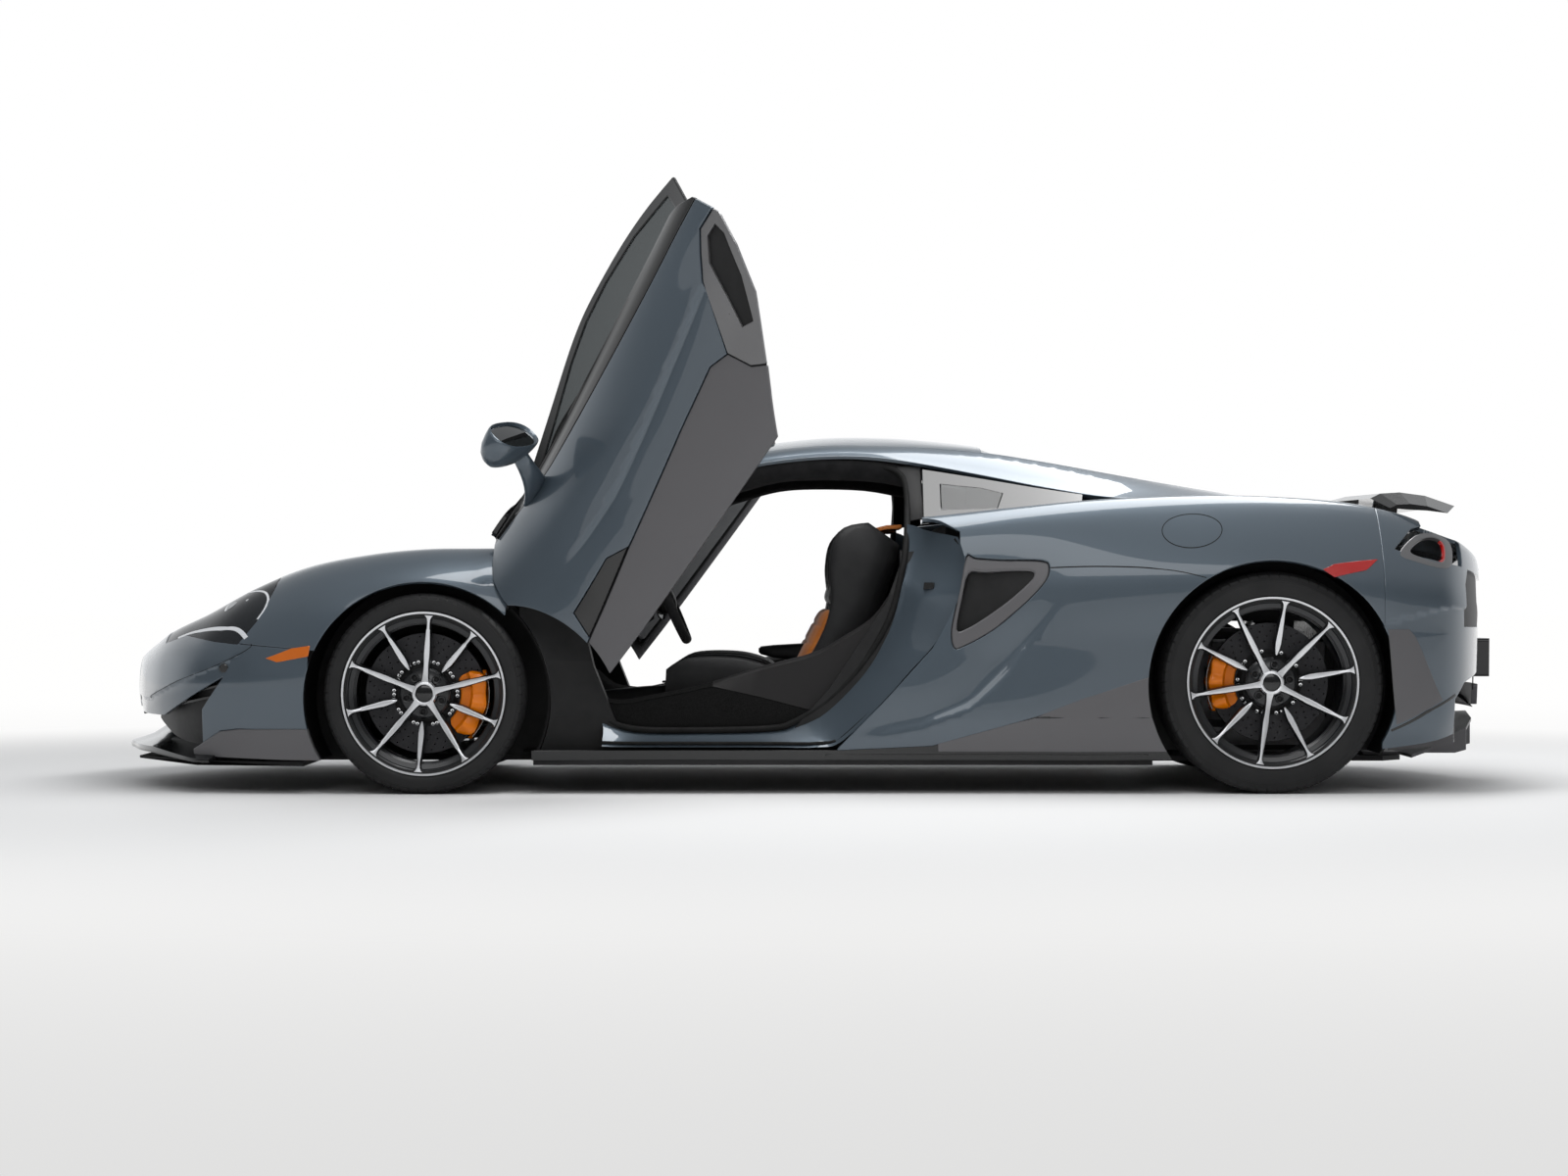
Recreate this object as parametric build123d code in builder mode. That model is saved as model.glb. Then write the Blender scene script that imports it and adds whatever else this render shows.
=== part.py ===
"""Mid-engined supercar with two dihedral doors, standing with both doors raised.

Millimetres. X runs from nose to tail, Y to the car's right and Z up. The origin is on the floor,
below the middle of the car's length and width. Left-hand pieces are on the -Y side.
"""

import math
import os

from build123d import *

os.makedirs("parts", exist_ok=True)

# ---------------------------------------------------------------- driving dimensions
LENGTH = 4604.0
NOSE_X = -LENGTH / 2
TAIL_X = LENGTH / 2
FRONT_AXLE_X = -1218.0
WHEELBASE = 2670.0
REAR_AXLE_X = FRONT_AXLE_X + WHEELBASE
FRONT_HALF_TRACK = 840.0
REAR_HALF_TRACK = 796.0
SEAT_GAP = 0.3  # between fixed pieces that are bolted or bonded together
PANEL_GAP = 0.6  # between neighbouring fixed outer panels
MOVING_GAP = 6.0  # round a door or lid, and along its shut lines
RUN_GAP = 6.0  # between a wheel, disc or shaft and what it passes
PIN_GAP = 0.4  # round a hinge pin or stub axle
GRID = 130.0  # spacing of the lofted sections along X

# Wheels: tyre radius, tyre width, rim bead radius, brake disc radius
FRONT_WHEEL = {"tyre_r": 316.0, "tyre_w": 226.0, "bead_r": 241.3, "disc_r": 190.0}
REAR_WHEEL = {"tyre_r": 350.0, "tyre_w": 286.0, "bead_r": 254.0, "disc_r": 188.0}
FLANGE_HEIGHT = 17.0
SPOKES = 10

# Wheel arches, each a circle in the side view
FRONT_ARCH = {"x": FRONT_AXLE_X - 4, "z": 296.0, "r": 372.0}
REAR_ARCH = {"x": REAR_AXLE_X, "z": 342.0, "r": 394.0}

LINER_GAP = 12.0  # from the arch edge to the liner's inner face
LINER_WALL = 8.0
FRONT_LINER_Y = 862.0
REAR_LINER_Y = 880.0

# Skins
PANEL_WALL = 14.0
ROOF_WALL = 24.0
GLASS_WALL = 6.0
DOOR_WALL = 80.0
DOOR_SKIN = 14.0
DOOR_FRAME_WALL = 20.0
DOOR_TOP_GAP = 9.0
SIDE_FRAME_WALL = 90.0
SIDE_FRAME_DEPTH = DOOR_WALL + 12.0

# Door hinge: one inclined axis at the foot of the windscreen pillar
HINGE_POINT = (-982.0, 804.0, 656.0)  # half-width as a positive number
HINGE_AXIS = (-0.103, 0.851, -0.514)
DOOR_SWING = 58.0

KINGPIN_Y = 735.0

# ---------------------------------------------------------------- body stations
BODY_COLUMNS = (
    "x", "floor_z", "sill_y", "low_y", "low_z", "waist_y", "waist_z",
    "hip_y", "hip_z", "crest_y", "crest_z", "deck_y", "deck_z", "centre_z",
)  # fmt: skip
BODY = (
    (-2260, 250, 92, 108, 278, 116, 320, 104, 372, 80, 404, 50, 418, 422),
    (-2225, 222, 250, 288, 262, 306, 325, 280, 386, 216, 424, 130, 438, 444),
    (-2170, 185, 430, 488, 250, 515, 330, 478, 405, 370, 450, 240, 468, 476),
    (-2080, 140, 640, 700, 245, 726, 342, 680, 436, 540, 500, 365, 512, 520),
    (-1950, 118, 820, 864, 245, 884, 362, 830, 470, 655, 556, 445, 560, 566),
    (-1780, 110, 915, 938, 245, 948, 385, 886, 560, 722, 646, 505, 612, 610),
    (-1600, 105, 940, 956, 245, 963, 405, 922, 622, 762, 716, 545, 662, 648),
    (-1400, 104, 945, 960, 245, 966, 425, 938, 655, 790, 755, 565, 698, 682),
    (-1222, 104, 945, 960, 245, 966, 445, 940, 668, 800, 772, 590, 718, 708),
    (-1050, 106, 940, 952, 245, 960, 445, 932, 655, 800, 772, 620, 740, 736),
    (-900, 106, 925, 938, 240, 948, 435, 915, 630, 790, 766, 706, 768, 768),
    (-700, 106, 905, 918, 235, 918, 422, 888, 615, 782, 766, 690, 786, 790),
    (-450, 106, 900, 912, 235, 906, 412, 880, 612, 790, 782, 698, 800, 800),
    (-150, 106, 902, 912, 235, 906, 412, 882, 620, 812, 806, 704, 826, 826),
    (150, 106, 905, 918, 235, 910, 422, 892, 636, 836, 832, 706, 850, 850),
    (400, 106, 908, 926, 238, 918, 436, 908, 654, 856, 858, 704, 872, 872),
    (650, 106, 914, 936, 240, 932, 452, 926, 676, 868, 884, 700, 900, 896),
    (900, 106, 924, 948, 240, 950, 468, 948, 696, 862, 906, 690, 922, 892),
    (1200, 110, 934, 956, 240, 962, 486, 962, 714, 842, 922, 672, 930, 876),
    (1452, 118, 938, 958, 240, 965, 500, 964, 722, 822, 922, 655, 924, 856),
    (1700, 130, 930, 954, 242, 962, 505, 955, 712, 802, 906, 640, 902, 830),
    (1880, 148, 912, 938, 252, 948, 505, 932, 690, 780, 872, 624, 866, 804),
    (1990, 166, 872, 900, 270, 912, 505, 896, 668, 752, 832, 596, 828, 784),
    (2070, 190, 786, 822, 292, 838, 505, 822, 648, 704, 796, 560, 794, 764),
    (2130, 214, 656, 700, 312, 722, 505, 706, 632, 622, 764, 500, 764, 744),
    (2180, 232, 484, 528, 325, 552, 505, 540, 620, 486, 738, 400, 740, 726),
    (2225, 246, 270, 306, 335, 330, 505, 322, 610, 296, 712, 240, 716, 708),
)  # fmt: skip

CABIN_COLUMNS = (
    "x", "rail_y", "rail_z", "shoulder_y", "shoulder_z", "mid_y", "mid_z", "top_z",
)  # fmt: skip
CABIN = (
    (-880, 704, 772, 640, 784, 350, 792, 796),
    (-700, 676, 846, 612, 872, 345, 892, 900),
    (-500, 640, 930, 578, 962, 335, 988, 998),
    (-300, 604, 1014, 545, 1050, 320, 1080, 1092),
    (-190, 588, 1048, 530, 1084, 312, 1114, 1126),
    (-60, 576, 1068, 518, 1104, 306, 1134, 1147),
    (80, 570, 1078, 508, 1114, 304, 1145, 1158),
    (210, 570, 1074, 500, 1113, 304, 1145, 1158),
    (350, 576, 1054, 495, 1108, 306, 1138, 1151),
    (560, 596, 1014, 488, 1092, 306, 1116, 1128),
    (750, 622, 976, 484, 1064, 306, 1080, 1090),
    (950, 650, 944, 484, 1028, 306, 1040, 1050),
    (1150, 664, 936, 490, 992, 306, 1000, 1010),
    (1350, 652, 932, 500, 958, 306, 960, 970),
    (1500, 640, 924, 505, 932, 306, 930, 930),
    (1700, 628, 902, 508, 904, 306, 900, 900),
    (1960, 606, 850, 508, 848, 306, 846, 846),
)  # fmt: skip


def at(table, columns, x):
    """The row of a station table at x, by cubic interpolation between stations."""
    xs = [row[0] for row in table]
    x = min(max(x, xs[0]), xs[-1])
    k = max(i for i in range(len(xs) - 1) if xs[i] <= x or i == 0)
    span = xs[k + 1] - xs[k]
    t = (x - xs[k]) / span
    found = {}
    for c, name in enumerate(columns):
        a, b = table[k][c], table[k + 1][c]
        before, after = max(k - 1, 0), min(k + 2, len(xs) - 1)
        slope_a = (b - table[before][c]) / (xs[k + 1] - xs[before]) * span
        slope_b = (table[after][c] - a) / (xs[after] - xs[k]) * span
        found[name] = (
            (2 * t**3 - 3 * t**2 + 1) * a
            + (t**3 - 2 * t**2 + t) * slope_a
            + (3 * t**2 - 2 * t**3) * b
            + (t**3 - t**2) * slope_b
        )
    return found


BODY_RAILS = ("sill", "low", "waist", "hip", "crest", "deck")


def body_points(x, first="sill", last="deck"):
    """Points of the lower body's left half section at x, from the sill up and inwards."""
    row = at(BODY, BODY_COLUMNS, x)
    row["sill_z"] = row["floor_z"]
    if last == "centre":
        names = BODY_RAILS[BODY_RAILS.index(first) :]
        return [(-row[n + "_y"], row[n + "_z"]) for n in names] + [(0, row["centre_z"])]
    names = BODY_RAILS[BODY_RAILS.index(first) : BODY_RAILS.index(last) + 1]
    return [(-row[n + "_y"], row[n + "_z"]) for n in names]


def cabin_points(x, first="rail", last="top"):
    """Points of the greenhouse's left half section at x, from the roof rail to the middle."""
    row = at(CABIN, CABIN_COLUMNS, x)
    row["top_y"] = 0
    names = ("rail", "shoulder", "mid", "top")
    names = names[names.index(first) : names.index(last) + 1]
    return [(-row[n + "_y"], row[n + "_z"]) for n in names]


def rounded(points):
    """The same open outline with a point added in the middle of each span, on a smooth curve."""
    out = [points[0]]
    for i in range(len(points) - 1):
        p0, p1, p2 = points[max(i - 1, 0)], points[i], points[i + 1]
        p3 = points[min(i + 2, len(points) - 1)]
        out.append(tuple(0.5625 * (b + c) - 0.0625 * (a + d) for a, b, c, d in zip(p0, p1, p2, p3)))
        out.append(p2)
    return out


def mirrored(points):
    """A left half outline that ends on the middle plane, carried on to the right."""
    return points + [(-y, z) for y, z in reversed(points[:-1])]


def inset(points, wall):
    """An outline that runs clockwise round the car's inside, moved inwards by wall."""
    directions = []
    for (ya, za), (yb, zb) in zip(points, points[1:]):
        size = math.hypot(yb - ya, zb - za)
        directions.append(((yb - ya) / size, (zb - za) / size))
    moved = []
    for i, (y, z) in enumerate(points):
        a = directions[max(i - 1, 0)]
        b = directions[min(i, len(directions) - 1)]
        ny, nz = a[1] + b[1], -(a[0] + b[0])
        scale = 2 * wall / max(ny * ny + nz * nz, 2.0)
        moved.append((y + ny * scale, z + nz * scale))
    return moved


def stations(start, stop):
    """Section places from start to stop, on the grid that all panels share."""
    steps = range(math.ceil((start + 25) / GRID), math.floor((stop - 25) / GRID) + 1)
    return [start] + [i * GRID for i in steps] + [stop]


def strip(start, stop, outline, wall, depth=0.0):
    """A curved panel: the outline at each station, moved in by depth, and given its wall."""
    with BuildPart() as panel:
        for x in stations(start, stop):
            outer = inset(outline(x), depth) if depth else outline(x)
            inner = inset(outline(x), depth + wall)
            with BuildSketch(Plane.YZ.offset(x)):
                with BuildLine():
                    Polyline(*outer, *reversed(inner), close=True)
                make_face()
        loft(ruled=True)
    return panel.part


def side_prism(points, near=250.0, far=1150.0, grow=0.0):
    """A prism on the car's left, with its outline in the side view as (x, z)."""
    with BuildPart() as prism:
        with BuildSketch(Plane.XZ.offset(near)):
            with BuildLine():
                Polyline(*points, close=True)
            make_face()
            if grow:
                offset(amount=grow, kind=Kind.INTERSECTION)
        extrude(amount=far - near)
    return prism.part


def plan_prism(points, low=-50.0, high=1400.0):
    """A prism with its outline in the top view as (x, y)."""
    with BuildPart() as prism:
        with BuildSketch(Plane.XY.offset(low)):
            with BuildLine():
                Polyline(*points, close=True)
            make_face()
        extrude(amount=high - low)
    return prism.part


def arch_cutter(arch, near, far, grow=0.0):
    """A cylinder across the car's left side at a wheel arch."""
    with BuildPart() as cutter:
        with BuildSketch(Plane.XZ.offset(near)):
            with Locations((arch["x"], arch["z"])):
                Circle(arch["r"] + grow)
        extrude(amount=far - near)
    return cutter.part


def other_side(part):
    return mirror(part, about=Plane.XZ, mode=Mode.PRIVATE)


def both(part):
    return part + other_side(part)


def save(part, name):
    part.label = name
    export_step(part, f"parts/{name}.step")


def raised(part):
    """A left door piece turned from its shut place to its open one."""
    x, y, z = HINGE_POINT
    ax, ay, az = HINGE_AXIS
    return part.rotate(Axis((x, -y, z), (ax, -ay, az)), DOOR_SWING)


def save_pair(part, name):
    save(part, name + "_left")
    save(other_side(part), name + "_right")


# ---------------------------------------------------------------- shut lines in the side view (x, z)
DOOR_OUTLINE = (
    (-884, 840), (-901, 740), (-932, 650), (-944, 570), (-948, 420), (-900, 142),
    (75, 142), (230, 300), (378, 463), (450, 600), (486, 710), (455, 818), (347, 880),
)  # fmt: skip
DOOR_SHOULDER = ((347, 800), (455, 790), (455, 818), (347, 880))
DOOR_INNER_OUTLINE = (
    (-700, 860), (-740, 740), (-850, 620), (-870, 560), (-870, 420), (-850, 160), (60, 160), (200, 320),
    (330, 480), (390, 600), (400, 700), (340, 770), (290, 780), (250, 860),
)  # fmt: skip
WINDOW_OUTLINE = (
    (-700, 806), (-500, 886), (-330, 962), (-200, 1006), (-60, 1030), (120, 1036), (300, 1012),
    (306, 890), (150, 862), (-150, 838), (-450, 811),
)  # fmt: skip
FRAME_OUTLINE = (
    (-862, 700), (-862, 785), (-700, 870), (-500, 950), (-300, 1040), (-60, 1090), (120, 1090), (352, 1080),
    (352, 700),
)  # fmt: skip
DOOR_APERTURE = (
    (-745, 620), (-690, 400), (-610, 200), (-575, 178), (-95, 178), (-60, 195), (60, 330),
    (240, 600), (285, 720), (285, 1200), (-900, 1200), (-800, 720),
)  # fmt: skip
LAMP_OUTLINE = (
    (-2085, 470), (-2000, 497), (-1880, 478), (-1806, 470), (-1745, 545),
    (-1700, 640), (-1690, 720), (-1760, 740), (-1960, 640), (-2085, 540),
)  # fmt: skip
INTAKE_OUTLINE = (
    (500, 735), (735, 722), (745, 700), (700, 610), (620, 520), (535, 458), (470, 455), (455, 600),
)  # fmt: skip
SKIRT_TOP = (
    (-930, 136), (80, 136), (380, 150), (700, 240), (1068, 371), (1150, 371), (1150, 60), (-930, 60),
)
FENDER_KEEP = (
    (-1800, 474), (-1560, 452), (-1400, 440), (-1000, 440), (-960, 570), (-952, 650), (-940, 682),
    (-916, 740), (-902, 840), (-902, 900), (-1800, 900),
)  # fmt: skip
# Reach of the fender's rear edge from the hinge axis: distance along the axis, radius
HINGE_RELIEF = (
    (-150, 66), (-115, 88), (-60, 112), (0, 130), (66, 124), (110, 94), (128, 58), (128, 0), (-150, 0),
)
BUMPER_SPLIT_X = 1800.0
TAIL_LAMP_OUTLINE = (
    (1840, 772), (1905, 836), (1990, 860), (2060, 846), (2085, 790), (2078, 716), (2010, 728), (1900, 752),
)  # fmt: skip
TAIL_LAMP_INNER_Y = 655.0
WINDSCREEN_FOOT_X = -862.0
COWL_X = (-890.0, -866.0)
COWL_HALF_W = 694.0
HEADER_X = -190.0
ROOF_REAR_X = 560.0
REAR_GLASS_END_X = 1150.0
BUTTRESS_INNER_Y = 436.0
FLOOR_Z = 106.0
FLOOR_WALL = 16.0
CABIN_REAR_X = 560.0


# ---------------------------------------------------------------- sizes of the separate pieces
NOSE_CUT = (
    (-1848, 372), (-2080, 240), (-2320, 234), (-2320, 60), (-1931, 60), (-1931, 155), (-1964, 212),
)  # fmt: skip
FENCE_TOP = ((-1960, 70), (-1960, 138), (-1931, 155), (-1865, 196), (-1800, 204), (-1540, 204), (-1540, 70))
RAMP = ((-2250, 103), (-2120, 205), (-2000, 226), (-2000, 103))
LAMP_INNER_Y = 440.0
BONNET_FRONT_X = -1980.0
BONNET_HINGE = {
    "x": -904.0, "z": 757.0, "y": 420.0, "pin_r": 5.0, "knuckle_r": 9.0, "knuckle_w": 26.0,
    "lug_y": 21.0,
}
BONNET_REAR_X = BONNET_HINGE["x"] - 2
INTAKE_WALL = 8.0
INTAKE_LAP = 16.0  # behind the quarter panel, round the opening
EXHAUST = {"y": 150.0, "z": 560.0, "r": 56.0, "wall": 4.0, "front_x": 1700.0, "tip_x": 2240.0}
PLATE = {"z": 416.0, "width": 320.0, "height": 120.0, "hole_span": 178.0, "hole_r": 3.0, "hole_depth": 20.0}
DIFFUSER = {
    "start_x": 1800.0, "end_x": 2240.0, "low_z": 106.0, "high_z": 222.0, "half_y": 540.0, "wall": 10.0,
}
DIFFUSER_PLAN = ((1700, -760), (2050, -760), (2130, -560), (2200, -300), (2240, 0))
FENCE_SIDE = ((1846, 130), (2030, 144), (2068, 180), (2102, 282), (1990, 240), (1846, 196))
FENCE_Y = (742.0, 750.0)
WING = {"x": 1794.0, "z": 930.0, "chord": 296.0, "half_span": 740.0, "stanchion_y": 396.0}
STEERING = {
    "x": -470.0, "y": -370.0, "z": 620.0, "tilt": 24.0, "rim_r": 178.0, "tube_r": 16.0, "column_r": 22.0,
}
SEAT_SIDE = (
    (-480, FLOOR_Z + FLOOR_WALL), (-500, 250), (-488, 330), (-300, 296), (-130, 250), (-60, 300), (60, 560),
    (170, 800), (200, 920), (262, 930), (290, 860), (230, 640), (120, 330), (70, FLOOR_Z + FLOOR_WALL),
)  # fmt: skip
SEAT_WING = (
    (-470, 200), (-480, 400), (-300, 430), (-140, 404), (-60, 470), (20, 640), (90, 745), (250, 800),
    (215, 640), (120, 330), (60, 200),
)  # fmt: skip
SEAT_Y = 370.0
SEAT_HALF_W = 235.0
STUB_R = 24.0
FRONT_DISC_Y = -8.0
REAR_DISC_Y = -20.0
REAR_PIN_Y = 690.0


def side_section(x):
    return rounded(body_points(x, "sill", "deck"))


# ---------------------------------------------------------------- front fenders
def build_fender():
    skin = strip(-1800, -892, lambda x: rounded(body_points(x, "low", "deck")), PANEL_WALL)
    with BuildPart() as fender:
        add(skin)
        add(side_prism(FENDER_KEEP), mode=Mode.INTERSECT)
        add(arch_cutter(FRONT_ARCH, 300, 1100), mode=Mode.SUBTRACT)
        add(side_prism(LAMP_OUTLINE, 440 - PANEL_GAP, 1150, PANEL_GAP), mode=Mode.SUBTRACT)
    return fender.part


save_pair(build_fender(), "front_fender")


# ---------------------------------------------------------------- front bumper
def bumper_section(x):
    return mirrored(rounded(body_points(x, "sill", "centre")))


# Lower edge of the painted nose, and the ramp and end fences of the splitter below it


def build_front_bumper():
    nose_x, rear_x = BODY[0][0], -1580.0
    fender_side = side_prism(
        (
            (-1800 - PANEL_GAP, 474 - PANEL_GAP), (-1560, 452 - PANEL_GAP), (-1560, 900),
            (-1800 - PANEL_GAP, 900),
        ),
    )  # fmt: skip
    lamp = side_prism(LAMP_OUTLINE, LAMP_INNER_Y - PANEL_GAP, 1150, PANEL_GAP)
    mouth = side_prism(NOSE_CUT, 215, 1150)
    fence = side_prism(FENCE_TOP, 215, 1150, PANEL_GAP)
    arch = arch_cutter(FRONT_ARCH, 300, 1100)
    with BuildPart() as bumper:
        add(strip(nose_x, rear_x, bumper_section, PANEL_WALL))
        with BuildSketch(Plane.YZ.offset(nose_x)):
            with BuildLine():
                Polyline(*bumper_section(nose_x), close=True)
            make_face()
        extrude(amount=PANEL_WALL)
        for cutter in (fender_side, lamp, mouth, fence, arch):
            add(cutter, mode=Mode.SUBTRACT)
            add(other_side(cutter), mode=Mode.SUBTRACT)
        add(
            plan_prism(((-1985, -452), (-1985, 452), (-1500, 660), (-1500, -660)), 500, 900),
            mode=Mode.SUBTRACT,
        )
    return bumper.part


save(build_front_bumper(), "front_bumper")


# ---------------------------------------------------------------- splitter
def fence_section(x):
    sill, *above = body_points(x, "sill", "low")
    return [(sill[0], 92.0), sill, *above]


def build_splitter():
    edge = (
        (NOSE_X, 0), (-2290, 130), (-2250, 270), (-2195, 470), (-2120, 640), (-2010, 800), (-1930, 880),
        (-1860, 920), (-1590, 936),
    )  # fmt: skip
    plan = plan_prism((*edge, (-1590, 300), (-1590, 0)), 80, 300)
    fence = strip(-1960, -1540, fence_section, 34.0)
    with BuildPart() as fences:
        add(fence)
        add(side_prism(FENCE_TOP, 250, 1150), mode=Mode.INTERSECT)
        add(arch_cutter(FRONT_ARCH, 300, 1100), mode=Mode.SUBTRACT)
        add(
            arch_cutter(FRONT_ARCH, 300, FRONT_LINER_Y + SEAT_GAP, LINER_GAP + LINER_WALL + SEAT_GAP),
            mode=Mode.SUBTRACT,
        )
    with BuildPart() as ramp:
        add(side_prism(RAMP, 260, 1000))
        add(other_side(plan), mode=Mode.INTERSECT)
    with BuildPart() as splitter:
        with BuildSketch(Plane.XY.offset(84)):
            with BuildLine():
                Polyline(*edge, (-1590, 0), close=True)
            make_face()
        extrude(amount=20)
        mirror(about=Plane.XZ)
        for piece in (fences.part, ramp.part):
            add(piece)
            add(other_side(piece))
    return splitter.part


save(build_splitter(), "front_splitter")


# ---------------------------------------------------------------- headlamps
def build_headlamp():
    with BuildPart() as lamp:
        add(strip(-2090, -1685, lambda x: rounded(body_points(x, "waist", "deck")), 40.0))
        add(side_prism(LAMP_OUTLINE, LAMP_INNER_Y, 1150), mode=Mode.INTERSECT)
        mirror(about=Plane.XZ)
    return lamp.part


save(build_headlamp(), "headlamps")

# ---------------------------------------------------------------- bonnet and its hinge


def bonnet_section(x):
    row = at(BODY, BODY_COLUMNS, x)
    edge = row["deck_y"] - MOVING_GAP
    middle = (-edge / 2, (row["deck_z"] + row["centre_z"]) / 2 + 2)
    return mirrored([(-edge, row["deck_z"]), middle, (0, row["centre_z"])])


def build_bonnet():
    h = BONNET_HINGE
    with BuildPart() as bonnet:
        add(strip(BONNET_FRONT_X, BONNET_REAR_X, bonnet_section, PANEL_WALL))
        for side in (-1, 1):
            with BuildSketch(Plane.XZ.offset(side * h["y"] - h["lug_y"] - MOVING_GAP)):
                with Locations((h["x"], h["z"])):
                    Rectangle(2 * h["knuckle_r"] + 14, 60)
            extrude(amount=2 * (h["lug_y"] + MOVING_GAP), mode=Mode.SUBTRACT)
            with BuildSketch(Plane.XZ.offset(side * h["y"] - h["knuckle_w"] / 2)):
                with Locations((h["x"], h["z"])):
                    Circle(h["knuckle_r"])
                with Locations((h["x"] - 16, h["z"] - 3)):
                    Rectangle(32, 12)
            extrude(amount=h["knuckle_w"])
            with BuildSketch(Plane.XZ.offset(side * h["y"] - h["knuckle_w"] / 2)):
                with Locations((h["x"], h["z"])):
                    Circle(h["pin_r"] + PIN_GAP)
            extrude(amount=h["knuckle_w"], mode=Mode.SUBTRACT)
    return bonnet.part


save(build_bonnet(), "bonnet")


# ---------------------------------------------------------------- cabin tub
def build_tub():
    h = BONNET_HINGE
    row = at(BODY, BODY_COLUMNS, -880)
    cowl_points = [(-COWL_HALF_W, 700), (-COWL_HALF_W, row["deck_z"] - 2), (0, row["centre_z"])]
    with BuildPart() as tub:
        # floor and rear bulkhead
        with BuildSketch(Plane.XY.offset(FLOOR_Z)):
            with Locations(((COWL_X[0] + CABIN_REAR_X) / 2, 0)):
                Rectangle(CABIN_REAR_X - COWL_X[0], 1070)
        extrude(amount=FLOOR_WALL)
        with BuildSketch(Plane.YZ.offset(CABIN_REAR_X)):
            with BuildLine():
                Polyline(
                    (-728, FLOOR_Z), (-728, 780), (-430, 850), (430, 850), (728, 780), (728, FLOOR_Z),
                    close=True,
                )
            make_face()
        extrude(amount=-22)
        # front bulkhead, as high as the cowl
        with BuildSketch(Plane.YZ.offset(COWL_X[0])):
            with BuildLine():
                Polyline(
                    (-530, FLOOR_Z), (-530, 560), (-640, 600), (-640, 690), *cowl_points,
                    (COWL_HALF_W, row["deck_z"] - 2), (COWL_HALF_W, 700), (640, 690), (640, 600),
                    (530, 560),
                    (530, FLOOR_Z), close=True,
                )  # fmt: skip
            make_face()
        extrude(amount=COWL_X[1] - COWL_X[0])
        # side sills' inner boxes and the tunnel
        for y, w in ((-648, 140), (0, 170), (648, 140)):
            with BuildSketch(Plane.XY.offset(FLOOR_Z)):
                with Locations(((-640 + CABIN_REAR_X) / 2, y)):
                    Rectangle(CABIN_REAR_X + 640, w)
            extrude(amount=70 if y else 170)
        # bonnet hinge lugs and pins
        for side in (-1, 1):
            for end in (-1, 1):
                y = side * h["y"] + end * (h["knuckle_w"] / 2 + 5)
                with BuildSketch(Plane.XZ.offset(-y - 3)):
                    with Locations((h["x"], h["z"])):
                        Circle(h["knuckle_r"])
                    with Locations((h["x"] + 10, h["z"] - 4)):
                        Rectangle(20, 10)
                extrude(amount=6)
            with BuildSketch(Plane.XZ.offset(-side * h["y"] - h["knuckle_w"] / 2 - 6)):
                with Locations((h["x"], h["z"])):
                    Circle(h["pin_r"])
            extrude(amount=h["knuckle_w"] + 12)
    return tub.part


save(build_tub(), "cabin_tub")


# ---------------------------------------------------------------- front frame: boot tub and bumper rails
def build_front_frame():
    with BuildPart() as frame:
        with BuildSketch(Plane.XY.offset(200)):
            with Locations(((-1540 - 890) / 2, 0)):
                Rectangle(650, 790)
        extrude(amount=400)
        with BuildSketch(Plane.XY.offset(212)):
            with Locations(((-1540 - 890) / 2, 0)):
                Rectangle(626, 766)
        extrude(amount=400, mode=Mode.SUBTRACT)
        with BuildSketch(Plane.YZ.offset(-2190)):
            with Locations((-200, 330), (200, 330)):
                Rectangle(60, 70)
            with Locations((0, 330)):
                Rectangle(560, 90)
        extrude(amount=30)
        with BuildSketch(Plane.YZ.offset(-2170)):
            with Locations((-200, 330), (200, 330)):
                Rectangle(60, 70)
        extrude(amount=2170 - 1540)
    return frame.part


save(build_front_frame(), "front_frame")


# ---------------------------------------------------------------- side frames round the door apertures
def side_frame_outline(x):
    return body_points(x, "sill", "deck")


def build_side_frame():
    x, y, z = HINGE_POINT
    axis = Vector(HINGE_AXIS[0], -HINGE_AXIS[1], HINGE_AXIS[2])
    point = Vector(x, -y, z)
    skin = strip(-925, 520, side_frame_outline, SIDE_FRAME_WALL, SIDE_FRAME_DEPTH)
    with BuildPart() as frame:
        add(skin)
        add(side_prism(DOOR_APERTURE, 200, 1150), mode=Mode.SUBTRACT)
        add(arch_cutter(FRONT_ARCH, 200, 1100, 26.0), mode=Mode.SUBTRACT)
        # hinge bracket and pin
        with BuildSketch(Plane.XZ.offset(762)):
            with BuildLine():
                Polyline(
                    (-1002, 636), (-1002, 672), (-970, 672), (-915, 640), (-915, 590), (-960, 610),
                    close=True,
                )
            make_face()
        extrude(amount=36)
        with BuildSketch(Plane(origin=point - axis * 26, z_dir=axis)):
            Circle(9.0)
        extrude(amount=62)
    return frame.part


save_pair(build_side_frame(), "side_frame")


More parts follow.
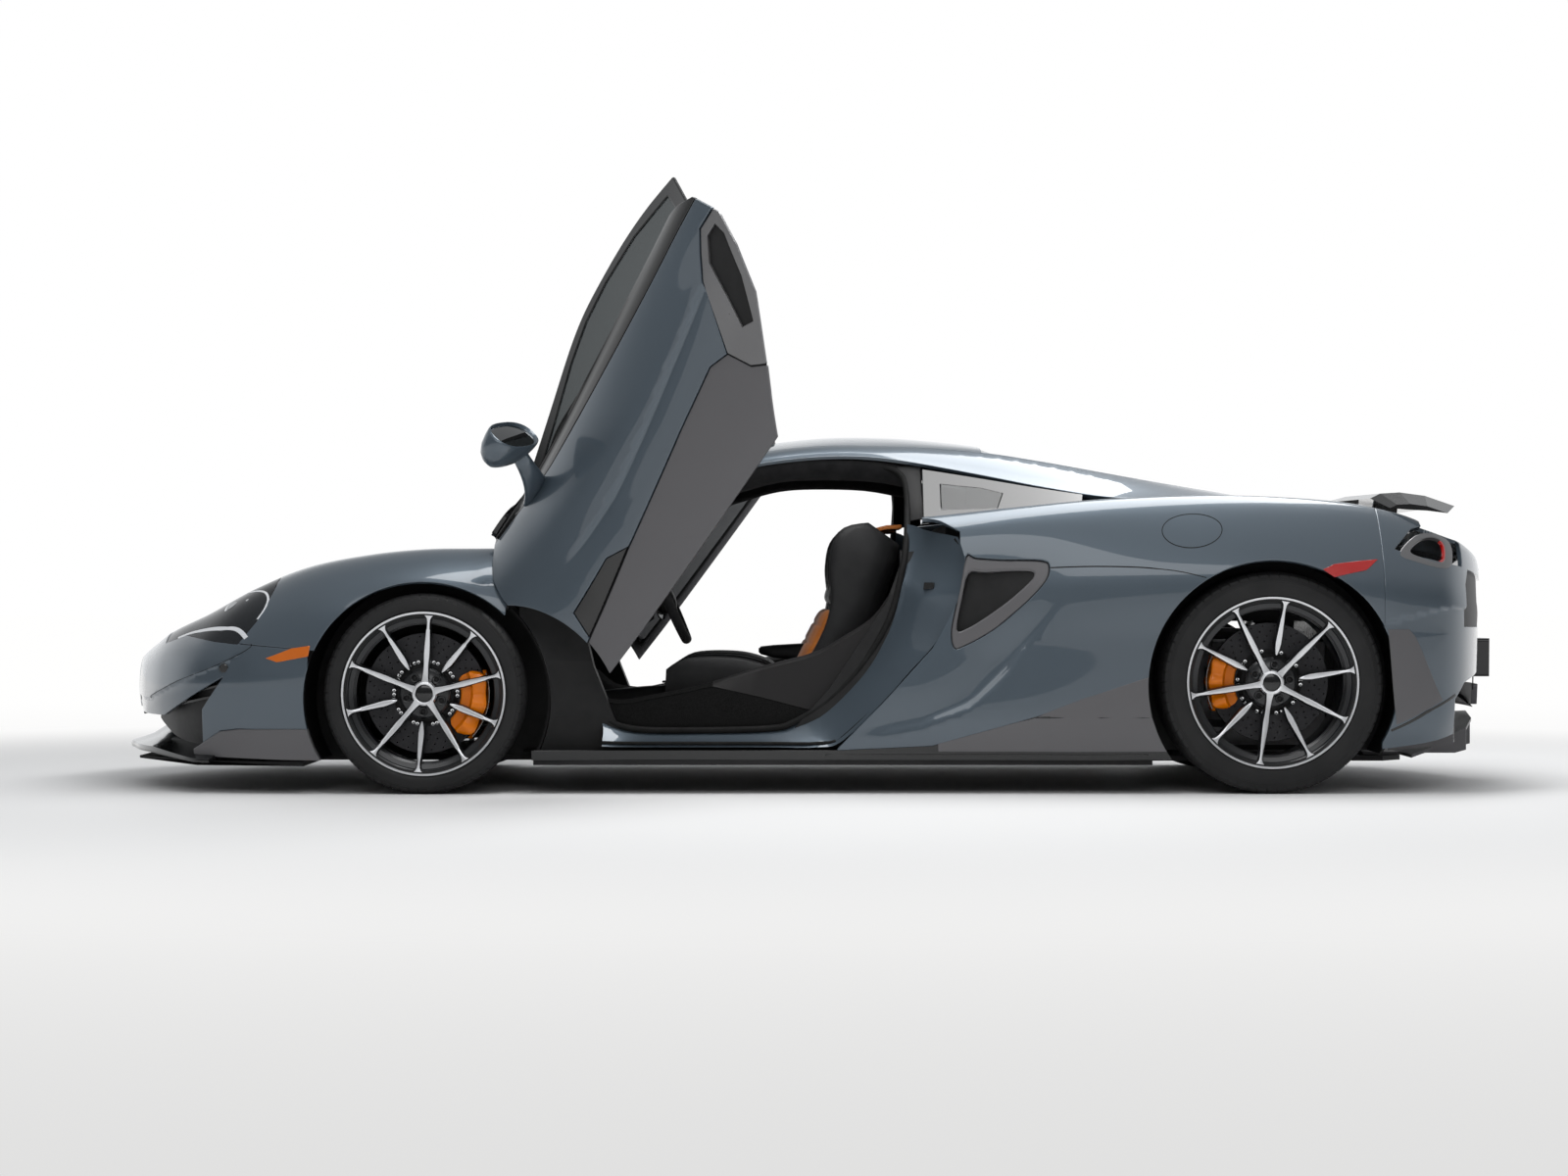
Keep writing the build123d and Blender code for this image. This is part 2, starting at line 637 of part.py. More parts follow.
# ---------------------------------------------------------------- doors
def build_door():
    x, y, z = HINGE_POINT
    axis = Vector(HINGE_AXIS[0], -HINGE_AXIS[1], HINGE_AXIS[2])
    point = Vector(x, -y, z)
    outer = strip(-965, 490, side_section, DOOR_SKIN)
    inner = strip(-900, 420, side_section, DOOR_WALL - DOOR_SKIN, DOOR_SKIN - 1)
    frame_outline = side_prism(FRAME_OUTLINE, 400, 1150)
    window = side_prism(WINDOW_OUTLINE, 400, 1150)
    with BuildPart() as relief:
        with BuildSketch(Plane(origin=point, x_dir=axis, z_dir=axis.cross(Vector(0, 0, 1)))):
            with BuildLine():
                Polyline(*HINGE_RELIEF, close=True)
            make_face()
        revolve(axis=Axis(point, axis))
    with BuildPart() as outer_part:
        add(outer)
        add(side_prism(DOOR_OUTLINE), mode=Mode.INTERSECT)
    with BuildPart() as inner_part:
        add(inner)
        add(side_prism(DOOR_INNER_OUTLINE), mode=Mode.INTERSECT)
    with BuildPart() as shell_part:
        add(outer_part.part)
        add(inner_part.part)
        add(arch_cutter(FRONT_ARCH, 200, 1100, MOVING_GAP), mode=Mode.SUBTRACT)
        add(relief.part, mode=Mode.SUBTRACT)
    with BuildPart() as frame_part:
        for x in stations(-862, 352):
            row = at(CABIN, CABIN_COLUMNS, x)
            belt = at(BODY, BODY_COLUMNS, x)
            low = Vector(-belt["deck_y"], belt["deck_z"])
            high = Vector(-row["rail_y"], row["rail_z"])
            along = (high - low).normalized()
            inward = Vector(along.Y, -along.X)
            top = high - along * DOOR_TOP_GAP
            foot = low - along * 30
            inner_top = top + inward * DOOR_FRAME_WALL - along * DOOR_FRAME_WALL * 1.3
            inner_foot = foot + inward * DOOR_FRAME_WALL
            with BuildSketch(Plane.YZ.offset(x)):
                with BuildLine():
                    Polyline(
                        (foot.X, foot.Y), (top.X, top.Y), (inner_top.X, inner_top.Y),
                        (inner_foot.X, inner_foot.Y),
                        close=True,
                    )
                make_face()
        loft(ruled=True)
        add(frame_outline, mode=Mode.INTERSECT)
        add(window, mode=Mode.SUBTRACT)
    with BuildPart() as door:
        add(shell_part.part)
        add(frame_part.part)
        # hinge arm, from the skin's inside to the knuckle on the pin
        with BuildSketch(Plane(origin=point + axis * 14, z_dir=axis)):
            Circle(19.0)
        extrude(amount=20)
        reach = Vector(-868, -862, 560) - (point + axis * 24)
        with BuildSketch(Plane(origin=point + axis * 24, z_dir=reach)):
            Circle(10.0)
        extrude(amount=reach.length)
        with BuildSketch(Plane(origin=point + axis * 10, z_dir=axis)):
            Circle(9.0 + PIN_GAP)
        extrude(amount=40, mode=Mode.SUBTRACT)
    return door.part


save_pair(raised(build_door()), "door")


def glass_section(x):
    row = at(CABIN, CABIN_COLUMNS, x)
    belt = at(BODY, BODY_COLUMNS, x)
    return [(-belt["deck_y"], belt["deck_z"]), (-row["rail_y"], row["rail_z"])]


def build_door_glass():
    with BuildPart() as glass:
        add(strip(-720, 320, glass_section, GLASS_WALL, 5.0))
        add(side_prism(WINDOW_OUTLINE, 400, 1150, -SEAT_GAP), mode=Mode.INTERSECT)
    return glass.part


save_pair(raised(build_door_glass()), "door_glass")


# ---------------------------------------------------------------- door mirrors
def build_mirror():
    with BuildPart() as mirror_part:
        for dx, w, h in ((-62, 90, 44), (-40, 170, 88), (10, 214, 118), (45, 220, 122)):
            with BuildSketch(Plane.YZ.offset(-526 + dx)):
                with Locations((-985, 826 + dx * 0.1)):
                    RectangleRounded(w, h, h * 0.42)
        loft(ruled=True)
        with BuildSketch(Plane.YZ.offset(-556)):
            with BuildLine():
                Polyline((-905, 776), (-905, 806), (-800, 796), (-780, 768), (-860, 752), close=True)
            make_face()
        extrude(amount=46)
    return mirror_part.part


save_pair(raised(build_mirror() - build_door()), "mirror")


# ---------------------------------------------------------------- windscreen and roof
def windscreen_section(x):
    row = at(CABIN, CABIN_COLUMNS, x)
    edge = row["shoulder_y"] - SEAT_GAP - GLASS_WALL * 0.65
    return mirrored([(-edge, row["shoulder_z"]), (-row["mid_y"], row["mid_z"]), (0, row["top_z"])])


save(strip(WINDSCREEN_FOOT_X, HEADER_X - SEAT_GAP, windscreen_section, GLASS_WALL), "windscreen")


def buttress_section(x):
    row = at(CABIN, CABIN_COLUMNS, x)
    deck = at(BODY, BODY_COLUMNS, x)
    base = deck["deck_z"] - 46
    return [
        (-row["rail_y"], row["rail_z"] - 12), (-row["rail_y"], row["rail_z"]),
        (-row["shoulder_y"], row["shoulder_z"]),
        (-BUTTRESS_INNER_Y, max(row["shoulder_z"] - 26, deck["deck_z"])),
        (-BUTTRESS_INNER_Y, base), (-row["rail_y"] + 60, base),
    ]  # fmt: skip


def build_buttress():
    with BuildPart() as buttress:
        for x in stations(ROOF_REAR_X, 1950):
            with BuildSketch(Plane.YZ.offset(x)):
                with BuildLine():
                    Polyline(*buttress_section(x), close=True)
                make_face()
        loft(ruled=True)
    return buttress.part


def build_roof():
    pillar = strip(COWL_X[1], HEADER_X, lambda x: cabin_points(x, "rail", "shoulder"), ROOF_WALL)
    buttress = build_buttress()
    with BuildPart() as roof:
        add(strip(HEADER_X, ROOF_REAR_X, lambda x: mirrored(cabin_points(x)), ROOF_WALL))
        for piece in (pillar, buttress):
            add(piece)
            add(other_side(piece))
    return roof.part


save(build_roof(), "roof")


# ---------------------------------------------------------------- rear glass
def rear_glass_section(x):
    t = (x - ROOF_REAR_X) / (REAR_GLASS_END_X - ROOF_REAR_X)
    edge_z = 1092 + (884 - 1092) * t
    top_z = 1126 + (892 - 1126) * t
    return mirrored([(-BUTTRESS_INNER_Y + SEAT_GAP, edge_z), (-200, (edge_z + top_z) / 2 + 10), (0, top_z)])


def build_rear_windows():
    with BuildPart() as windows:
        add(strip(ROOF_REAR_X + SEAT_GAP, REAR_GLASS_END_X, rear_glass_section, GLASS_WALL))
    return windows.part


save(build_rear_windows(), "rear_window")


def quarter_glass_section(x):
    row = at(CABIN, CABIN_COLUMNS, x)
    belt = at(BODY, BODY_COLUMNS, x)
    return [(-belt["deck_y"] + 0.5, belt["deck_z"] + SEAT_GAP), (-row["rail_y"] - 2, row["rail_z"] - 26)]


def build_quarter_window():
    with BuildPart() as window:
        add(strip(362, 900, quarter_glass_section, GLASS_WALL))
        add(
            side_prism(((362, 860), (362, 1060), (900, 1060), (860, 860)), 400, 1150),
            mode=Mode.INTERSECT,
        )
        mirror(about=Plane.XZ)
    return window.part


save(build_quarter_window(), "quarter_windows")


# ---------------------------------------------------------------- quarter panels
def build_quarter_panel():
    near_door = side_prism(DOOR_OUTLINE, 250, 1150, MOVING_GAP)
    skirt = side_prism([(x, z + (PANEL_GAP if z > 60 else 0)) for x, z in SKIRT_TOP])
    fore = side_prism(((200, 0), (200, 400), (352, 820), (352, 1100), (-100, 1100), (-100, 0)))
    with BuildPart() as quarter:
        add(strip(200, BUMPER_SPLIT_X - PANEL_GAP, side_section, PANEL_WALL))
        add(fore, mode=Mode.SUBTRACT)
        add(near_door, mode=Mode.SUBTRACT)
        add(side_prism(DOOR_SHOULDER, 250, 1150, 2.4 * MOVING_GAP), mode=Mode.SUBTRACT)
        add(skirt, mode=Mode.SUBTRACT)
        add(side_prism(INTAKE_OUTLINE), mode=Mode.SUBTRACT)
        add(arch_cutter(REAR_ARCH, 300, 1100), mode=Mode.SUBTRACT)
        add(
            side_prism(
                ((REAR_AXLE_X, 0), (REAR_AXLE_X, 460), (BUMPER_SPLIT_X + 20, 460), (BUMPER_SPLIT_X + 20, 0)),
            ),
            mode=Mode.SUBTRACT,
        )
    return quarter.part


save_pair(build_quarter_panel(), "quarter_panel")


# ---------------------------------------------------------------- side intake inserts
def build_side_intake():
    with BuildPart() as insert:
        add(strip(445, 780, side_section, INTAKE_WALL, PANEL_WALL + SEAT_GAP))
        add(side_prism(INTAKE_OUTLINE, 250, 1150, INTAKE_LAP), mode=Mode.INTERSECT)
        add(side_prism(DOOR_OUTLINE, 250, 1150, MOVING_GAP), mode=Mode.SUBTRACT)
        add(side_prism(DOOR_SHOULDER, 250, 1150, 2.4 * MOVING_GAP), mode=Mode.SUBTRACT)
        mirror(about=Plane.XZ)
    return insert.part


save(build_side_intake(), "side_intakes")


# ---------------------------------------------------------------- side skirts
def build_skirt():
    with BuildPart() as skirt:
        add(strip(-880, 1150, lambda x: body_points(x, "sill", "waist"), SIDE_FRAME_DEPTH - SEAT_GAP))
        add(side_prism(SKIRT_TOP), mode=Mode.INTERSECT)
        add(arch_cutter(REAR_ARCH, 300, 1100), mode=Mode.SUBTRACT)
        add(
            arch_cutter(REAR_ARCH, 300, REAR_LINER_Y + SEAT_GAP, LINER_GAP + LINER_WALL + SEAT_GAP),
            mode=Mode.SUBTRACT,
        )
        add(
            arch_cutter(FRONT_ARCH, 300, FRONT_LINER_Y + SEAT_GAP, LINER_GAP + LINER_WALL + SEAT_GAP),
            mode=Mode.SUBTRACT,
        )
        mirror(about=Plane.XZ)
    return skirt.part


save(build_skirt(), "side_skirts")


# ---------------------------------------------------------------- engine cover
def engine_cover_section(x):
    row = at(BODY, BODY_COLUMNS, x)
    edge = BUTTRESS_INNER_Y - PANEL_GAP
    z = min(row["deck_z"] - 22, row["centre_z"] + 12)
    return mirrored([(-edge, z), (-edge / 2, (z + row["centre_z"]) / 2 + 2), (0, row["centre_z"])])


engine_cover = strip(REAR_GLASS_END_X + PANEL_GAP, 1950, engine_cover_section, PANEL_WALL)
save(engine_cover, "engine_cover")


# ---------------------------------------------------------------- rear bumper
def build_rear_bumper():
    end_x = BODY[-1][0]
    lamp = side_prism(TAIL_LAMP_OUTLINE, TAIL_LAMP_INNER_Y - PANEL_GAP, 1150, PANEL_GAP)
    arch = arch_cutter(REAR_ARCH, 300, 1100)
    with BuildPart() as bumper:
        add(strip(BUMPER_SPLIT_X, end_x, bumper_section, PANEL_WALL))
        with BuildSketch(Plane.YZ.offset(end_x)):
            with BuildLine():
                Polyline(*bumper_section(end_x), close=True)
            make_face()
        extrude(amount=-PANEL_WALL)
        for cutter in (lamp, arch):
            add(cutter, mode=Mode.SUBTRACT)
            add(other_side(cutter), mode=Mode.SUBTRACT)
        # deck between the buttresses, and their ends
        add(
            plan_prism(((1700, -650), (1700, 650), (1952, 650), (1952, -650)), 740, 1000),
            mode=Mode.SUBTRACT,
        )
        # diffuser opening below and exhaust openings above
        with BuildSketch(Plane.YZ.offset(1990)):
            with BuildLine():
                Polyline((-720, 100), (-640, 330), (640, 330), (720, 100), close=True)
            make_face()
        extrude(amount=400, mode=Mode.SUBTRACT)
        with BuildSketch(Plane.YZ.offset(1990)):
            with Locations((-EXHAUST["y"], EXHAUST["z"]), (EXHAUST["y"], EXHAUST["z"])):
                Circle(EXHAUST["r"] + MOVING_GAP)
        extrude(amount=400, mode=Mode.SUBTRACT)
        # plinth of the number plate, with its two screw holes
        with BuildSketch(Plane.YZ.offset(end_x - PANEL_WALL)):
            with Locations((0, PLATE["z"])):
                Rectangle(PLATE["width"], PLATE["height"])
        extrude(amount=TAIL_X - end_x + PANEL_WALL)
        with BuildSketch(Plane.YZ.offset(TAIL_X)):
            with Locations((-PLATE["hole_span"] / 2, PLATE["z"]), (PLATE["hole_span"] / 2, PLATE["z"])):
                Circle(PLATE["hole_r"])
        extrude(amount=-PLATE["hole_depth"], mode=Mode.SUBTRACT)
    return bumper.part


save(build_rear_bumper(), "rear_bumper")


def build_tail_lamp():
    with BuildPart() as lamp:
        add(strip(1820, 2110, side_section, 40.0))
        add(side_prism(TAIL_LAMP_OUTLINE, TAIL_LAMP_INNER_Y, 1150), mode=Mode.INTERSECT)
        mirror(about=Plane.XZ)
    return lamp.part


save(build_tail_lamp(), "tail_lamps")


# ---------------------------------------------------------------- exhaust, diffuser and wing
def build_exhaust():
    with BuildPart() as exhaust:
        with BuildSketch(Plane.YZ.offset(EXHAUST["front_x"])):
            with Locations((0, EXHAUST["z"])):
                RectangleRounded(620, 180, 60)
        extrude(amount=2000 - EXHAUST["front_x"])
        for side in (-1, 1):
            with BuildSketch(Plane.YZ.offset(1990)):
                with Locations((side * EXHAUST["y"], EXHAUST["z"])):
                    Circle(EXHAUST["r"])
            extrude(amount=EXHAUST["tip_x"] - 1990)
        for side in (-1, 1):
            with BuildSketch(Plane.YZ.offset(2060)):
                with Locations((side * EXHAUST["y"], EXHAUST["z"])):
                    Circle(EXHAUST["r"] - EXHAUST["wall"])
            extrude(amount=300, mode=Mode.SUBTRACT)
    return exhaust.part


save(build_exhaust(), "exhaust")


def build_diffuser():
    d = DIFFUSER
    with BuildPart() as diffuser:
        with BuildSketch(Plane.XZ.offset(-d["half_y"])):
            with BuildLine():
                Polyline(
                    (d["start_x"], d["low_z"]), (d["start_x"] + 120, d["low_z"]), (d["end_x"], d["high_z"]),
                    (d["end_x"], d["high_z"] + d["wall"]), (d["start_x"] + 120, d["low_z"] + d["wall"]),
                    (d["start_x"], d["low_z"] + d["wall"]), close=True,
                )  # fmt: skip
            make_face()
        extrude(amount=2 * d["half_y"])
        for y in (-535, -360, -180, 0, 180, 360, 535):
            with BuildSketch(Plane.XZ.offset(-y - 4)):
                with BuildLine():
                    Polyline(
                        (d["start_x"] + 140, d["low_z"] + 6), (d["end_x"] - 4, d["high_z"] + 4),
                        (d["end_x"] - 4, 150), (2100, 112), close=True,
                    )  # fmt: skip
                make_face()
            extrude(amount=8)
        add(side_prism(FENCE_SIDE, *FENCE_Y))
        add(other_side(side_prism(FENCE_SIDE, *FENCE_Y)))
        for low, high in ((-FENCE_Y[1], -530), (530, FENCE_Y[1])):
            with BuildSketch(Plane.XZ.offset(-high)):
                with BuildLine():
                    Polyline((1920, 106), (2060, 156.8), (2060, 166.8), (1920, 116), close=True)
                make_face()
            extrude(amount=high - low)
        add(
            plan_prism((*DIFFUSER_PLAN, *((x, -y) for x, y in reversed(DIFFUSER_PLAN[:-1])))),
            mode=Mode.INTERSECT,
        )
    return diffuser.part


save(build_diffuser(), "diffuser")


def build_wing():
    w = WING
    profile = [
        (0.0, 0.05), (0.12, 0.115), (0.35, 0.13), (0.65, 0.085), (1.0, -0.05), (0.65, 0.0), (0.3, 0.02),
    ]
    with BuildPart() as wing:
        for y, inset_x, scale, drop in ((-w["half_span"], 60, 0.62, -34), (-620, 16, 0.92, -4), (0, 0, 1.0, 0),
                                        (620, 16, 0.92, -4), (w["half_span"], 60, 0.62, -34)):
            points = [
                (w["x"] + inset_x + fx * w["chord"] * scale, w["z"] + drop + fz * w["chord"] * scale * 0.9)
                for fx, fz in profile
            ]
            with BuildSketch(Plane.XZ.offset(-y)):
                with BuildLine():
                    Polyline(*points, close=True)
                make_face()
        loft(ruled=True)
        for side in (-1, 1):
            with BuildSketch(Plane.XZ.offset(side * w["stanchion_y"] - 8)):
                with BuildLine():
                    Polyline((1830, 812), (1862, 946), (1940, 946), (1925, 800), close=True)
                make_face()
            extrude(amount=16)
    return wing.part


save(build_wing() - engine_cover, "rear_wing")


# ---------------------------------------------------------------- underbody
def build_underbody():
    with BuildPart() as under:
        with BuildSketch(Plane.XY.offset(FLOOR_Z - FLOOR_WALL)):
            with BuildLine():
                Polyline(
                    (-1590, 0), (-1590, 552), (-876, 552), (-876, 905), (1076, 905), (1076, 620), (
                        1850, 620,
                    ),
                    (1920, 540), (1920, 0), close=True,
                )  # fmt: skip
            make_face()
        extrude(amount=FLOOR_WALL - SEAT_GAP)
        mirror(about=Plane.XZ)
    return under.part


save(build_underbody(), "underbody")


# ---------------------------------------------------------------- arch liners
def build_liner(arch, inner_y, outer_y, low_z, hole):
    inner_r = arch["r"] + LINER_GAP
    with BuildPart() as liner:
        with BuildSketch(Plane.XZ.offset(inner_y)):
            with Locations((arch["x"], arch["z"])):
                Circle(inner_r + LINER_WALL)
        extrude(amount=outer_y - inner_y)
        with BuildSketch(Plane.XZ.offset(inner_y + LINER_WALL)):
            with Locations((arch["x"], arch["z"])):
                Circle(inner_r)
        extrude(amount=outer_y, mode=Mode.SUBTRACT)
        with BuildSketch(Plane.XZ.offset(inner_y - 10)):
            with Locations((arch["x"], low_z - 500)):
                Rectangle(1200, 1000)
            with Locations((arch["x"], arch["z"])):
                Rectangle(*hole)
        extrude(amount=outer_y, mode=Mode.SUBTRACT)
    return liner.part


def build_liners():
    front = build_liner(FRONT_ARCH, 545, FRONT_LINER_Y, FLOOR_Z + SEAT_GAP, (420, 400))
    rear = build_liner(REAR_ARCH, 622, REAR_LINER_Y, FLOOR_Z + 20, (420, 400))
    behind_wheel = side_prism(((-966, 0), (-966, 570), (-940, 620), (-700, 620), (-700, 0)), 775, 1000)
    bumper_zone = side_prism(((-1700, 0), (-1700, 330), (-1480, 330), (-1480, 0)), 840, 1000)
    with BuildPart() as liners:
        add(front)
        add(behind_wheel, mode=Mode.SUBTRACT)
        add(bumper_zone, mode=Mode.SUBTRACT)
        add(rear)
        mirror(about=Plane.XZ)
    return liners.part


save(build_liners(), "arch_liners")


# ---------------------------------------------------------------- engine and gearbox
def build_engine():
    with BuildPart() as engine:
        with BuildSketch(Plane.XY.offset(FLOOR_Z + 30)):
            with Locations(((CABIN_REAR_X + 1340) / 2, 0)):
                Rectangle(1340 - CABIN_REAR_X, 620)
        extrude(amount=570)
        with BuildSketch(Plane.XY.offset(FLOOR_Z)):
            with Locations((1565, 0)):
                Rectangle(460, 660)
        extrude(amount=470 - FLOOR_Z - SEAT_GAP)
    return engine.part


save(build_engine(), "engine_block")


# ---------------------------------------------------------------- cabin fittings


def steering_plane(distance=0.0):
    tilt = math.radians(STEERING["tilt"])
    ahead = Vector(-math.cos(tilt), 0, -math.sin(tilt))
    centre = Vector(STEERING["x"], STEERING["y"], STEERING["z"])
    return Plane(origin=centre + ahead * distance, x_dir=(0, 1, 0), z_dir=ahead)


def build_dashboard():
    with BuildPart() as dashboard:
        with BuildSketch(Plane.XZ.offset(-650)):
            with BuildLine():
                Polyline(
                    (COWL_X[1] + SEAT_GAP, 752), (-760, 768), (-640, 760), (-590, 700), (-610, 600), (
                        -700, 560,
                    ),
                    (COWL_X[1] + SEAT_GAP, 560), close=True,
                )  # fmt: skip
            make_face()
        extrude(amount=1300)
        with BuildSketch(Plane.XZ.offset(200)):
            with BuildLine():
                Polyline((-700, 740), (-690, 790), (-600, 792), (-560, 740), (-600, 690), close=True)
            make_face()
        extrude(amount=340)
        with BuildSketch(steering_plane(90)):
            Circle(46)
        extrude(amount=90)
        with BuildSketch(steering_plane(60)):
            Circle(STEERING["column_r"] + PIN_GAP)
        extrude(amount=118, mode=Mode.SUBTRACT)
    return dashboard.part


save(build_dashboard(), "dashboard")


def build_steering_wheel():
    s = STEERING
    with BuildPart() as wheel:
        with BuildSketch(steering_plane(-s["tube_r"])):
            Circle(s["rim_r"] + s["tube_r"])
            Circle(s["rim_r"] - s["tube_r"], mode=Mode.SUBTRACT)
        extrude(amount=2 * s["tube_r"])
        fillet(wheel.edges().filter_by(GeomType.CIRCLE), s["tube_r"] * 0.85)
        with BuildSketch(steering_plane(0)):
            Circle(58)
            Rectangle(2 * s["rim_r"], 34)
            with Locations((-s["rim_r"] / 2, 0)):
                Rectangle(s["rim_r"], 30)
        extrude(amount=14)
        with BuildSketch(steering_plane(0)):
            Circle(s["column_r"])
        extrude(amount=170)
    return wheel.part


save(build_steering_wheel(), "steering_wheel")


def build_seat():
    with BuildPart() as seat:
        with BuildSketch(Plane.XZ.offset(SEAT_Y - SEAT_HALF_W + 40)):
            with BuildLine():
                Polyline(*SEAT_SIDE, close=True)
            make_face()
        extrude(amount=2 * SEAT_HALF_W - 80)
        for y in (SEAT_Y - SEAT_HALF_W, SEAT_Y + SEAT_HALF_W - 60):
            with BuildSketch(Plane.XZ.offset(y)):
                with BuildLine():
                    Polyline(*SEAT_WING, close=True)
                make_face()
            extrude(amount=60)
    return seat.part


save_pair(build_seat(), "seat")


def build_console():
    with BuildPart() as console:
        with BuildSketch(Plane.XZ.offset(-85)):
            with BuildLine():
                Polyline(
                    (-600, FLOOR_Z + 170 + SEAT_GAP), (-612, 560), (-560, 520), (-300, 440), (250, 430),
                    (280, FLOOR_Z + 170 + SEAT_GAP), close=True,
                )  # fmt: skip
            make_face()
        extrude(amount=170)
    return console.part


save(build_console(), "centre_console")


# ---------------------------------------------------------------- wheels
def build_tyre(axle_x, track, wheel):
    r, w, bead = wheel["tyre_r"], wheel["tyre_w"] / 2, wheel["bead_r"] + SEAT_GAP
    side = (bead + r) / 2
    lip = bead + FLANGE_HEIGHT + 2
    with BuildPart() as tyre:
        with BuildSketch(Plane(origin=(axle_x, -track, r), x_dir=(1, 0, 0), z_dir=(0, 0, 1))):
            with BuildLine():
                Polyline(
                    (bead, -w + 12), (lip, -w + 10), (side, -w), (r - 14, -w + 8), (r - 3, -w + 22), (
                        r, -w + 50,
                    ),
                    (r, w - 50), (r - 3, w - 22), (r - 14, w - 8), (side, w), (lip, w - 10), (bead, w - 12),
                    (bead, w - 34), (r - 16, w - 40), (r - 16, -w + 40), (bead, -w + 34), close=True,
                )  # fmt: skip
            make_face()
        revolve(axis=Axis((axle_x, -track, r), (0, 1, 0)))
    return tyre.part


def build_rim(axle_x, track, wheel, hub_y):
    r, w, bead = wheel["tyre_r"], wheel["tyre_w"] / 2, wheel["bead_r"]
    outer = bead - 16
    face = -w + 16
    with BuildPart() as rim:
        with BuildSketch(Plane(origin=(axle_x, -track, r), x_dir=(1, 0, 0), z_dir=(0, 0, 1))):
            with BuildLine():
                Polyline(
                    (outer, -w + 6), (bead + FLANGE_HEIGHT, -w + 2), (bead + FLANGE_HEIGHT, -w + 8),
                    (bead, -w + 10), (bead, -w + 40), (outer + 8, -w + 60), (outer + 8, w - 60), (
                        bead, w - 40,
                    ),
                    (bead, w - 10), (bead + FLANGE_HEIGHT, w - 8), (bead + FLANGE_HEIGHT, w - 2), (
                        outer, w - 6,
                    ),
                    close=True,
                )  # fmt: skip
            make_face()
        revolve(axis=Axis((axle_x, -track, r), (0, 1, 0)))
        # hub, disc and its bell
        with BuildSketch(Plane(origin=(axle_x, -track, r), x_dir=(1, 0, 0), z_dir=(0, 0, 1))):
            with BuildLine():
                Polyline(
                    (24, face + 34), (78, face + 34), (78, face + 62), (92, hub_y - 17), (
                        wheel["disc_r"], hub_y - 17,
                    ),
                    (wheel["disc_r"], hub_y + 17), (60, hub_y + 17), (60, face + 74), (
                        24, face + 74,
                    ), close=True,
                )  # fmt: skip
            make_face()
        revolve(axis=Axis((axle_x, -track, r), (0, 1, 0)))
        # spokes: five reach the hub, five end at the wheel bolts
        for k in range(SPOKES):
            root = 30 if k % 2 == 0 else 62
            angle = 360 / SPOKES * k + 18
            direction = Vector(math.cos(math.radians(angle)), 0, math.sin(math.radians(angle)))
            start = Vector(axle_x, -track, r) + direction * root
            with BuildSketch(
                Plane(origin=start + Vector(0, face + 24, 0), x_dir=(0, 1, 0), z_dir=direction),
            ):
                Rectangle(34, 30)
            with BuildSketch(
                Plane(
                    origin=start + direction * (outer + 4 - root) + Vector(0, face, 0), x_dir=(0, 1, 0),
                    z_dir=direction,
                )
            ):
                Rectangle(22, 20)
            loft(ruled=True)
        with BuildSketch(Plane.XZ.offset(track - w)):
            with Locations((axle_x, r)):
                Circle(STUB_R + PIN_GAP)
        extrude(amount=-2 * w, mode=Mode.SUBTRACT)
    return rim.part


save_pair(build_tyre(FRONT_AXLE_X, FRONT_HALF_TRACK, FRONT_WHEEL), "tyre_front")
save_pair(build_tyre(REAR_AXLE_X, REAR_HALF_TRACK, REAR_WHEEL), "tyre_rear")
save_pair(build_rim(FRONT_AXLE_X, FRONT_HALF_TRACK, FRONT_WHEEL, FRONT_DISC_Y), "rim_front")
save_pair(build_rim(REAR_AXLE_X, REAR_HALF_TRACK, REAR_WHEEL, REAR_DISC_Y), "rim_rear")


# ---------------------------------------------------------------- brake calipers
def build_caliper(axle_x, track, wheel, disc_y, side):
    z = wheel["tyre_r"]
    inner, outer = 112.0, wheel["disc_r"] + 22
    with BuildPart() as caliper:
        with BuildSketch(Plane.XZ.offset(track - disc_y - 50)):
            with Locations((axle_x, z)):
                Circle(outer)
                Circle(inner, mode=Mode.SUBTRACT)
            with Locations((axle_x + side * 300, z)):
                Rectangle(460, 260, mode=Mode.INTERSECT)
        extrude(amount=100)
        with BuildSketch(Plane.XZ.offset(track - disc_y - 17 - RUN_GAP)):
            with Locations((axle_x, z)):
                Circle(wheel["disc_r"] + RUN_GAP)
        extrude(amount=2 * (17 + RUN_GAP), mode=Mode.SUBTRACT)
    return caliper.part


save_pair(build_caliper(FRONT_AXLE_X, FRONT_HALF_TRACK, FRONT_WHEEL, FRONT_DISC_Y, 1), "caliper_front")
rear_caliper = build_caliper(REAR_AXLE_X, REAR_HALF_TRACK, REAR_WHEEL, REAR_DISC_Y, -1)
save(both(rear_caliper), "rear_calipers")


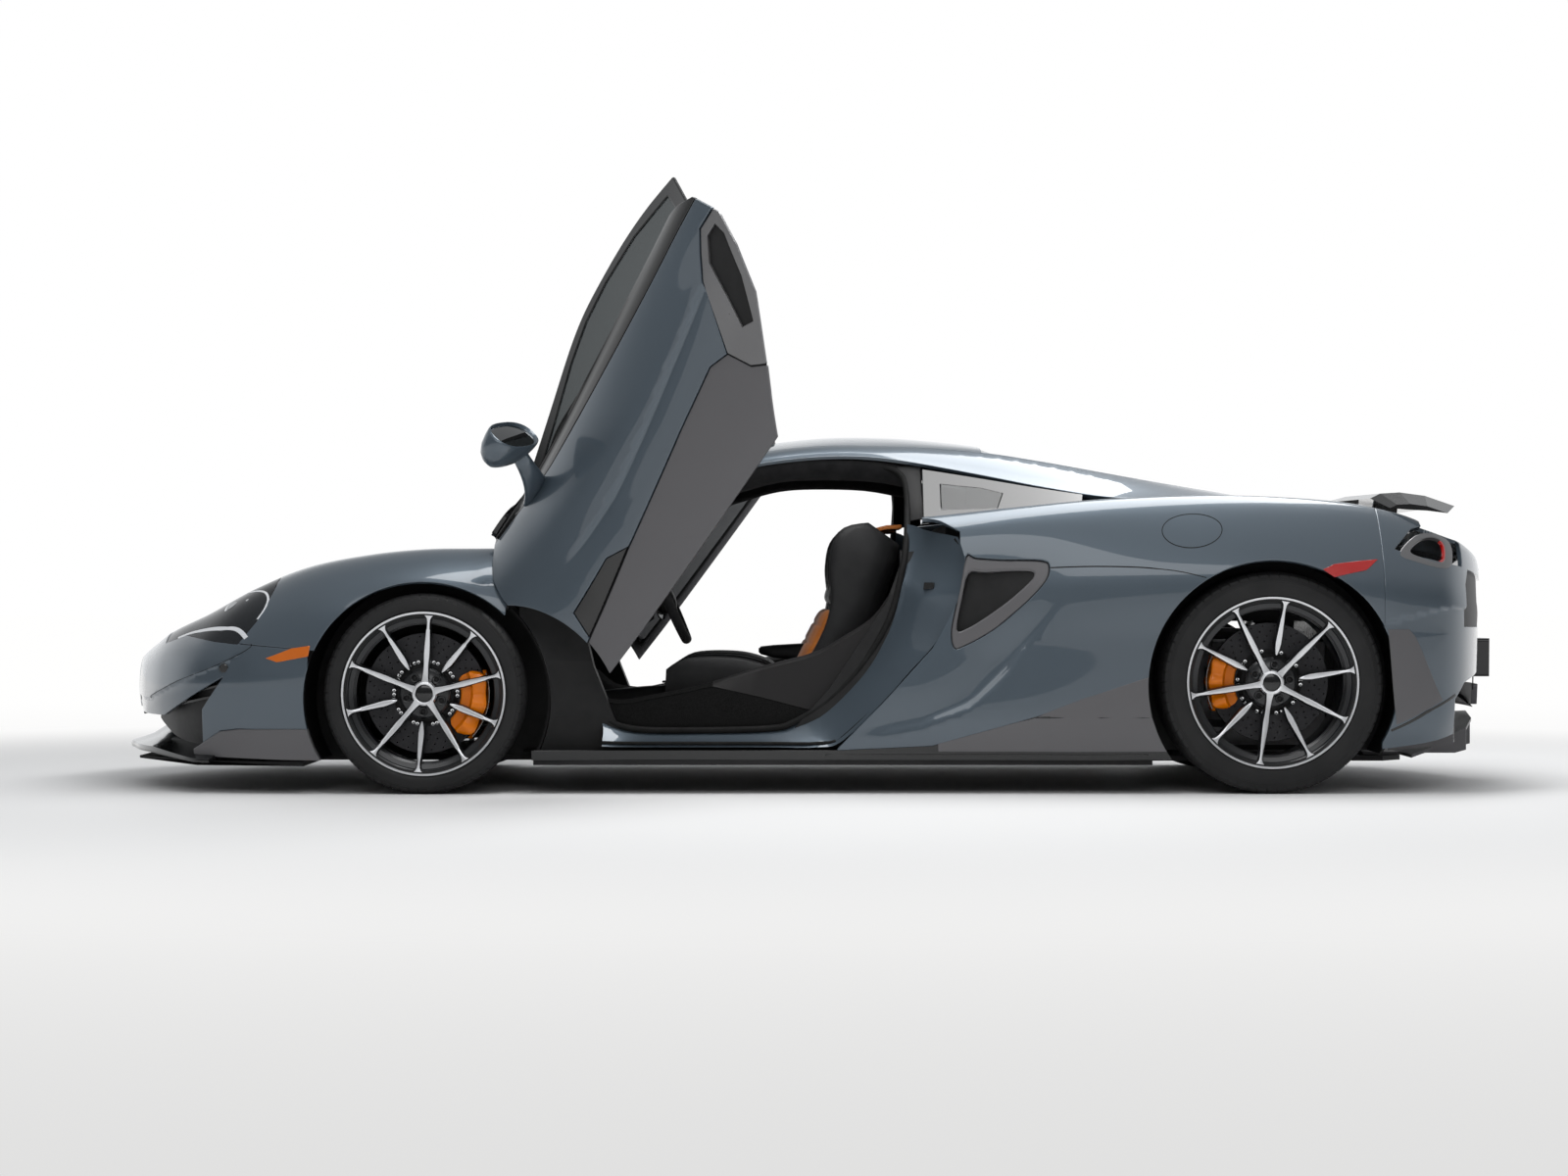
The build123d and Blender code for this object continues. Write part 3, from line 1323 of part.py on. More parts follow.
# ---------------------------------------------------------------- knuckles, uprights and arms
def build_upright(axle_x, track, wheel, disc_y, pin_y, side):
    """The upright with its stub axle, ball pins and caliper bracket."""
    z = wheel["tyre_r"]
    back_y = track - disc_y - 50 - SEAT_GAP
    with BuildPart() as upright:
        with BuildSketch(Plane.XZ.offset(pin_y - 22)):
            with Locations((axle_x, z)):
                RectangleRounded(120, 220, 30)
        extrude(amount=44)
        with BuildSketch(Plane.XZ.offset(pin_y)):
            with Locations((axle_x, z)):
                Circle(STUB_R)
        extrude(amount=track + wheel["tyre_w"] / 2 - 60 - pin_y)
        with BuildSketch(Plane.XY.offset(z - 165)):
            with Locations((axle_x, -pin_y)):
                Circle(10)
        extrude(amount=330)
        with BuildSketch(Plane.XZ.offset(pin_y - 22)):
            with Locations((axle_x + side * 110, z)):
                Rectangle(150, 90)
        extrude(amount=back_y - pin_y + 22)
    return upright.part


save_pair(build_upright(FRONT_AXLE_X, FRONT_HALF_TRACK, FRONT_WHEEL, FRONT_DISC_Y, KINGPIN_Y, 1), "knuckle")
rear_upright = build_upright(REAR_AXLE_X, REAR_HALF_TRACK, REAR_WHEEL, REAR_DISC_Y, REAR_PIN_Y, -1)
save(both(rear_upright), "rear_uprights")


def build_arms(axle_x, wheel, pin_y, inner_y):
    """Upper and lower wishbones on one side, with eyes round the ball pins."""
    z = wheel["tyre_r"]
    with BuildPart() as arms:
        for level in (z - 145, z + 145):
            with BuildSketch(Plane.XY.offset(level - 12)):
                with BuildLine():
                    Polyline(
                        (axle_x - 170, -inner_y), (axle_x - 130, -inner_y), (axle_x, -pin_y + 50),
                        (axle_x + 130, -inner_y), (axle_x + 170, -inner_y), (axle_x + 24, -pin_y),
                        (axle_x - 24, -pin_y), close=True,
                    )  # fmt: skip
                make_face()
                with Locations((axle_x, -pin_y)):
                    Circle(26)
                with Locations((axle_x, -pin_y)):
                    Circle(10 + PIN_GAP, mode=Mode.SUBTRACT)
            extrude(amount=24)
    return arms.part


front_arms = build_arms(FRONT_AXLE_X, FRONT_WHEEL, KINGPIN_Y, 395 + SEAT_GAP)
rear_arms = build_arms(REAR_AXLE_X, REAR_WHEEL, REAR_PIN_Y, 330 + SEAT_GAP)
save(both(front_arms) + both(rear_arms), "suspension_arms")
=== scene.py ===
"""Looks of a mid-engined supercar with raised doors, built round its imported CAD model.

Metres. X runs from nose to tail, Y to the car's right and Z up. The origin is on the floor below the
middle of the car. Left-hand pieces are on the -Y side, and most of them are mirrored to the right.
"""

import math

import bmesh
import bpy
import numpy as np
from mathutils import Matrix, Vector
from mathutils.geometry import delaunay_2d_cdt


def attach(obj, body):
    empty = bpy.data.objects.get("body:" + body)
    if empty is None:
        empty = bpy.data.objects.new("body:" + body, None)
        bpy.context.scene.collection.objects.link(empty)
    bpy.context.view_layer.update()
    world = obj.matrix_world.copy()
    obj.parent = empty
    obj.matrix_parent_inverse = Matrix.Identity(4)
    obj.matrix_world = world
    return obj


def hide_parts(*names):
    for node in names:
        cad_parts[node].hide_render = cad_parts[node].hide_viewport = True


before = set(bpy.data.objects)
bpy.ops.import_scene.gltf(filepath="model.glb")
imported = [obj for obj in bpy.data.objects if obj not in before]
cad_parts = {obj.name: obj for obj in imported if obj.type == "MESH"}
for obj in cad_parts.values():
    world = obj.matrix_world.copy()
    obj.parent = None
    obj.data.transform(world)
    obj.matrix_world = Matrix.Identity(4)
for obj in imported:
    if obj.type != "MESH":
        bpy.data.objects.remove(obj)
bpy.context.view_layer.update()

# ---------------------------------------------------------------- sizes shared with the part
FRONT_AXLE_X = -1.218
REAR_AXLE_X = 1.452
PANEL_WALL = 0.014
HINGE_POINT = Vector((-0.982, -0.804, 0.656))
HINGE_AXIS = Vector((-0.103, -0.851, -0.514))
DOOR_SWING = math.radians(58)
FRONT_ARCH = (-1.222, 0.296, 0.372)
REAR_ARCH = (1.452, 0.342, 0.394)

# Stations in millimetres: x, floor_z, sill_y, low_y, low_z, waist_y, waist_z, hip_y, hip_z, crest_y, crest_z,
# deck_y, deck_z, centre_z
BODY_MM = (
    (-2260, 250, 92, 108, 278, 116, 320, 104, 372, 80, 404, 50, 418, 422),
    (-2225, 222, 250, 288, 262, 306, 325, 280, 386, 216, 424, 130, 438, 444),
    (-2170, 185, 430, 488, 250, 515, 330, 478, 405, 370, 450, 240, 468, 476),
    (-2080, 140, 640, 700, 245, 726, 342, 680, 436, 540, 500, 365, 512, 520),
    (-1950, 118, 820, 864, 245, 884, 362, 830, 470, 655, 556, 445, 560, 566),
    (-1780, 110, 915, 938, 245, 948, 385, 886, 560, 722, 646, 505, 612, 610),
    (-1600, 105, 940, 956, 245, 963, 405, 922, 622, 762, 716, 545, 662, 648),
    (-1400, 104, 945, 960, 245, 966, 425, 938, 655, 790, 755, 565, 698, 682),
    (-1222, 104, 945, 960, 245, 966, 445, 940, 668, 800, 772, 590, 718, 708),
    (-1050, 106, 940, 952, 245, 960, 445, 932, 655, 800, 772, 620, 740, 736),
    (-900, 106, 925, 938, 240, 948, 435, 915, 630, 790, 766, 706, 768, 768),
    (-700, 106, 905, 918, 235, 918, 422, 888, 615, 782, 766, 690, 786, 790),
    (-450, 106, 900, 912, 235, 906, 412, 880, 612, 790, 782, 698, 800, 800),
    (-150, 106, 902, 912, 235, 906, 412, 882, 620, 812, 806, 704, 826, 826),
    (150, 106, 905, 918, 235, 910, 422, 892, 636, 836, 832, 706, 850, 850),
    (400, 106, 908, 926, 238, 918, 436, 908, 654, 856, 858, 704, 872, 872),
    (650, 106, 914, 936, 240, 932, 452, 926, 676, 868, 884, 700, 900, 896),
    (900, 106, 924, 948, 240, 950, 468, 948, 696, 862, 906, 690, 922, 892),
    (1200, 110, 934, 956, 240, 962, 486, 962, 714, 842, 922, 672, 930, 876),
    (1452, 118, 938, 958, 240, 965, 500, 964, 722, 822, 922, 655, 924, 856),
    (1700, 130, 930, 954, 242, 962, 505, 955, 712, 802, 906, 640, 902, 830),
    (1880, 148, 912, 938, 252, 948, 505, 932, 690, 780, 872, 624, 866, 804),
    (1990, 166, 872, 900, 270, 912, 505, 896, 668, 752, 832, 596, 828, 784),
    (2070, 190, 786, 822, 292, 838, 505, 822, 648, 704, 796, 560, 794, 764),
    (2130, 214, 656, 700, 312, 722, 505, 706, 632, 622, 764, 500, 764, 744),
    (2180, 232, 484, 528, 325, 552, 505, 540, 620, 486, 738, 400, 740, 726),
    (2225, 246, 270, 306, 335, 330, 505, 322, 610, 296, 712, 240, 716, 708),
)

# Stations in millimetres: x, rail_y, rail_z, shoulder_y, shoulder_z, mid_y, mid_z, top_z
CABIN_MM = (
    (-880, 704, 772, 640, 784, 350, 792, 796),
    (-700, 676, 846, 612, 872, 345, 892, 900),
    (-500, 640, 930, 578, 962, 335, 988, 998),
    (-300, 604, 1014, 545, 1050, 320, 1080, 1092),
    (-190, 588, 1048, 530, 1084, 312, 1114, 1126),
    (-60, 576, 1068, 518, 1104, 306, 1134, 1147),
    (80, 570, 1078, 508, 1114, 304, 1145, 1158),
    (210, 570, 1074, 500, 1113, 304, 1145, 1158),
    (350, 576, 1054, 495, 1108, 306, 1138, 1151),
    (560, 596, 1014, 488, 1092, 306, 1116, 1128),
    (750, 622, 976, 484, 1064, 306, 1080, 1090),
    (950, 650, 944, 484, 1028, 306, 1040, 1050),
    (1150, 664, 936, 490, 992, 306, 1000, 1010),
    (1350, 652, 932, 500, 958, 306, 960, 970),
    (1500, 640, 924, 505, 932, 306, 930, 930),
    (1700, 628, 902, 508, 904, 306, 900, 900),
    (1960, 606, 850, 508, 848, 306, 846, 846),
)

BODY = np.array(BODY_MM) / 1000
CABIN = np.array(CABIN_MM) / 1000

BODY_V = (0.0, 0.14, 0.33, 0.58, 0.76, 0.92, 1.55)  # panel coordinate of sill, low, waist, hip, crest, deck, centre
SILL_V, LOW_V, WAIST_V, HIP_V, CREST_V, DECK_V, CENTRE_V = BODY_V
CABIN_V = (0.0, 0.08, 0.3, 0.6)  # of rail, shoulder, mid and top
RAIL_V, SHOULDER_V, MID_V, TOP_V = CABIN_V


# ---------------------------------------------------------------- curved surfaces
def between_stations(table, x):
    """Rows of a station table at each x, by cubic interpolation."""
    data = np.array(table)
    xs, rows = data[:, 0], data[:, 1:]
    slopes = np.empty_like(rows)
    slopes[1:-1] = (rows[2:] - rows[:-2]) / (xs[2:] - xs[:-2])[:, None]
    slopes[0] = (rows[1] - rows[0]) / (xs[1] - xs[0])
    slopes[-1] = (rows[-1] - rows[-2]) / (xs[-1] - xs[-2])
    x = np.clip(x, xs[0], xs[-1])
    k = np.clip(np.searchsorted(xs, x) - 1, 0, len(xs) - 2)
    span = (xs[k + 1] - xs[k])[:, None]
    t = (x - xs[k])[:, None] / span
    return (
        (2 * t**3 - 3 * t**2 + 1) * rows[k]
        + (t**3 - 2 * t**2 + t) * slopes[k] * span
        + (3 * t**2 - 2 * t**3) * rows[k + 1]
        + (t**3 - t**2) * slopes[k + 1] * span
    )


def along_section(rails, values, v):
    """Points of smooth section curves: rails is (n, rails, 2), values the rails' panel coordinates."""
    s = np.interp(v, values, np.arange(len(values)))
    i = np.clip(s.astype(int), 0, len(values) - 2)
    f = (s - i)[:, None]
    n = np.arange(len(v))
    past_middle = rails[:, -2:-1] * np.array([-1, 1])
    padded = np.concatenate([rails[:, :1], rails, past_middle], axis=1)
    p0, p1, p2, p3 = (padded[n, i + k] for k in range(4))
    return 0.5 * (
        2 * p1 + (p2 - p0) * f + (2 * p0 - 5 * p1 + 4 * p2 - p3) * f**2 + (3 * p1 - p0 - 3 * p2 + p3) * f**3
    )


def body_surface(x, v):
    """Points of the lower body at x and panel coordinate v; past the middle they are on the right."""
    x, v = np.atleast_1d(x).astype(float), np.atleast_1d(v).astype(float)
    right = v > CENTRE_V
    v = np.where(right, 2 * CENTRE_V - v, v)
    r = between_stations(BODY, x)
    ys = np.stack([-r[:, 1], -r[:, 2], -r[:, 4], -r[:, 6], -r[:, 8], -r[:, 10], 0 * x], axis=1)
    zs = np.stack([r[:, 0], r[:, 3], r[:, 5], r[:, 7], r[:, 9], r[:, 11], r[:, 12]], axis=1)
    yz = along_section(np.stack([ys, zs], axis=2), BODY_V, v)
    return np.stack([x, np.where(right, -yz[:, 0], yz[:, 0]), yz[:, 1]], axis=1)


def cabin_surface(x, v):
    """Points of the greenhouse, from the roof rail to the middle and on to the right."""
    x, v = np.atleast_1d(x).astype(float), np.atleast_1d(v).astype(float)
    right = v > TOP_V
    v = np.where(right, 2 * TOP_V - v, v)
    r = between_stations(CABIN, x)
    ys = np.stack([-r[:, 0], -r[:, 2], -r[:, 4], 0 * x], axis=1)
    zs = np.stack([r[:, 1], r[:, 3], r[:, 5], r[:, 6]], axis=1)
    yz = along_section(np.stack([ys, zs], axis=2), CABIN_V, v)
    return np.stack([x, np.where(right, -yz[:, 0], yz[:, 0]), yz[:, 1]], axis=1)


# ---------------------------------------------------------------- panels
def dense(points, step=0.012):
    """A closed outline with points added along its sides."""
    out = []
    for a, b in zip(points, list(points[1:]) + [points[0]]):
        count = max(1, math.ceil(math.dist(a, b) / step))
        out += [tuple(p + (q - p) * k / count for p, q in zip(a, b)) for k in range(count)]
    return out


def circle(x, z, r, count=120):
    return [(x + r * math.cos(2 * math.pi * k / count),
             z + r * math.sin(2 * math.pi * k / count)) for k in range(count)]


def on_side(points, surface=body_surface, values=(SILL_V, CREST_V)):
    """Side-view (x, z) points as (x, v) on the body's flank."""
    points = dense(points)
    levels = np.linspace(values[0], values[1], 90)
    out = []
    for x, z in points:
        heights = surface(np.full(90, x), levels)[:, 2]
        heights = np.maximum.accumulate(heights)
        if z > heights[-1]:
            out.append((x, values[1] + (z - heights[-1])))
        elif z < heights[0]:
            out.append((x, values[0] - (heights[0] - z)))
        else:
            out.append((x, float(np.interp(z, heights, levels))))
    return out


def inside(points, loops):
    """Which points lie inside an odd number of the closed loops."""
    points = np.asarray(points)
    odd = np.zeros(len(points), bool)
    for loop in loops:
        a = np.asarray(loop)
        b = np.roll(a, -1, axis=0)
        for (x1, y1), (x2, y2) in zip(a, b):
            if y1 != y2:
                crosses = (y1 > points[:, 1]) != (y2 > points[:, 1])
                odd ^= crosses & (points[:, 0] < (x2 - x1) * (points[:, 1] - y1) / (y2 - y1) + x1)
    return odd


def triangulate(loops, extra=()):
    """Triangles of the convex hull of some loops and points, with the loops' sides kept as edges."""
    coords, edges = [], []
    for loop in loops:
        start = len(coords)
        coords += [Vector(p) for p in loop]
        edges += [(start + k, start + (k + 1) % len(loop)) for k in range(len(loop))]
    coords += [Vector(p) for p in extra]
    found, _, faces, _, _, _ = delaunay_2d_cdt(coords, edges, [], 0, 1e-6)
    return np.array([tuple(p) for p in found]), np.array([tuple(f) for f in faces if len(f) == 3])


def trim(outline, cutters, keep=()):
    """Loops round what is left of an outline inside each of keep and outside the cutters."""
    coords, faces = triangulate([outline, *cutters, *keep])
    centres = coords[faces].mean(axis=1)
    kept = inside(centres, [outline])
    for cutter in cutters:
        kept &= ~inside(centres, [cutter])
    for other in keep:
        kept &= inside(centres, [other])
    count = {}
    for a, b, c in faces[kept]:
        for pair in ((a, b), (b, c), (c, a)):
            count[pair] = 1
    follow = {a: b for a, b in count if (b, a) not in count}
    loops = []
    while follow:
        start, at = next(iter(follow.items()))
        del follow[start]
        loop = [start]
        while at != start and at in follow:
            loop.append(at)
            at = follow.pop(at)
        loops.append([tuple(coords[k]) for k in loop])
    return [loop for loop in loops if len(loop) > 3]


def shrink(loop, amount):
    """A loop moved to its left, which is the inside of a region whose loops come from trim."""
    a = np.asarray(loop)
    ahead = np.roll(a, -1, axis=0) - a
    ahead /= np.maximum(np.linalg.norm(ahead, axis=1), 1e-9)[:, None]
    behind = np.roll(ahead, 1, axis=0)
    normal = np.stack([-(ahead + behind)[:, 1], (ahead + behind)[:, 0]], axis=1)
    size = np.maximum((normal**2).sum(axis=1), 1.0)
    return a + normal * (2 * amount / size)[:, None]


def mesh_object(name, points, faces, material=None, normals=None):
    mesh = bpy.data.meshes.new(name)
    mesh.from_pydata([tuple(p) for p in points], [], [tuple(int(k) for k in f) for f in faces])
    mesh.validate()
    mesh.shade_smooth()
    if normals is not None:
        mesh.normals_split_custom_set_from_vertices([tuple(n) for n in normals])
    obj = bpy.data.objects.new(name, mesh)
    bpy.context.scene.collection.objects.link(obj)
    if material:
        mesh.materials.append(material)
    return obj


def surface_normals(surface, x, v):
    h = 0.002
    dx = surface(x + h, v) - surface(x - h, v)
    dv = surface(x, v + h) - surface(x, v - h)
    n = np.cross(dx, dv)
    return n / np.maximum(np.linalg.norm(n, axis=1), 1e-12)[:, None]


def panel(name, surface, loops, wall=PANEL_WALL, cell=0.022, roll=0.0016, depth=0.0, material=None, relief=None,
          creases=()):
    """A skin with its wall and rolled edges, inside loops of (x, v) points. relief(x, v) sinks the surface;
    creases are rows of points that keep a sharp relief crisp."""
    rings = [shrink(loop, 1.6 * roll) for loop in loops]
    allpts = np.concatenate([np.asarray(loop) for loop in loops])
    low, high = allpts.min(axis=0), allpts.max(axis=0)
    gx, gy = np.meshgrid(np.arange(low[0] + cell / 2, high[0], cell), np.arange(low[1] + cell / 2, high[1], cell))
    gx[1::2] += cell / 2
    grid = np.stack([gx.ravel(), gy.ravel()], axis=1)
    grid = grid[inside(grid, rings)]
    border = np.concatenate(rings)
    near = np.array([((border - p) ** 2).sum(axis=1).min() for p in grid]) if len(grid) else np.zeros(0)
    grid = grid[near > (0.45 * cell) ** 2]
    for crease in creases:
        reach = crease[-1][0] - crease[0][0]
        xs = np.linspace(crease[0][0], crease[-1][0], max(2, int(reach / 0.008)))
        row = np.stack([xs, np.interp(xs, [p[0] for p in crease], [p[1] for p in crease])], axis=1)
        row = row[inside(row, rings)]
        if len(row):
            apart = np.array([((row - p) ** 2).sum(axis=1).min() for p in grid])
            grid = np.concatenate([grid[apart > 0.0055**2], row])
    coords, faces = triangulate([*loops, *rings], grid)
    centres = coords[faces].mean(axis=1)
    faces = faces[inside(centres, loops)]
    x, v = coords[:, 0], coords[:, 1]
    points = surface(x, v)
    normals = surface_normals(surface, x, v)
    sunk = np.full(len(points), depth)
    if relief:
        sunk = sunk + relief(x, v)
        h = 0.003
        moved = [surface(x + a, v + b) - surface_normals(surface, x + a, v + b) * (depth + relief(x + a, v + b))[:,
            None]
                 for a, b in ((h, 0), (-h, 0), (0, h), (0, -h))]
        shaded = np.cross(moved[0] - moved[1], moved[2] - moved[3])
        shaded /= np.maximum(np.linalg.norm(shaded, axis=1), 1e-12)[:, None]
    else:
        shaded = normals
    edges = {}
    for a, b, c in faces:
        for pair in ((a, b), (b, c), (c, a)):
            edges[pair] = True
    border_edges = [(a, b) for a, b in edges if (b, a) not in edges]
    outward = np.zeros_like(points)
    edge = np.zeros(len(points), bool)
    for a, b in border_edges:
        edge[[a, b]] = True
        side = np.cross(points[b] - points[a], normals[a])
        side /= max(np.linalg.norm(side), 1e-12)
        outward[a] += side
        outward[b] += side
    outward /= np.maximum(np.linalg.norm(outward, axis=1), 1e-9)[:, None]
    outer = points - normals * (sunk + roll * edge)[:, None]
    inner = points - normals * (sunk + wall)[:, None]
    outer_n = shaded + outward * 0.9 * edge[:, None]
    outer_n /= np.linalg.norm(outer_n, axis=1)[:, None]
    rim = np.nonzero(edge)[0]
    place = {int(k): i for i, k in enumerate(rim)}
    n = len(points)
    verts = np.concatenate([outer, inner, outer[rim], inner[rim]])
    norms = np.concatenate([outer_n, -shaded, outward[rim], outward[rim]])
    tris = [tuple(f) for f in faces] + [tuple(f[::-1] + n) for f in faces]
    for a, b in border_edges:
        i, j = 2 * n + place[a], 2 * n + place[b]
        tris.append((j, i, i + len(rim), j + len(rim)))
    used = np.zeros(len(verts), bool)
    for f in tris:
        used[list(f)] = True
    back = np.cumsum(used) - 1
    return mesh_object(name, verts[used], [[back[k] for k in f] for f in tris], material, norms[used])


def mirrored_copy(obj, name):
    """The same piece on the car's other side."""
    source = obj.data
    count = len(source.vertices)
    points = np.empty(count * 3)
    source.vertices.foreach_get("co", points)
    points = points.reshape(-1, 3) * (1, -1, 1)
    normals = np.zeros((count, 3))
    for loop, corner in zip(source.loops, source.corner_normals):
        normals[loop.vertex_index] = corner.vector
    faces = [list(reversed(p.vertices)) for p in source.polygons]
    made = mesh_object(name, points, faces, None, normals * (1, -1, 1) if source.has_custom_normals else None)
    for material in source.materials:
        made.data.materials.append(material)
    for made_face, face in zip(made.data.polygons, source.polygons):
        made_face.material_index = face.material_index
    return made


def on_both_sides(obj, base, left_body, right_body, slot, replaced=None):
    """Names and rides a left piece and its mirrored copy, which stand for their CAD nodes."""
    right = mirrored_copy(obj, base + "_r")
    for piece, body, side in ((obj, left_body, "left"), (right, right_body, "right")):
        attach(piece, body)
        if replaced:
            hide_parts(*[r.replace("*", side) for r in replaced])
    return obj, right


def raise_door(obj):
    """Turns a closed left door piece to its open place, about the hinge axis."""
    turn = Matrix.Translation(HINGE_POINT) @ Matrix.Rotation(DOOR_SWING, 4,
                                                             HINGE_AXIS) @ Matrix.Translation(-HINGE_POINT)
    count = len(obj.data.vertices)
    normals = np.zeros((count, 3))
    if obj.data.has_custom_normals:
        for loop, corner in zip(obj.data.loops, obj.data.corner_normals):
            normals[loop.vertex_index] = corner.vector
    custom = obj.data.has_custom_normals
    obj.data.transform(turn)
    if custom:
        spin = np.array(turn.to_3x3())
        obj.data.normals_split_custom_set_from_vertices([tuple(n) for n in normals @ spin.T])
    return obj


# ---------------------------------------------------------------- materials
def material(name, color, roughness=0.5, metallic=0.0, **sockets):
    mat = bpy.data.materials.new(name)
    mat.use_nodes = True
    bsdf = mat.node_tree.nodes["Principled BSDF"]
    bsdf.inputs["Base Color"].default_value = (*color, 1)
    bsdf.inputs["Roughness"].default_value = roughness
    bsdf.inputs["Metallic"].default_value = metallic
    for key, value in sockets.items():
        bsdf.inputs[key.replace("_", " ")].default_value = value
    return mat


def add_bump(mat, scale, strength, distance=0.001, kind="ShaderNodeTexNoise", detail=4.0):
    """Bump from a texture laid in object space, scale in features a metre."""
    nodes, links = mat.node_tree.nodes, mat.node_tree.links
    bsdf = nodes["Principled BSDF"]
    place = nodes.new("ShaderNodeTexCoord")
    tex = nodes.new(kind)
    tex.inputs["Scale"].default_value = scale
    if "Detail" in tex.inputs:
        tex.inputs["Detail"].default_value = detail
    links.new(place.outputs["Object"], tex.inputs["Vector"])
    bump = nodes.new("ShaderNodeBump")
    bump.inputs["Strength"].default_value = strength
    bump.inputs["Distance"].default_value = distance
    height = tex.outputs["Distance"] if "Distance" in tex.outputs else tex.outputs[0]
    links.new(height, bump.inputs["Height"])
    if bsdf.inputs["Normal"].is_linked:
        links.new(bsdf.inputs["Normal"].links[0].from_socket, bump.inputs["Normal"])
    links.new(bump.outputs["Normal"], bsdf.inputs["Normal"])


def vary(mat, dark, light, scale=6.0, detail=5.0, socket="Base Color"):
    """Slow colour or roughness variation between two values."""
    nodes, links = mat.node_tree.nodes, mat.node_tree.links
    place = nodes.new("ShaderNodeTexCoord")
    noise = nodes.new("ShaderNodeTexNoise")
    noise.inputs["Scale"].default_value = scale
    noise.inputs["Detail"].default_value = detail
    links.new(place.outputs["Object"], noise.inputs["Vector"])
    if socket == "Base Color":
        ramp = nodes.new("ShaderNodeValToRGB")
        ramp.color_ramp.elements[0].position = 0.3
        ramp.color_ramp.elements[0].color = (*dark, 1)
        ramp.color_ramp.elements[1].position = 0.7
        ramp.color_ramp.elements[1].color = (*light, 1)
        links.new(noise.outputs["Fac"], ramp.inputs["Fac"])
        links.new(ramp.outputs["Color"], nodes["Principled BSDF"].inputs["Base Color"])
    else:
        span = nodes.new("ShaderNodeMapRange")
        span.inputs["To Min"].default_value = dark
        span.inputs["To Max"].default_value = light
        links.new(noise.outputs["Fac"], span.inputs["Value"])
        links.new(span.outputs["Result"], nodes["Principled BSDF"].inputs[socket])


PAINT = material("body_paint", (0.078, 0.104, 0.13), 0.34, 0.5, Coat_Weight=1.0, Coat_Roughness=0.03)
add_bump(PAINT, 900.0, 0.06, 0.0004, detail=2.0)
vary(PAINT, 0.33, 0.42, 3.0, 4.0, "Roughness")
GLOSS_BLACK = material("gloss_black", (0.008, 0.0085, 0.009), 0.14, 0.0, Coat_Weight=0.3, Coat_Roughness=0.04)
add_bump(GLOSS_BLACK, 700.0, 0.02, 0.0003)
SATIN = material("satin_trim", (0.13, 0.128, 0.134), 0.42, 0.35)
vary(SATIN, 0.36, 0.48, 9.0, 4.0, "Roughness")
add_bump(SATIN, 1400.0, 0.12, 0.0004)
BLACK_TRIM = material("black_trim", (0.012, 0.012, 0.0125), 0.55, Specular_IOR_Level=0.3)
vary(BLACK_TRIM, (0.010, 0.010, 0.0105), (0.016, 0.016, 0.0165), 14.0)
add_bump(BLACK_TRIM, 1100.0, 0.2, 0.0005)
SEAL = material("rubber_seal", (0.010, 0.010, 0.010), 0.72, Specular_IOR_Level=0.2)
vary(SEAL, (0.008, 0.008, 0.008), (0.014, 0.014, 0.014), 30.0)
GLASS = material("window_glass", (0.05, 0.058, 0.06), 0.02, 0.0, Transmission_Weight=0.92, IOR=1.45)
add_bump(GLASS, 3.0, 0.02, 0.002, detail=1.0)
LEATHER = material("black_leather", (0.013, 0.013, 0.014), 0.5, 0.0, Sheen_Weight=0.05, Specular_IOR_Level=0.35)
vary(LEATHER, (0.011, 0.011, 0.012), (0.018, 0.018, 0.019), 18.0)
add_bump(LEATHER, 420.0, 0.35, 0.0008, "ShaderNodeTexVoronoi")
SUEDE = material("black_suede", (0.014, 0.014, 0.015), 0.9, 0.0, Sheen_Weight=0.12, Specular_IOR_Level=0.1)
vary(SUEDE, (0.014, 0.014, 0.015), (0.024, 0.024, 0.025), 26.0)
add_bump(SUEDE, 1500.0, 0.4, 0.0006)
ORANGE = material("orange_leather", (0.56, 0.165, 0.018), 0.6, 0.0, Sheen_Weight=0.2)
vary(ORANGE, (0.50, 0.14, 0.014), (0.60, 0.185, 0.022), 22.0)
add_bump(ORANGE, 500.0, 0.35, 0.0007, "ShaderNodeTexVoronoi")
CARPET = material("carpet", (0.012, 0.012, 0.012), 0.95, Specular_IOR_Level=0.05)
vary(CARPET, (0.008, 0.008, 0.008), (0.02, 0.02, 0.02), 300.0)
add_bump(CARPET, 900.0, 0.8, 0.002)
SPOKE_FACE = material("machined_face", (0.78, 0.79, 0.81), 0.3, 0.85)
vary(SPOKE_FACE, 0.26, 0.38, 40.0, 6.0, "Roughness")
add_bump(SPOKE_FACE, 260.0, 0.12, 0.0003)
RIM_DARK = material("rim_dark", (0.02, 0.021, 0.023), 0.32, 0.4, Coat_Weight=0.4, Coat_Roughness=0.15)
vary(RIM_DARK, 0.26, 0.36, 12.0, 3.0, "Roughness")
TYRE = material("tyre_rubber", (0.013, 0.013, 0.0135), 0.6, Specular_IOR_Level=0.35)
vary(TYRE, (0.009, 0.009, 0.0095), (0.016, 0.016, 0.0165), 9.0)
add_bump(TYRE, 500.0, 0.25, 0.0006)
DISC = material("brake_disc", (0.035, 0.035, 0.038), 0.42, 0.6)
vary(DISC, 0.36, 0.5, 60.0, 6.0, "Roughness")
CALIPER = material("caliper_orange", (0.82, 0.2, 0.0), 0.36, 0.0, Coat_Weight=0.15, Coat_Roughness=0.1,
                   Specular_IOR_Level=0.3)
vary(CALIPER, 0.26, 0.36, 30.0, 3.0, "Roughness")
add_bump(CALIPER, 300.0, 0.1, 0.0006)
METAL = material("cast_metal", (0.32, 0.32, 0.33), 0.42, 0.9)
vary(METAL, 0.34, 0.5, 26.0, 4.0, "Roughness")
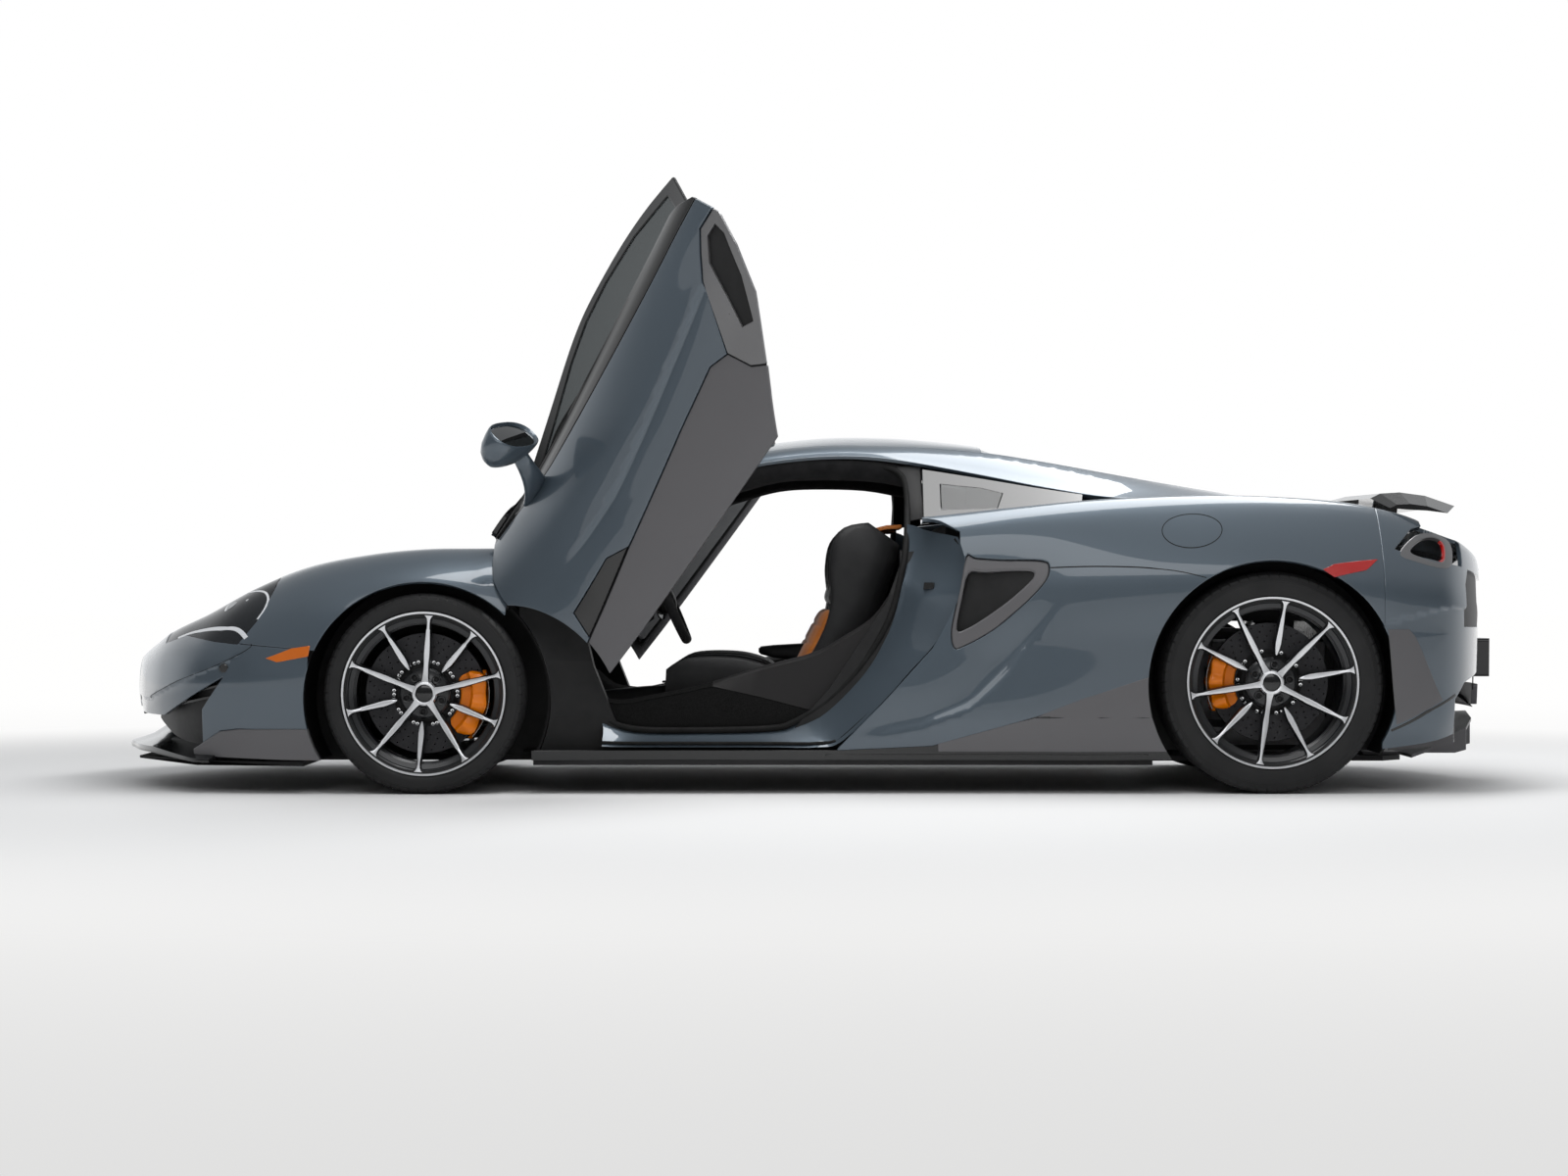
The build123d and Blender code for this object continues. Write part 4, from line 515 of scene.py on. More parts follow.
add_bump(METAL, 380.0, 0.25, 0.0006)
STEEL = material("brushed_steel", (0.42, 0.41, 0.40), 0.28, 1.0)
vary(STEEL, 0.2, 0.36, 50.0, 5.0, "Roughness")
CHROME = material("bright_metal", (0.82, 0.83, 0.84), 0.08, 1.0)
vary(CHROME, 0.05, 0.12, 20.0, 3.0, "Roughness")
AMBER = material("amber_lens", (0.9, 0.2, 0.01), 0.12, 0.0, Transmission_Weight=0.3, Coat_Weight=0.8)
add_bump(AMBER, 260.0, 0.3, 0.0008, "ShaderNodeTexVoronoi")
RED = material("red_lens", (0.55, 0.008, 0.006), 0.12, 0.0, Transmission_Weight=0.25, Coat_Weight=0.8)
add_bump(RED, 260.0, 0.3, 0.0008, "ShaderNodeTexVoronoi")
WHITE_LENS = material("light_guide", (0.75, 0.77, 0.8), 0.2, 0.0, Coat_Weight=0.6)
add_bump(WHITE_LENS, 200.0, 0.3, 0.0006)
MIRROR = material("mirror_glass", (0.16, 0.165, 0.17), 0.03, 1.0)
MESH = material("grille_mesh", (0.012, 0.012, 0.013), 0.5, 0.4)
vary(MESH, (0.009, 0.009, 0.0095), (0.018, 0.018, 0.019), 40.0)
LAMP_COVER = material("lamp_cover", (0.05, 0.055, 0.062), 0.04, 0.0, Transmission_Weight=0.6, IOR=1.3,
                      Specular_IOR_Level=0.25)
add_bump(LAMP_COVER, 2.5, 0.02, 0.002, detail=1.0)
LAMP_RING = material("lamp_ring", (0.19, 0.19, 0.195), 0.3, 0.6)
vary(LAMP_RING, 0.24, 0.36, 20.0, 3.0, "Roughness")
CARD = material("door_card_grey", (0.05, 0.052, 0.055), 0.6, 0.0, Sheen_Weight=0.1)
vary(CARD, (0.044, 0.046, 0.049), (0.058, 0.06, 0.063), 12.0)
add_bump(CARD, 900.0, 0.3, 0.0006, "ShaderNodeTexVoronoi")
SILL_SATIN = material("sill_trim_satin", (0.015, 0.014, 0.0145), 0.55, 0.0, Specular_IOR_Level=0.3)
add_bump(SILL_SATIN, 1200.0, 0.25, 0.0005)


# ---------------------------------------------------------------- revolved and lofted pieces
def revolve(name, profile, centre, segments=96, material=None):
    """A ring from (radius, y) points round an axis along Y."""
    points, faces = [], []
    count = len(profile)
    for k in range(segments):
        a = 2 * math.pi * k / segments
        points += [(centre[0] + r * math.cos(a), centre[1] + y, centre[2] + r * math.sin(a)) for r, y in profile]
    for k in range(segments):
        for i in range(count):
            a, b = k * count + i, k * count + (i + 1) % count
            c, d = (k + 1) % segments * count + (i + 1) % count, (k + 1) % segments * count + i
            faces.append((a, b, c, d))
    obj = mesh_object(name, points, faces, material)
    fix_normals(obj)
    sharpen(obj, 32)
    return obj


def fix_normals(obj):
    bm = bmesh.new()
    bm.from_mesh(obj.data)
    bmesh.ops.recalc_face_normals(bm, faces=bm.faces)
    bm.to_mesh(obj.data)
    bm.free()


def sharpen(obj, degrees):
    """Smooth shading, with edges sharper than the angle kept crisp."""
    obj.data.shade_smooth()
    obj.data.set_sharp_from_angle(angle=math.radians(degrees))


def loft(name, sections, material=None, closed=True, caps=True, angle=35):
    """A skin through sections of equally many points."""
    count = len(sections[0])
    points = [p for s in sections for p in s]
    faces = []
    last = count if closed else count - 1
    for k in range(len(sections) - 1):
        for i in range(last):
            a, b = k * count + i, k * count + (i + 1) % count
            faces.append((a, b, b + count, a + count))
    if caps:
        faces.append(tuple(range(count)))
        faces.append(tuple(range((len(sections) - 1) * count, len(sections) * count))[::-1])
    obj = mesh_object(name, points, faces, material)
    fix_normals(obj)
    sharpen(obj, angle)
    return obj


def joined(name, objects):
    """One object out of several, with their materials."""
    bpy.ops.object.select_all(action="DESELECT")
    for obj in objects:
        obj.select_set(True)
    bpy.context.view_layer.objects.active = objects[0]
    bpy.ops.object.join()
    made = bpy.context.view_layer.objects.active
    made.name = name
    made.data.name = name
    return made


def bevelled(obj, width, segments=2, angle=40):
    """Rounds an object's sharp edges and applies the result."""
    bevel = obj.modifiers.new("bevel", "BEVEL")
    bevel.width, bevel.segments, bevel.limit_method = width, segments, "ANGLE"
    bevel.angle_limit = math.radians(angle)
    bevel.harden_normals = False
    applied = bpy.data.meshes.new_from_object(obj.evaluated_get(bpy.context.evaluated_depsgraph_get()))
    obj.modifiers.clear()
    obj.data = applied
    sharpen(obj, 50)
    return obj

# ---------------------------------------------------------------- shut lines in the side view (x, z)
DOOR_OUTLINE = (
    (-0.884, 0.84), (-0.901, 0.74), (-0.932, 0.65), (-0.944, 0.57), (-0.948, 0.42), (-0.9, 0.142),
    (0.075, 0.142), (0.23, 0.3), (0.378, 0.463), (0.45, 0.6), (0.486, 0.71), (0.455, 0.818), (0.347, 0.88),
)
DOOR_SHOULDER = ((0.347, 0.8), (0.455, 0.79), (0.455, 0.818), (0.347, 0.88))
DOOR_INNER_OUTLINE = (
    (-0.7, 0.86), (-0.74, 0.74), (-0.85, 0.62), (-0.87, 0.56), (-0.87, 0.42), (-0.85, 0.16), (0.06, 0.16),
    (0.2, 0.32), (0.33, 0.48), (0.39, 0.6), (0.4, 0.7), (0.34, 0.77), (0.29, 0.78), (0.25, 0.86),
)
WINDOW_OUTLINE = (
    (-0.7, 0.806), (-0.5, 0.886), (-0.33, 0.962), (-0.2, 1.006), (-0.06, 1.03), (0.12, 1.036), (0.3, 1.012),
    (0.306, 0.89), (0.15, 0.862), (-0.15, 0.838), (-0.45, 0.811),
)
FRAME_OUTLINE = (
    (-0.862, 0.7), (-0.862, 0.785), (-0.7, 0.87), (-0.5, 0.95), (-0.3, 1.04), (-0.06, 1.09), (0.12, 1.09),
    (0.352, 1.08), (0.352, 0.7),
)
LAMP_OUTLINE = (
    (-2.085, 0.47), (-2.0, 0.497), (-1.88, 0.478), (-1.806, 0.47), (-1.745, 0.545),
    (-1.7, 0.64), (-1.69, 0.72), (-1.76, 0.74), (-1.96, 0.64), (-2.085, 0.54),
)
LAMP_INNER_Y = 0.44
NOSE_CUT = (
    (-1.848, 0.372), (-2.08, 0.24), (-2.32, 0.234), (-2.32, 0.06), (-1.931, 0.06), (-1.931, 0.155), (-1.964, 0.212),
)
NOSE_KEEL_Y = 0.215
FENCE_TOP = ((-1.96, 0.07), (-1.96, 0.138), (-1.931, 0.155), (-1.865, 0.196), (-1.8, 0.204), (-1.54, 0.204),
             (-1.54, 0.07))
SKIRT_TOP = (
    (-0.93, 0.136), (0.08, 0.136), (0.38, 0.15), (0.7, 0.24), (1.068, 0.371), (1.15, 0.371), (1.15, 0.06),
    (-0.93, 0.06),
)
FENDER_KEEP = (
    (-1.8, 0.474), (-1.56, 0.452), (-1.4, 0.44), (-1.0, 0.44), (-0.96, 0.57), (-0.952, 0.65), (-0.94, 0.682),
    (-0.916, 0.74), (-0.902, 0.84), (-0.902, 0.9), (-1.8, 0.9),
)
TAIL_LAMP_OUTLINE = (
    (1.84, 0.772), (1.905, 0.836), (1.99, 0.86), (2.06, 0.846), (2.085, 0.79), (2.078, 0.716), (2.01, 0.728),
    (1.9, 0.752),
)
TAIL_LAMP_INNER_Y = 0.655

# Outlines on the body's own (x, v) sheet
INTAKE = ((0.487, 0.646), (0.52, 0.642), (0.6, 0.632), (0.724, 0.622), (0.75, 0.604), (0.736, 0.562), (0.69, 0.508),
          (0.636, 0.458), (0.58, 0.412), (0.532, 0.382), (0.484, 0.358), (0.45, 0.352), (0.44, 0.42), (0.463, 0.54))
INTAKE_THROAT = ((0.494, 0.606), (0.55, 0.606), (0.68, 0.6), (0.7, 0.586), (0.672, 0.552), (0.62, 0.505),
                 (0.55, 0.455),
                 (0.49, 0.42), (0.458, 0.42), (0.474, 0.53))
FUEL_FLAP = (1.2, 0.67, 0.096, 0.044)


def grown(points, amount):
    """A polygon with its sides moved outwards."""
    area = sum(a[0] * b[1] - b[0] * a[1] for a, b in zip(points, points[1:] + points[:1]))
    return [tuple(p) for p in shrink(points, -amount if area > 0 else amount)]


def anticlockwise(points):
    area = sum(a[0] * b[1] - b[0] * a[1] for a, b in zip(points, list(points[1:]) + [points[0]]))
    return list(points) if area > 0 else list(reversed(points))


def other_half(loop, centre=CENTRE_V):
    return [(x, 2 * centre - v) for x, v in loop]


def rectangle(x0, x1, v0, v1):
    return dense([(x0, v0), (x1, v0), (x1, v1), (x0, v1)])


def curved(points, closed=True, per=6):
    """A smooth curve through the points."""
    points = [tuple(p) for p in points]
    n = len(points)
    out = []
    for i in range(n if closed else n - 1):
        p0, p1 = points[(i - 1) % n] if closed else points[max(i - 1, 0)], points[i]
        p2, p3 = points[(i + 1) % n], points[(i + 2) % n] if closed else points[min(i + 2, n - 1)]
        for k in range(per):
            t = k / per
            out.append(tuple(
                0.5 * (2 * b + (c - a) * t + (2 * a - 5 * b + 4 * c - d) * t * t + (3 * b - a - 3 * c + d) * t**3)
                for a, b, c, d in zip(p0, p1, p2, p3)
            ))
    return out if closed else out + [points[-1]]


def ellipse(x, v, rx, rv, count=64):
    return [(x + rx * math.cos(2 * math.pi * k / count),
             v + rv * math.sin(2 * math.pi * k / count)) for k in range(count)]


def side_region(outline, inner_y):
    """The (x, v) loop of the body's flank and top that a side-view outline covers, outboard of inner_y."""
    xs = [p[0] for p in outline]
    low, high = [], []
    levels = np.linspace(0, CENTRE_V, 1500)
    for x in np.linspace(max(min(xs), BODY[0][0]) + 1e-4, max(xs) - 1e-4, 90):
        points = body_surface(np.full(len(levels), x), levels)
        hit = inside(points[:, [0, 2]], [outline]) & (points[:, 1] < -inner_y)
        if hit.any():
            low.append((x, levels[hit].min()))
            high.append((x, levels[hit].max()))
    return low + high[::-1]


def patch(name, outline, finish, depth=0.0, wall=0.004, cell=0.022, surface=body_surface, relief=None, roll=0.0008):
    return panel(name, surface, trim(dense(list(outline)), []), wall, cell, roll, depth, finish, relief)


def ribbon(points, width):
    """A narrow closed outline along an open line."""
    a = np.asarray(points)
    ahead = np.gradient(a, axis=0)
    ahead /= np.maximum(np.linalg.norm(ahead, axis=1), 1e-9)[:, None]
    side = np.stack([-ahead[:, 1], ahead[:, 0]], axis=1) * width / 2
    return [tuple(p) for p in a + side] + [tuple(p) for p in (a - side)[::-1]]


def seam(name, points, width=0.003, surface=body_surface, depth=-0.0003):
    """A dark shut line between two painted areas."""
    outline = ribbon(curved(points, False, 8), width)
    return panel(name, surface, trim(outline, []), 0.0006, 0.05, 0.0001, depth, SEAL)


def surface_point(surface, x, v, depth=0.0):
    p = surface(x, v)[0]
    n = surface_normals(surface, np.atleast_1d(x).astype(float), np.atleast_1d(v).astype(float))[0]
    return Vector(p - n * depth)


def tube(name, path, radius, material, closed=False, sides=10):
    """A round bar along points."""
    path = [Vector(p) for p in path]
    count = len(path)
    sections = []
    up = Vector((0.12, 0.31, 0.94)).normalized()
    for k, p in enumerate(path):
        if closed:
            ahead = path[(k + 1) % count] - path[k - 1]
        else:
            ahead = path[min(k + 1, count - 1)] - path[max(k - 1, 0)]
        ahead.normalize()
        side = ahead.cross(up).normalized()
        top = side.cross(ahead)
        sections.append([tuple(p + (side * math.cos(a) + top * math.sin(a)) * radius)
                         for a in (2 * math.pi * i / sides for i in range(sides))])
    if closed:
        sections.append(sections[0])
    return loft(name, sections, material, caps=not closed, angle=60)


def on_root(piece, base, slot, replaced=None):
    return on_both_sides(piece, base, "root", "root", slot, replaced)


def middle(piece, body, slot, *nodes):
    """Rides a piece that spans the car's middle on a body and hides the CAD nodes it stands for; slot is not used."""
    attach(piece, body)
    if nodes:
        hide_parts(*nodes)
    return piece


FRONT_ARCH_CUT = on_side(circle(*FRONT_ARCH))
REAR_ARCH_CUT = on_side(circle(*REAR_ARCH))
LAMP_CUT = side_region(LAMP_OUTLINE, LAMP_INNER_Y)
MOUTH_CUT = side_region(NOSE_CUT, NOSE_KEEL_Y)
FENCE_CUT = on_side(FENCE_TOP)
TAIL_CUT = side_region(TAIL_LAMP_OUTLINE, TAIL_LAMP_INNER_Y)

# ---------------------------------------------------------------- front fenders
loops = trim(rectangle(-1.8, -0.892, LOW_V, DECK_V), [FRONT_ARCH_CUT, LAMP_CUT], [on_side(FENDER_KEEP)])
fender = panel("fender_l", body_surface, loops, material=PAINT)
on_root(fender, "fender", "body_paint", ["front_fender_*"])
amber = patch("amber_marker_l", ((-1.712, 0.376), (-1.63, 0.398), (-1.572, 0.398), (-1.578, 0.362), (-1.676, 0.354)),
              AMBER, -0.002)
on_root(amber, "amber_marker", "headlamp")

# ---------------------------------------------------------------- front bumper
fender_side = on_side(((-1.802, 0.472), (-1.56, 0.45), (-1.56, 1.2), (-1.802, 1.2)))
lid_zone = dense([(-1.985, DECK_V - 0.004), (-1.4, DECK_V - 0.004), (-1.4, 2 * CENTRE_V - DECK_V + 0.004),
                  (-1.985, 2 * CENTRE_V - DECK_V + 0.004)])
cuts = [lid_zone]
for cut in (fender_side, LAMP_CUT, FRONT_ARCH_CUT, MOUTH_CUT, FENCE_CUT):
    cuts += [cut, other_half(cut)]
NOSE_LINE = ((-2.136, 0.24), (-2.12, 0.268), (-1.98, 0.348), (-1.784, 0.42), (-1.76, 0.444))


def bumper_relief(x, v):
    """The upper nose stands a little proud of the lower one, along a line that rises to the lamp."""
    v = np.where(v > CENTRE_V, 2 * CENTRE_V - v, v)
    line = np.interp(x, [p[0] for p in NOSE_LINE], [p[1] for p in NOSE_LINE])
    below = np.clip((line - v) / 0.012, 0, 1)
    ahead = np.clip((-1.77 - x) / 0.05, 0, 1)
    return 0.004 * below * ahead


loops = trim(rectangle(BODY[0][0], -1.58, SILL_V, 2 * CENTRE_V), cuts)
bumper = panel("front_bumper_skin", body_surface, loops, cell=0.016, material=PAINT, relief=bumper_relief)
levels = np.linspace(0, 2 * CENTRE_V, 49)
rim = body_surface(np.full(49, BODY[0][0]), levels)
rings = []
for push, scale in ((-0.0, 1.0), (0.006, 0.86), (0.009, 0.6), (0.0105, 0.3), (0.011, 0.02)):
    rings.append([(x - push, y * scale, 0.336 + (z - 0.336) * scale) for x, y, z in rim])
nose_cap = loft("nose_cap", rings, PAINT, caps=False)
bumper = joined("front_bumper_skin", [bumper, nose_cap])
middle(bumper, "root", "body_paint", "front_bumper")
on_root(seam("nose_seam_l", NOSE_LINE), "nose_seam", "dark_trim")
sensor = revolve("park_sensor_l", [(0.0002, -0.0015), (0.011, -0.0015), (0.0125, 0.0), (0.0145, 0.0005),
                                   (0.0145, 0.004), (0.0002, 0.004)],
                 tuple(surface_point(body_surface, -1.848, 0.364)), 32, GLOSS_BLACK)
on_root(sensor, "park_sensor", "dark_trim")
duct = patch("nose_duct_l", ((-2.2, 0.02), (-1.9, 0.02), (-1.86, 0.2), (-1.82, 0.34), (-1.9, 0.35), (-2.06, 0.28),
                             (-2.16, 0.2)),
             MESH, 0.05, 0.004, 0.03)
on_root(duct, "nose_duct", "dark_trim")
for k, v in enumerate((0.2, 0.25)):
    vane = patch(f"nose_vane_{k}_l", ribbon([(x, v + 0.25 * (x + 2.0)) for x in np.linspace(-2.02, -1.87, 12)],
                                            0.012),
                 GLOSS_BLACK, 0.022, 0.03)
    on_root(vane, f"nose_vane_{k}", "dark_trim")

# Splitter: a blade along the nose with a ramp that sweeps up into the duct, and a fence at each side
SPLITTER_EDGE = ((-2.3, 0.0), (-2.288, -0.13), (-2.25, -0.27), (-2.195, -0.47), (-2.12, -0.64), (-2.01, -0.8),
                 (-1.95, -0.868), (-1.9, -0.9))
SPLITTER_PROFILE = ((0.0, 0.02), (0.004, 0.029), (0.03, 0.036), (0.075, 0.052), (0.125, 0.084), (0.17, 0.118),
                    (0.215, 0.138), (0.215, 0.125),
                    (0.13, 0.064), (0.06, 0.02), (0.02, 0.006), (0.002, 0.01))
edge = np.array(curved(SPLITTER_EDGE, False, 6))
ahead = np.gradient(edge, axis=0)
ahead /= np.linalg.norm(ahead, axis=1)[:, None]
ahead[0] = (0, -1)
rows = []
for (x, y), (dx, dy) in zip(edge, ahead):
    far = np.clip((-1.93 - x) / 0.2, 0.15, 1)
    deep, low, tall = 0.4 + 0.6 * far, 0.09 + 0.018 * far, 0.5 + 0.5 * far
    rows.append([(x - dy * d * deep, y + dx * d * deep, low + h * tall) for d, h in SPLITTER_PROFILE])
on_root(loft("splitter_blade_l", rows, GLOSS_BLACK, angle=50), "splitter_blade", "dark_trim", ["front_splitter"])
fence = panel("splitter_fence_l", body_surface, trim(rectangle(-2.0, -1.5, 0.004, WAIST_V), [FRONT_ARCH_CUT],
                                                     [FENCE_CUT]), 0.026, 0.02, 0.002, -0.003, SATIN)
on_root(fence, "splitter_fence", "dark_trim", ["front_splitter"])
floor_plate = loft("splitter_floor", [[(-2.2, 0.45 * s, 0.1), (-1.95, 0.82 * s, 0.1), (-1.6, 0.9 * s, 0.1),
                                       (-1.6, 0.9 * s, 0.086), (-1.95, 0.82 * s, 0.086),
                                       (-2.2, 0.45 * s, 0.092)] for s in (-1, 1)], BLACK_TRIM)
middle(floor_plate, "root", "dark_trim", "front_splitter")

# ---------------------------------------------------------------- headlamps
bowl = panel("lamp_bowl_l", body_surface, trim(LAMP_CUT, []), 0.004, 0.02, 0.0008, 0.036, GLOSS_BLACK)
parts = [bowl]
for x, v, r in ((-1.85, 0.69, 0.034), (-1.79, 0.66, 0.028)):
    centre = surface_point(body_surface, x, v, 0.028)
    parts.append(revolve("lamp_projector", [(r * 0.3, -0.014), (r * 0.72, -0.01), (r, -0.004), (r * 1.14, 0.004),
                                            (r * 1.14, 0.02), (r * 0.3, 0.02)],
                         tuple(centre), 40, CHROME))
bowl = joined("lamp_bowl_l", parts)
on_root(bowl, "lamp_bowl", "headlamp", ["headlamps"])
lens = panel("lamp_lens_l", body_surface, trim(LAMP_CUT, []), 0.004, 0.014, 0.0012, 0.001, LAMP_COVER)
on_root(lens, "lamp_lens", "headlamp", ["headlamps"])
blade_line = curved(((-2.035, 0.668), (-1.98, 0.668), (-1.92, 0.636), (-1.86, 0.584), (-1.81, 0.53), (-1.778, 0.474)),
                    False, 5)
blade = patch("lamp_blade_l", ribbon(blade_line, 0.014), WHITE_LENS, -0.0006, 0.006, 0.012)
on_root(blade, "lamp_blade", "headlamp", ["headlamps"])
hook_line = ((-1.795, 0.735), (-1.76, 0.7), (-1.73, 0.66), (-1.716, 0.615), (-1.727, 0.57), (-1.745, 0.54))
hook = patch("lamp_hook_l", ribbon(curved(hook_line, False, 5), 0.007), WHITE_LENS, -0.0006, 0.004, 0.012)
on_root(hook, "lamp_hook", "headlamp", ["headlamps"])


# ---------------------------------------------------------------- bonnet
def bonnet_relief(x, v):
    """Two shallow valleys that open from the nose towards the windscreen."""
    out = np.abs(v - CENTRE_V)
    line = 0.22 + 0.16 * np.clip((x + 1.98) / 1.07, 0, 1)
    deep = 0.011 * np.clip((x + 1.98) / 0.35, 0, 1) * np.clip((-0.93 - x) / 0.2, 0, 1)
    return deep * np.exp(-(((out - line) / 0.055) ** 2))


loops = trim(rectangle(-1.98, -0.906, DECK_V + 0.009, 2 * CENTRE_V - DECK_V - 0.009), [])
bonnet = panel("bonnet_skin", body_surface, loops, cell=0.02, material=PAINT, relief=bonnet_relief)
middle(bonnet, "bonnet", "body_paint", "bonnet")
loops = trim(rectangle(-0.9, -0.845, DECK_V + 0.012, 2 * CENTRE_V - DECK_V - 0.012), [])
scuttle = panel("scuttle", body_surface, loops, 0.006, 0.03, 0.0006, 0.014, BLACK_TRIM)
middle(scuttle, "root", "dark_trim")

# ---------------------------------------------------------------- quarter panels
fore = on_side(((-0.1, 0.75), (0.352, 0.82), (0.352, 1.4), (-0.1, 1.4)))
door_cut = on_side(grown(list(DOOR_OUTLINE), 0.006))
shoulder_cut = on_side(grown(list(DOOR_SHOULDER), 0.0144))
skirt_cut = on_side(grown(list(SKIRT_TOP), 0.0006))
intake_cut = curved(INTAKE, per=4)
low_rear = on_side(((1.452, -0.4), (1.452, 0.46), (1.82, 0.46), (1.82, -0.4)))


SWEEP = ((0.1, 0.1), (0.35, 0.14), (0.5, 0.2), (0.62, 0.3), (0.72, 0.42), (0.8, 0.52))


def quarter_relief(x, v):
    """A soft scoop above the crease that sweeps from the sill up to the intake's lower end."""
    away = v - np.interp(x, [p[0] for p in SWEEP], [p[1] for p in SWEEP])
    fade = np.clip((x - 0.1) / 0.15, 0, 1) * np.clip((0.8 - x) / 0.2, 0, 1)
    return 0.008 * fade * np.where(away > 0, np.exp(-((away / 0.09) ** 2)), np.clip(1 + away / 0.03, 0, 1))


loops = trim(
    rectangle(0.083, 1.7994, SILL_V, DECK_V),
    [fore, door_cut, shoulder_cut, skirt_cut, intake_cut, REAR_ARCH_CUT, low_rear],
)
creases = [[(x, v + step) for x, v in SWEEP] for step in (0.02, 0.008, 0.0, -0.015, -0.03)]
quarter = panel("quarter_l", body_surface, loops, cell=0.02, material=PAINT, relief=quarter_relief, creases=creases)
on_root(quarter, "quarter", "body_paint", ["quarter_panel_*"])
inset_rim = grown(anticlockwise(curved(INTAKE, per=4)), -0.0015)
throat = curved(INTAKE_THROAT, per=4)
rim = panel("intake_rim_l", body_surface, trim(inset_rim, [throat]), 0.034, 0.02, 0.004, 0.004, SATIN)
on_root(rim, "intake_rim", "dark_trim", ["side_intakes"])


def throat_relief(x, v):
    return 0.018 * np.clip((0.7 - x) / 0.22, 0, 1)


well = patch("intake_well_l", grown(anticlockwise(throat), 0.006), BLACK_TRIM, 0.016, 0.004, 0.02,
             relief=throat_relief)
on_root(well, "intake_well", "dark_trim", ["side_intakes"])
flap = panel("fuel_flap_line_l", body_surface, trim(ellipse(*FUEL_FLAP),
                                                    [ellipse(FUEL_FLAP[0], FUEL_FLAP[1], FUEL_FLAP[2] - 0.0028,
                                                             FUEL_FLAP[3] - 0.0022)]),
             0.0006, 0.05, 0.0001, -0.0003, SEAL)
on_root(flap, "fuel_flap_line", "dark_trim")
on_root(seam("quarter_seam_l", ((0.752, 0.602), (0.9, 0.596), (1.05, 0.585), (1.15, 0.568), (1.238, 0.54))),
        "quarter_seam", "dark_trim")
skirt_zone = on_side(((0.4, 0.158), (0.7, 0.24), (0.84, 0.3), (1.068, 0.371), (1.15, 0.371), (1.15, 0.1), (0.4, 0.1)))
skirt_face = trim(rectangle(0.4, 1.15, 0.04, WAIST_V), [REAR_ARCH_CUT], [skirt_zone])
on_root(panel("skirt_face_l", body_surface, skirt_face, 0.006, 0.02, 0.0016, 0.0, SATIN), "skirt_face", "dark_trim")
skirt_fore = trim(rectangle(-0.88, 0.45, 0.012, WAIST_V), [skirt_zone], [on_side(SKIRT_TOP)])
on_root(panel("skirt_fore_l", body_surface, skirt_fore, 0.006, 0.02, 0.0016, 0.001, GLOSS_BLACK), "skirt_fore",
        "dark_trim")
lip = patch("skirt_lip_l", rectangle(0.045, 1.06, 0.002, 0.03), GLOSS_BLACK, -0.006, 0.008, 0.03, roll=0.002)
on_root(lip, "skirt_lip", "dark_trim")

# ---------------------------------------------------------------- rear bumper
CREASE = ((1.788, 0.372), (1.884, 0.4), (2.024, 0.456), (2.2, 0.5))


def rear_relief(x, v):
    """The lower corner is sunk below a crease that rises to the tail."""
    v = np.where(v > CENTRE_V, 2 * CENTRE_V - v, v)
    line = np.interp(x, [p[0] for p in CREASE], [p[1] for p in CREASE])
    return 0.009 * np.clip((line - v) / 0.014, 0, 1)


deck_zone = dense([(1.7, 0.9), (1.952, 0.9), (1.952, 2 * CENTRE_V - 0.9), (1.7, 2 * CENTRE_V - 0.9)])
grille = dense([(2.086, 0.36), (2.2252, 0.36), (2.2252, 0.68), (2.105, 0.66), (2.086, 0.6)])
under = dense([(2.05, -0.01), (2.23, -0.01), (2.23, 0.2), (2.09, 0.19), (2.05, 0.15)])
cuts = [deck_zone]
for cut in (TAIL_CUT, REAR_ARCH_CUT, grille, under):
    cuts += [cut, other_half(cut)]
loops = trim(rectangle(1.8, BODY[-1][0], SILL_V, 2 * CENTRE_V), cuts)
rear_bumper = panel("rear_bumper_skin", body_surface, loops, cell=0.016, material=PAINT, relief=rear_relief)
middle(rear_bumper, "root", "body_paint", "rear_bumper")
corner = patch("corner_insert_l", ((1.812, 0.344), (1.88, 0.346), (1.904, 0.318), (1.988, 0.18), (2.0, 0.162),
                                   (1.842, 0.112)),
               SATIN, 0.0075, 0.006, 0.02)
on_root(corner, "corner_insert", "dark_trim")
on_root(patch("rear_slot_l", ribbon([(1.825, 0.094), (1.94, 0.136), (2.05, 0.165)], 0.009), GLOSS_BLACK, 0.0078,
              0.006), "rear_slot", "dark_trim")
red = patch("red_marker_l", ((1.604, 0.566), (1.64, 0.586), (1.782, 0.61), (1.74, 0.574), (1.64, 0.538)), RED, -0.002)
on_root(red, "red_marker", "tail_lamp")
end_x = BODY[-1][0]
mesh_zone = dense([(2.08, 0.35), (2.2251, 0.35), (2.2251, 0.69), (2.1, 0.67), (2.08, 0.6)])
mesh_panel = panel("rear_mesh_l", body_surface, trim(mesh_zone, []), 0.004, 0.016, 0.0006, 0.012, MESH)
on_root(mesh_panel, "rear_mesh", "dark_trim", ["rear_bumper"])


def tail_face(x, v):
    """The flat tail end, x standing for Y and v for height."""
    y, z = np.atleast_1d(x).astype(float), np.atleast_1d(v).astype(float)
    return np.stack([end_x - 0.001 - 0.02 * (y / 0.33) ** 2, y, z], axis=1)


def on_tail(name, outline, finish, proud=0.0, wall=0.004, cell=0.03, cutters=()):
    return panel(name, tail_face, trim(dense(list(outline)), [dense(list(c)) for c in cutters]), wall, cell, 0.001,
                 -proud, finish)


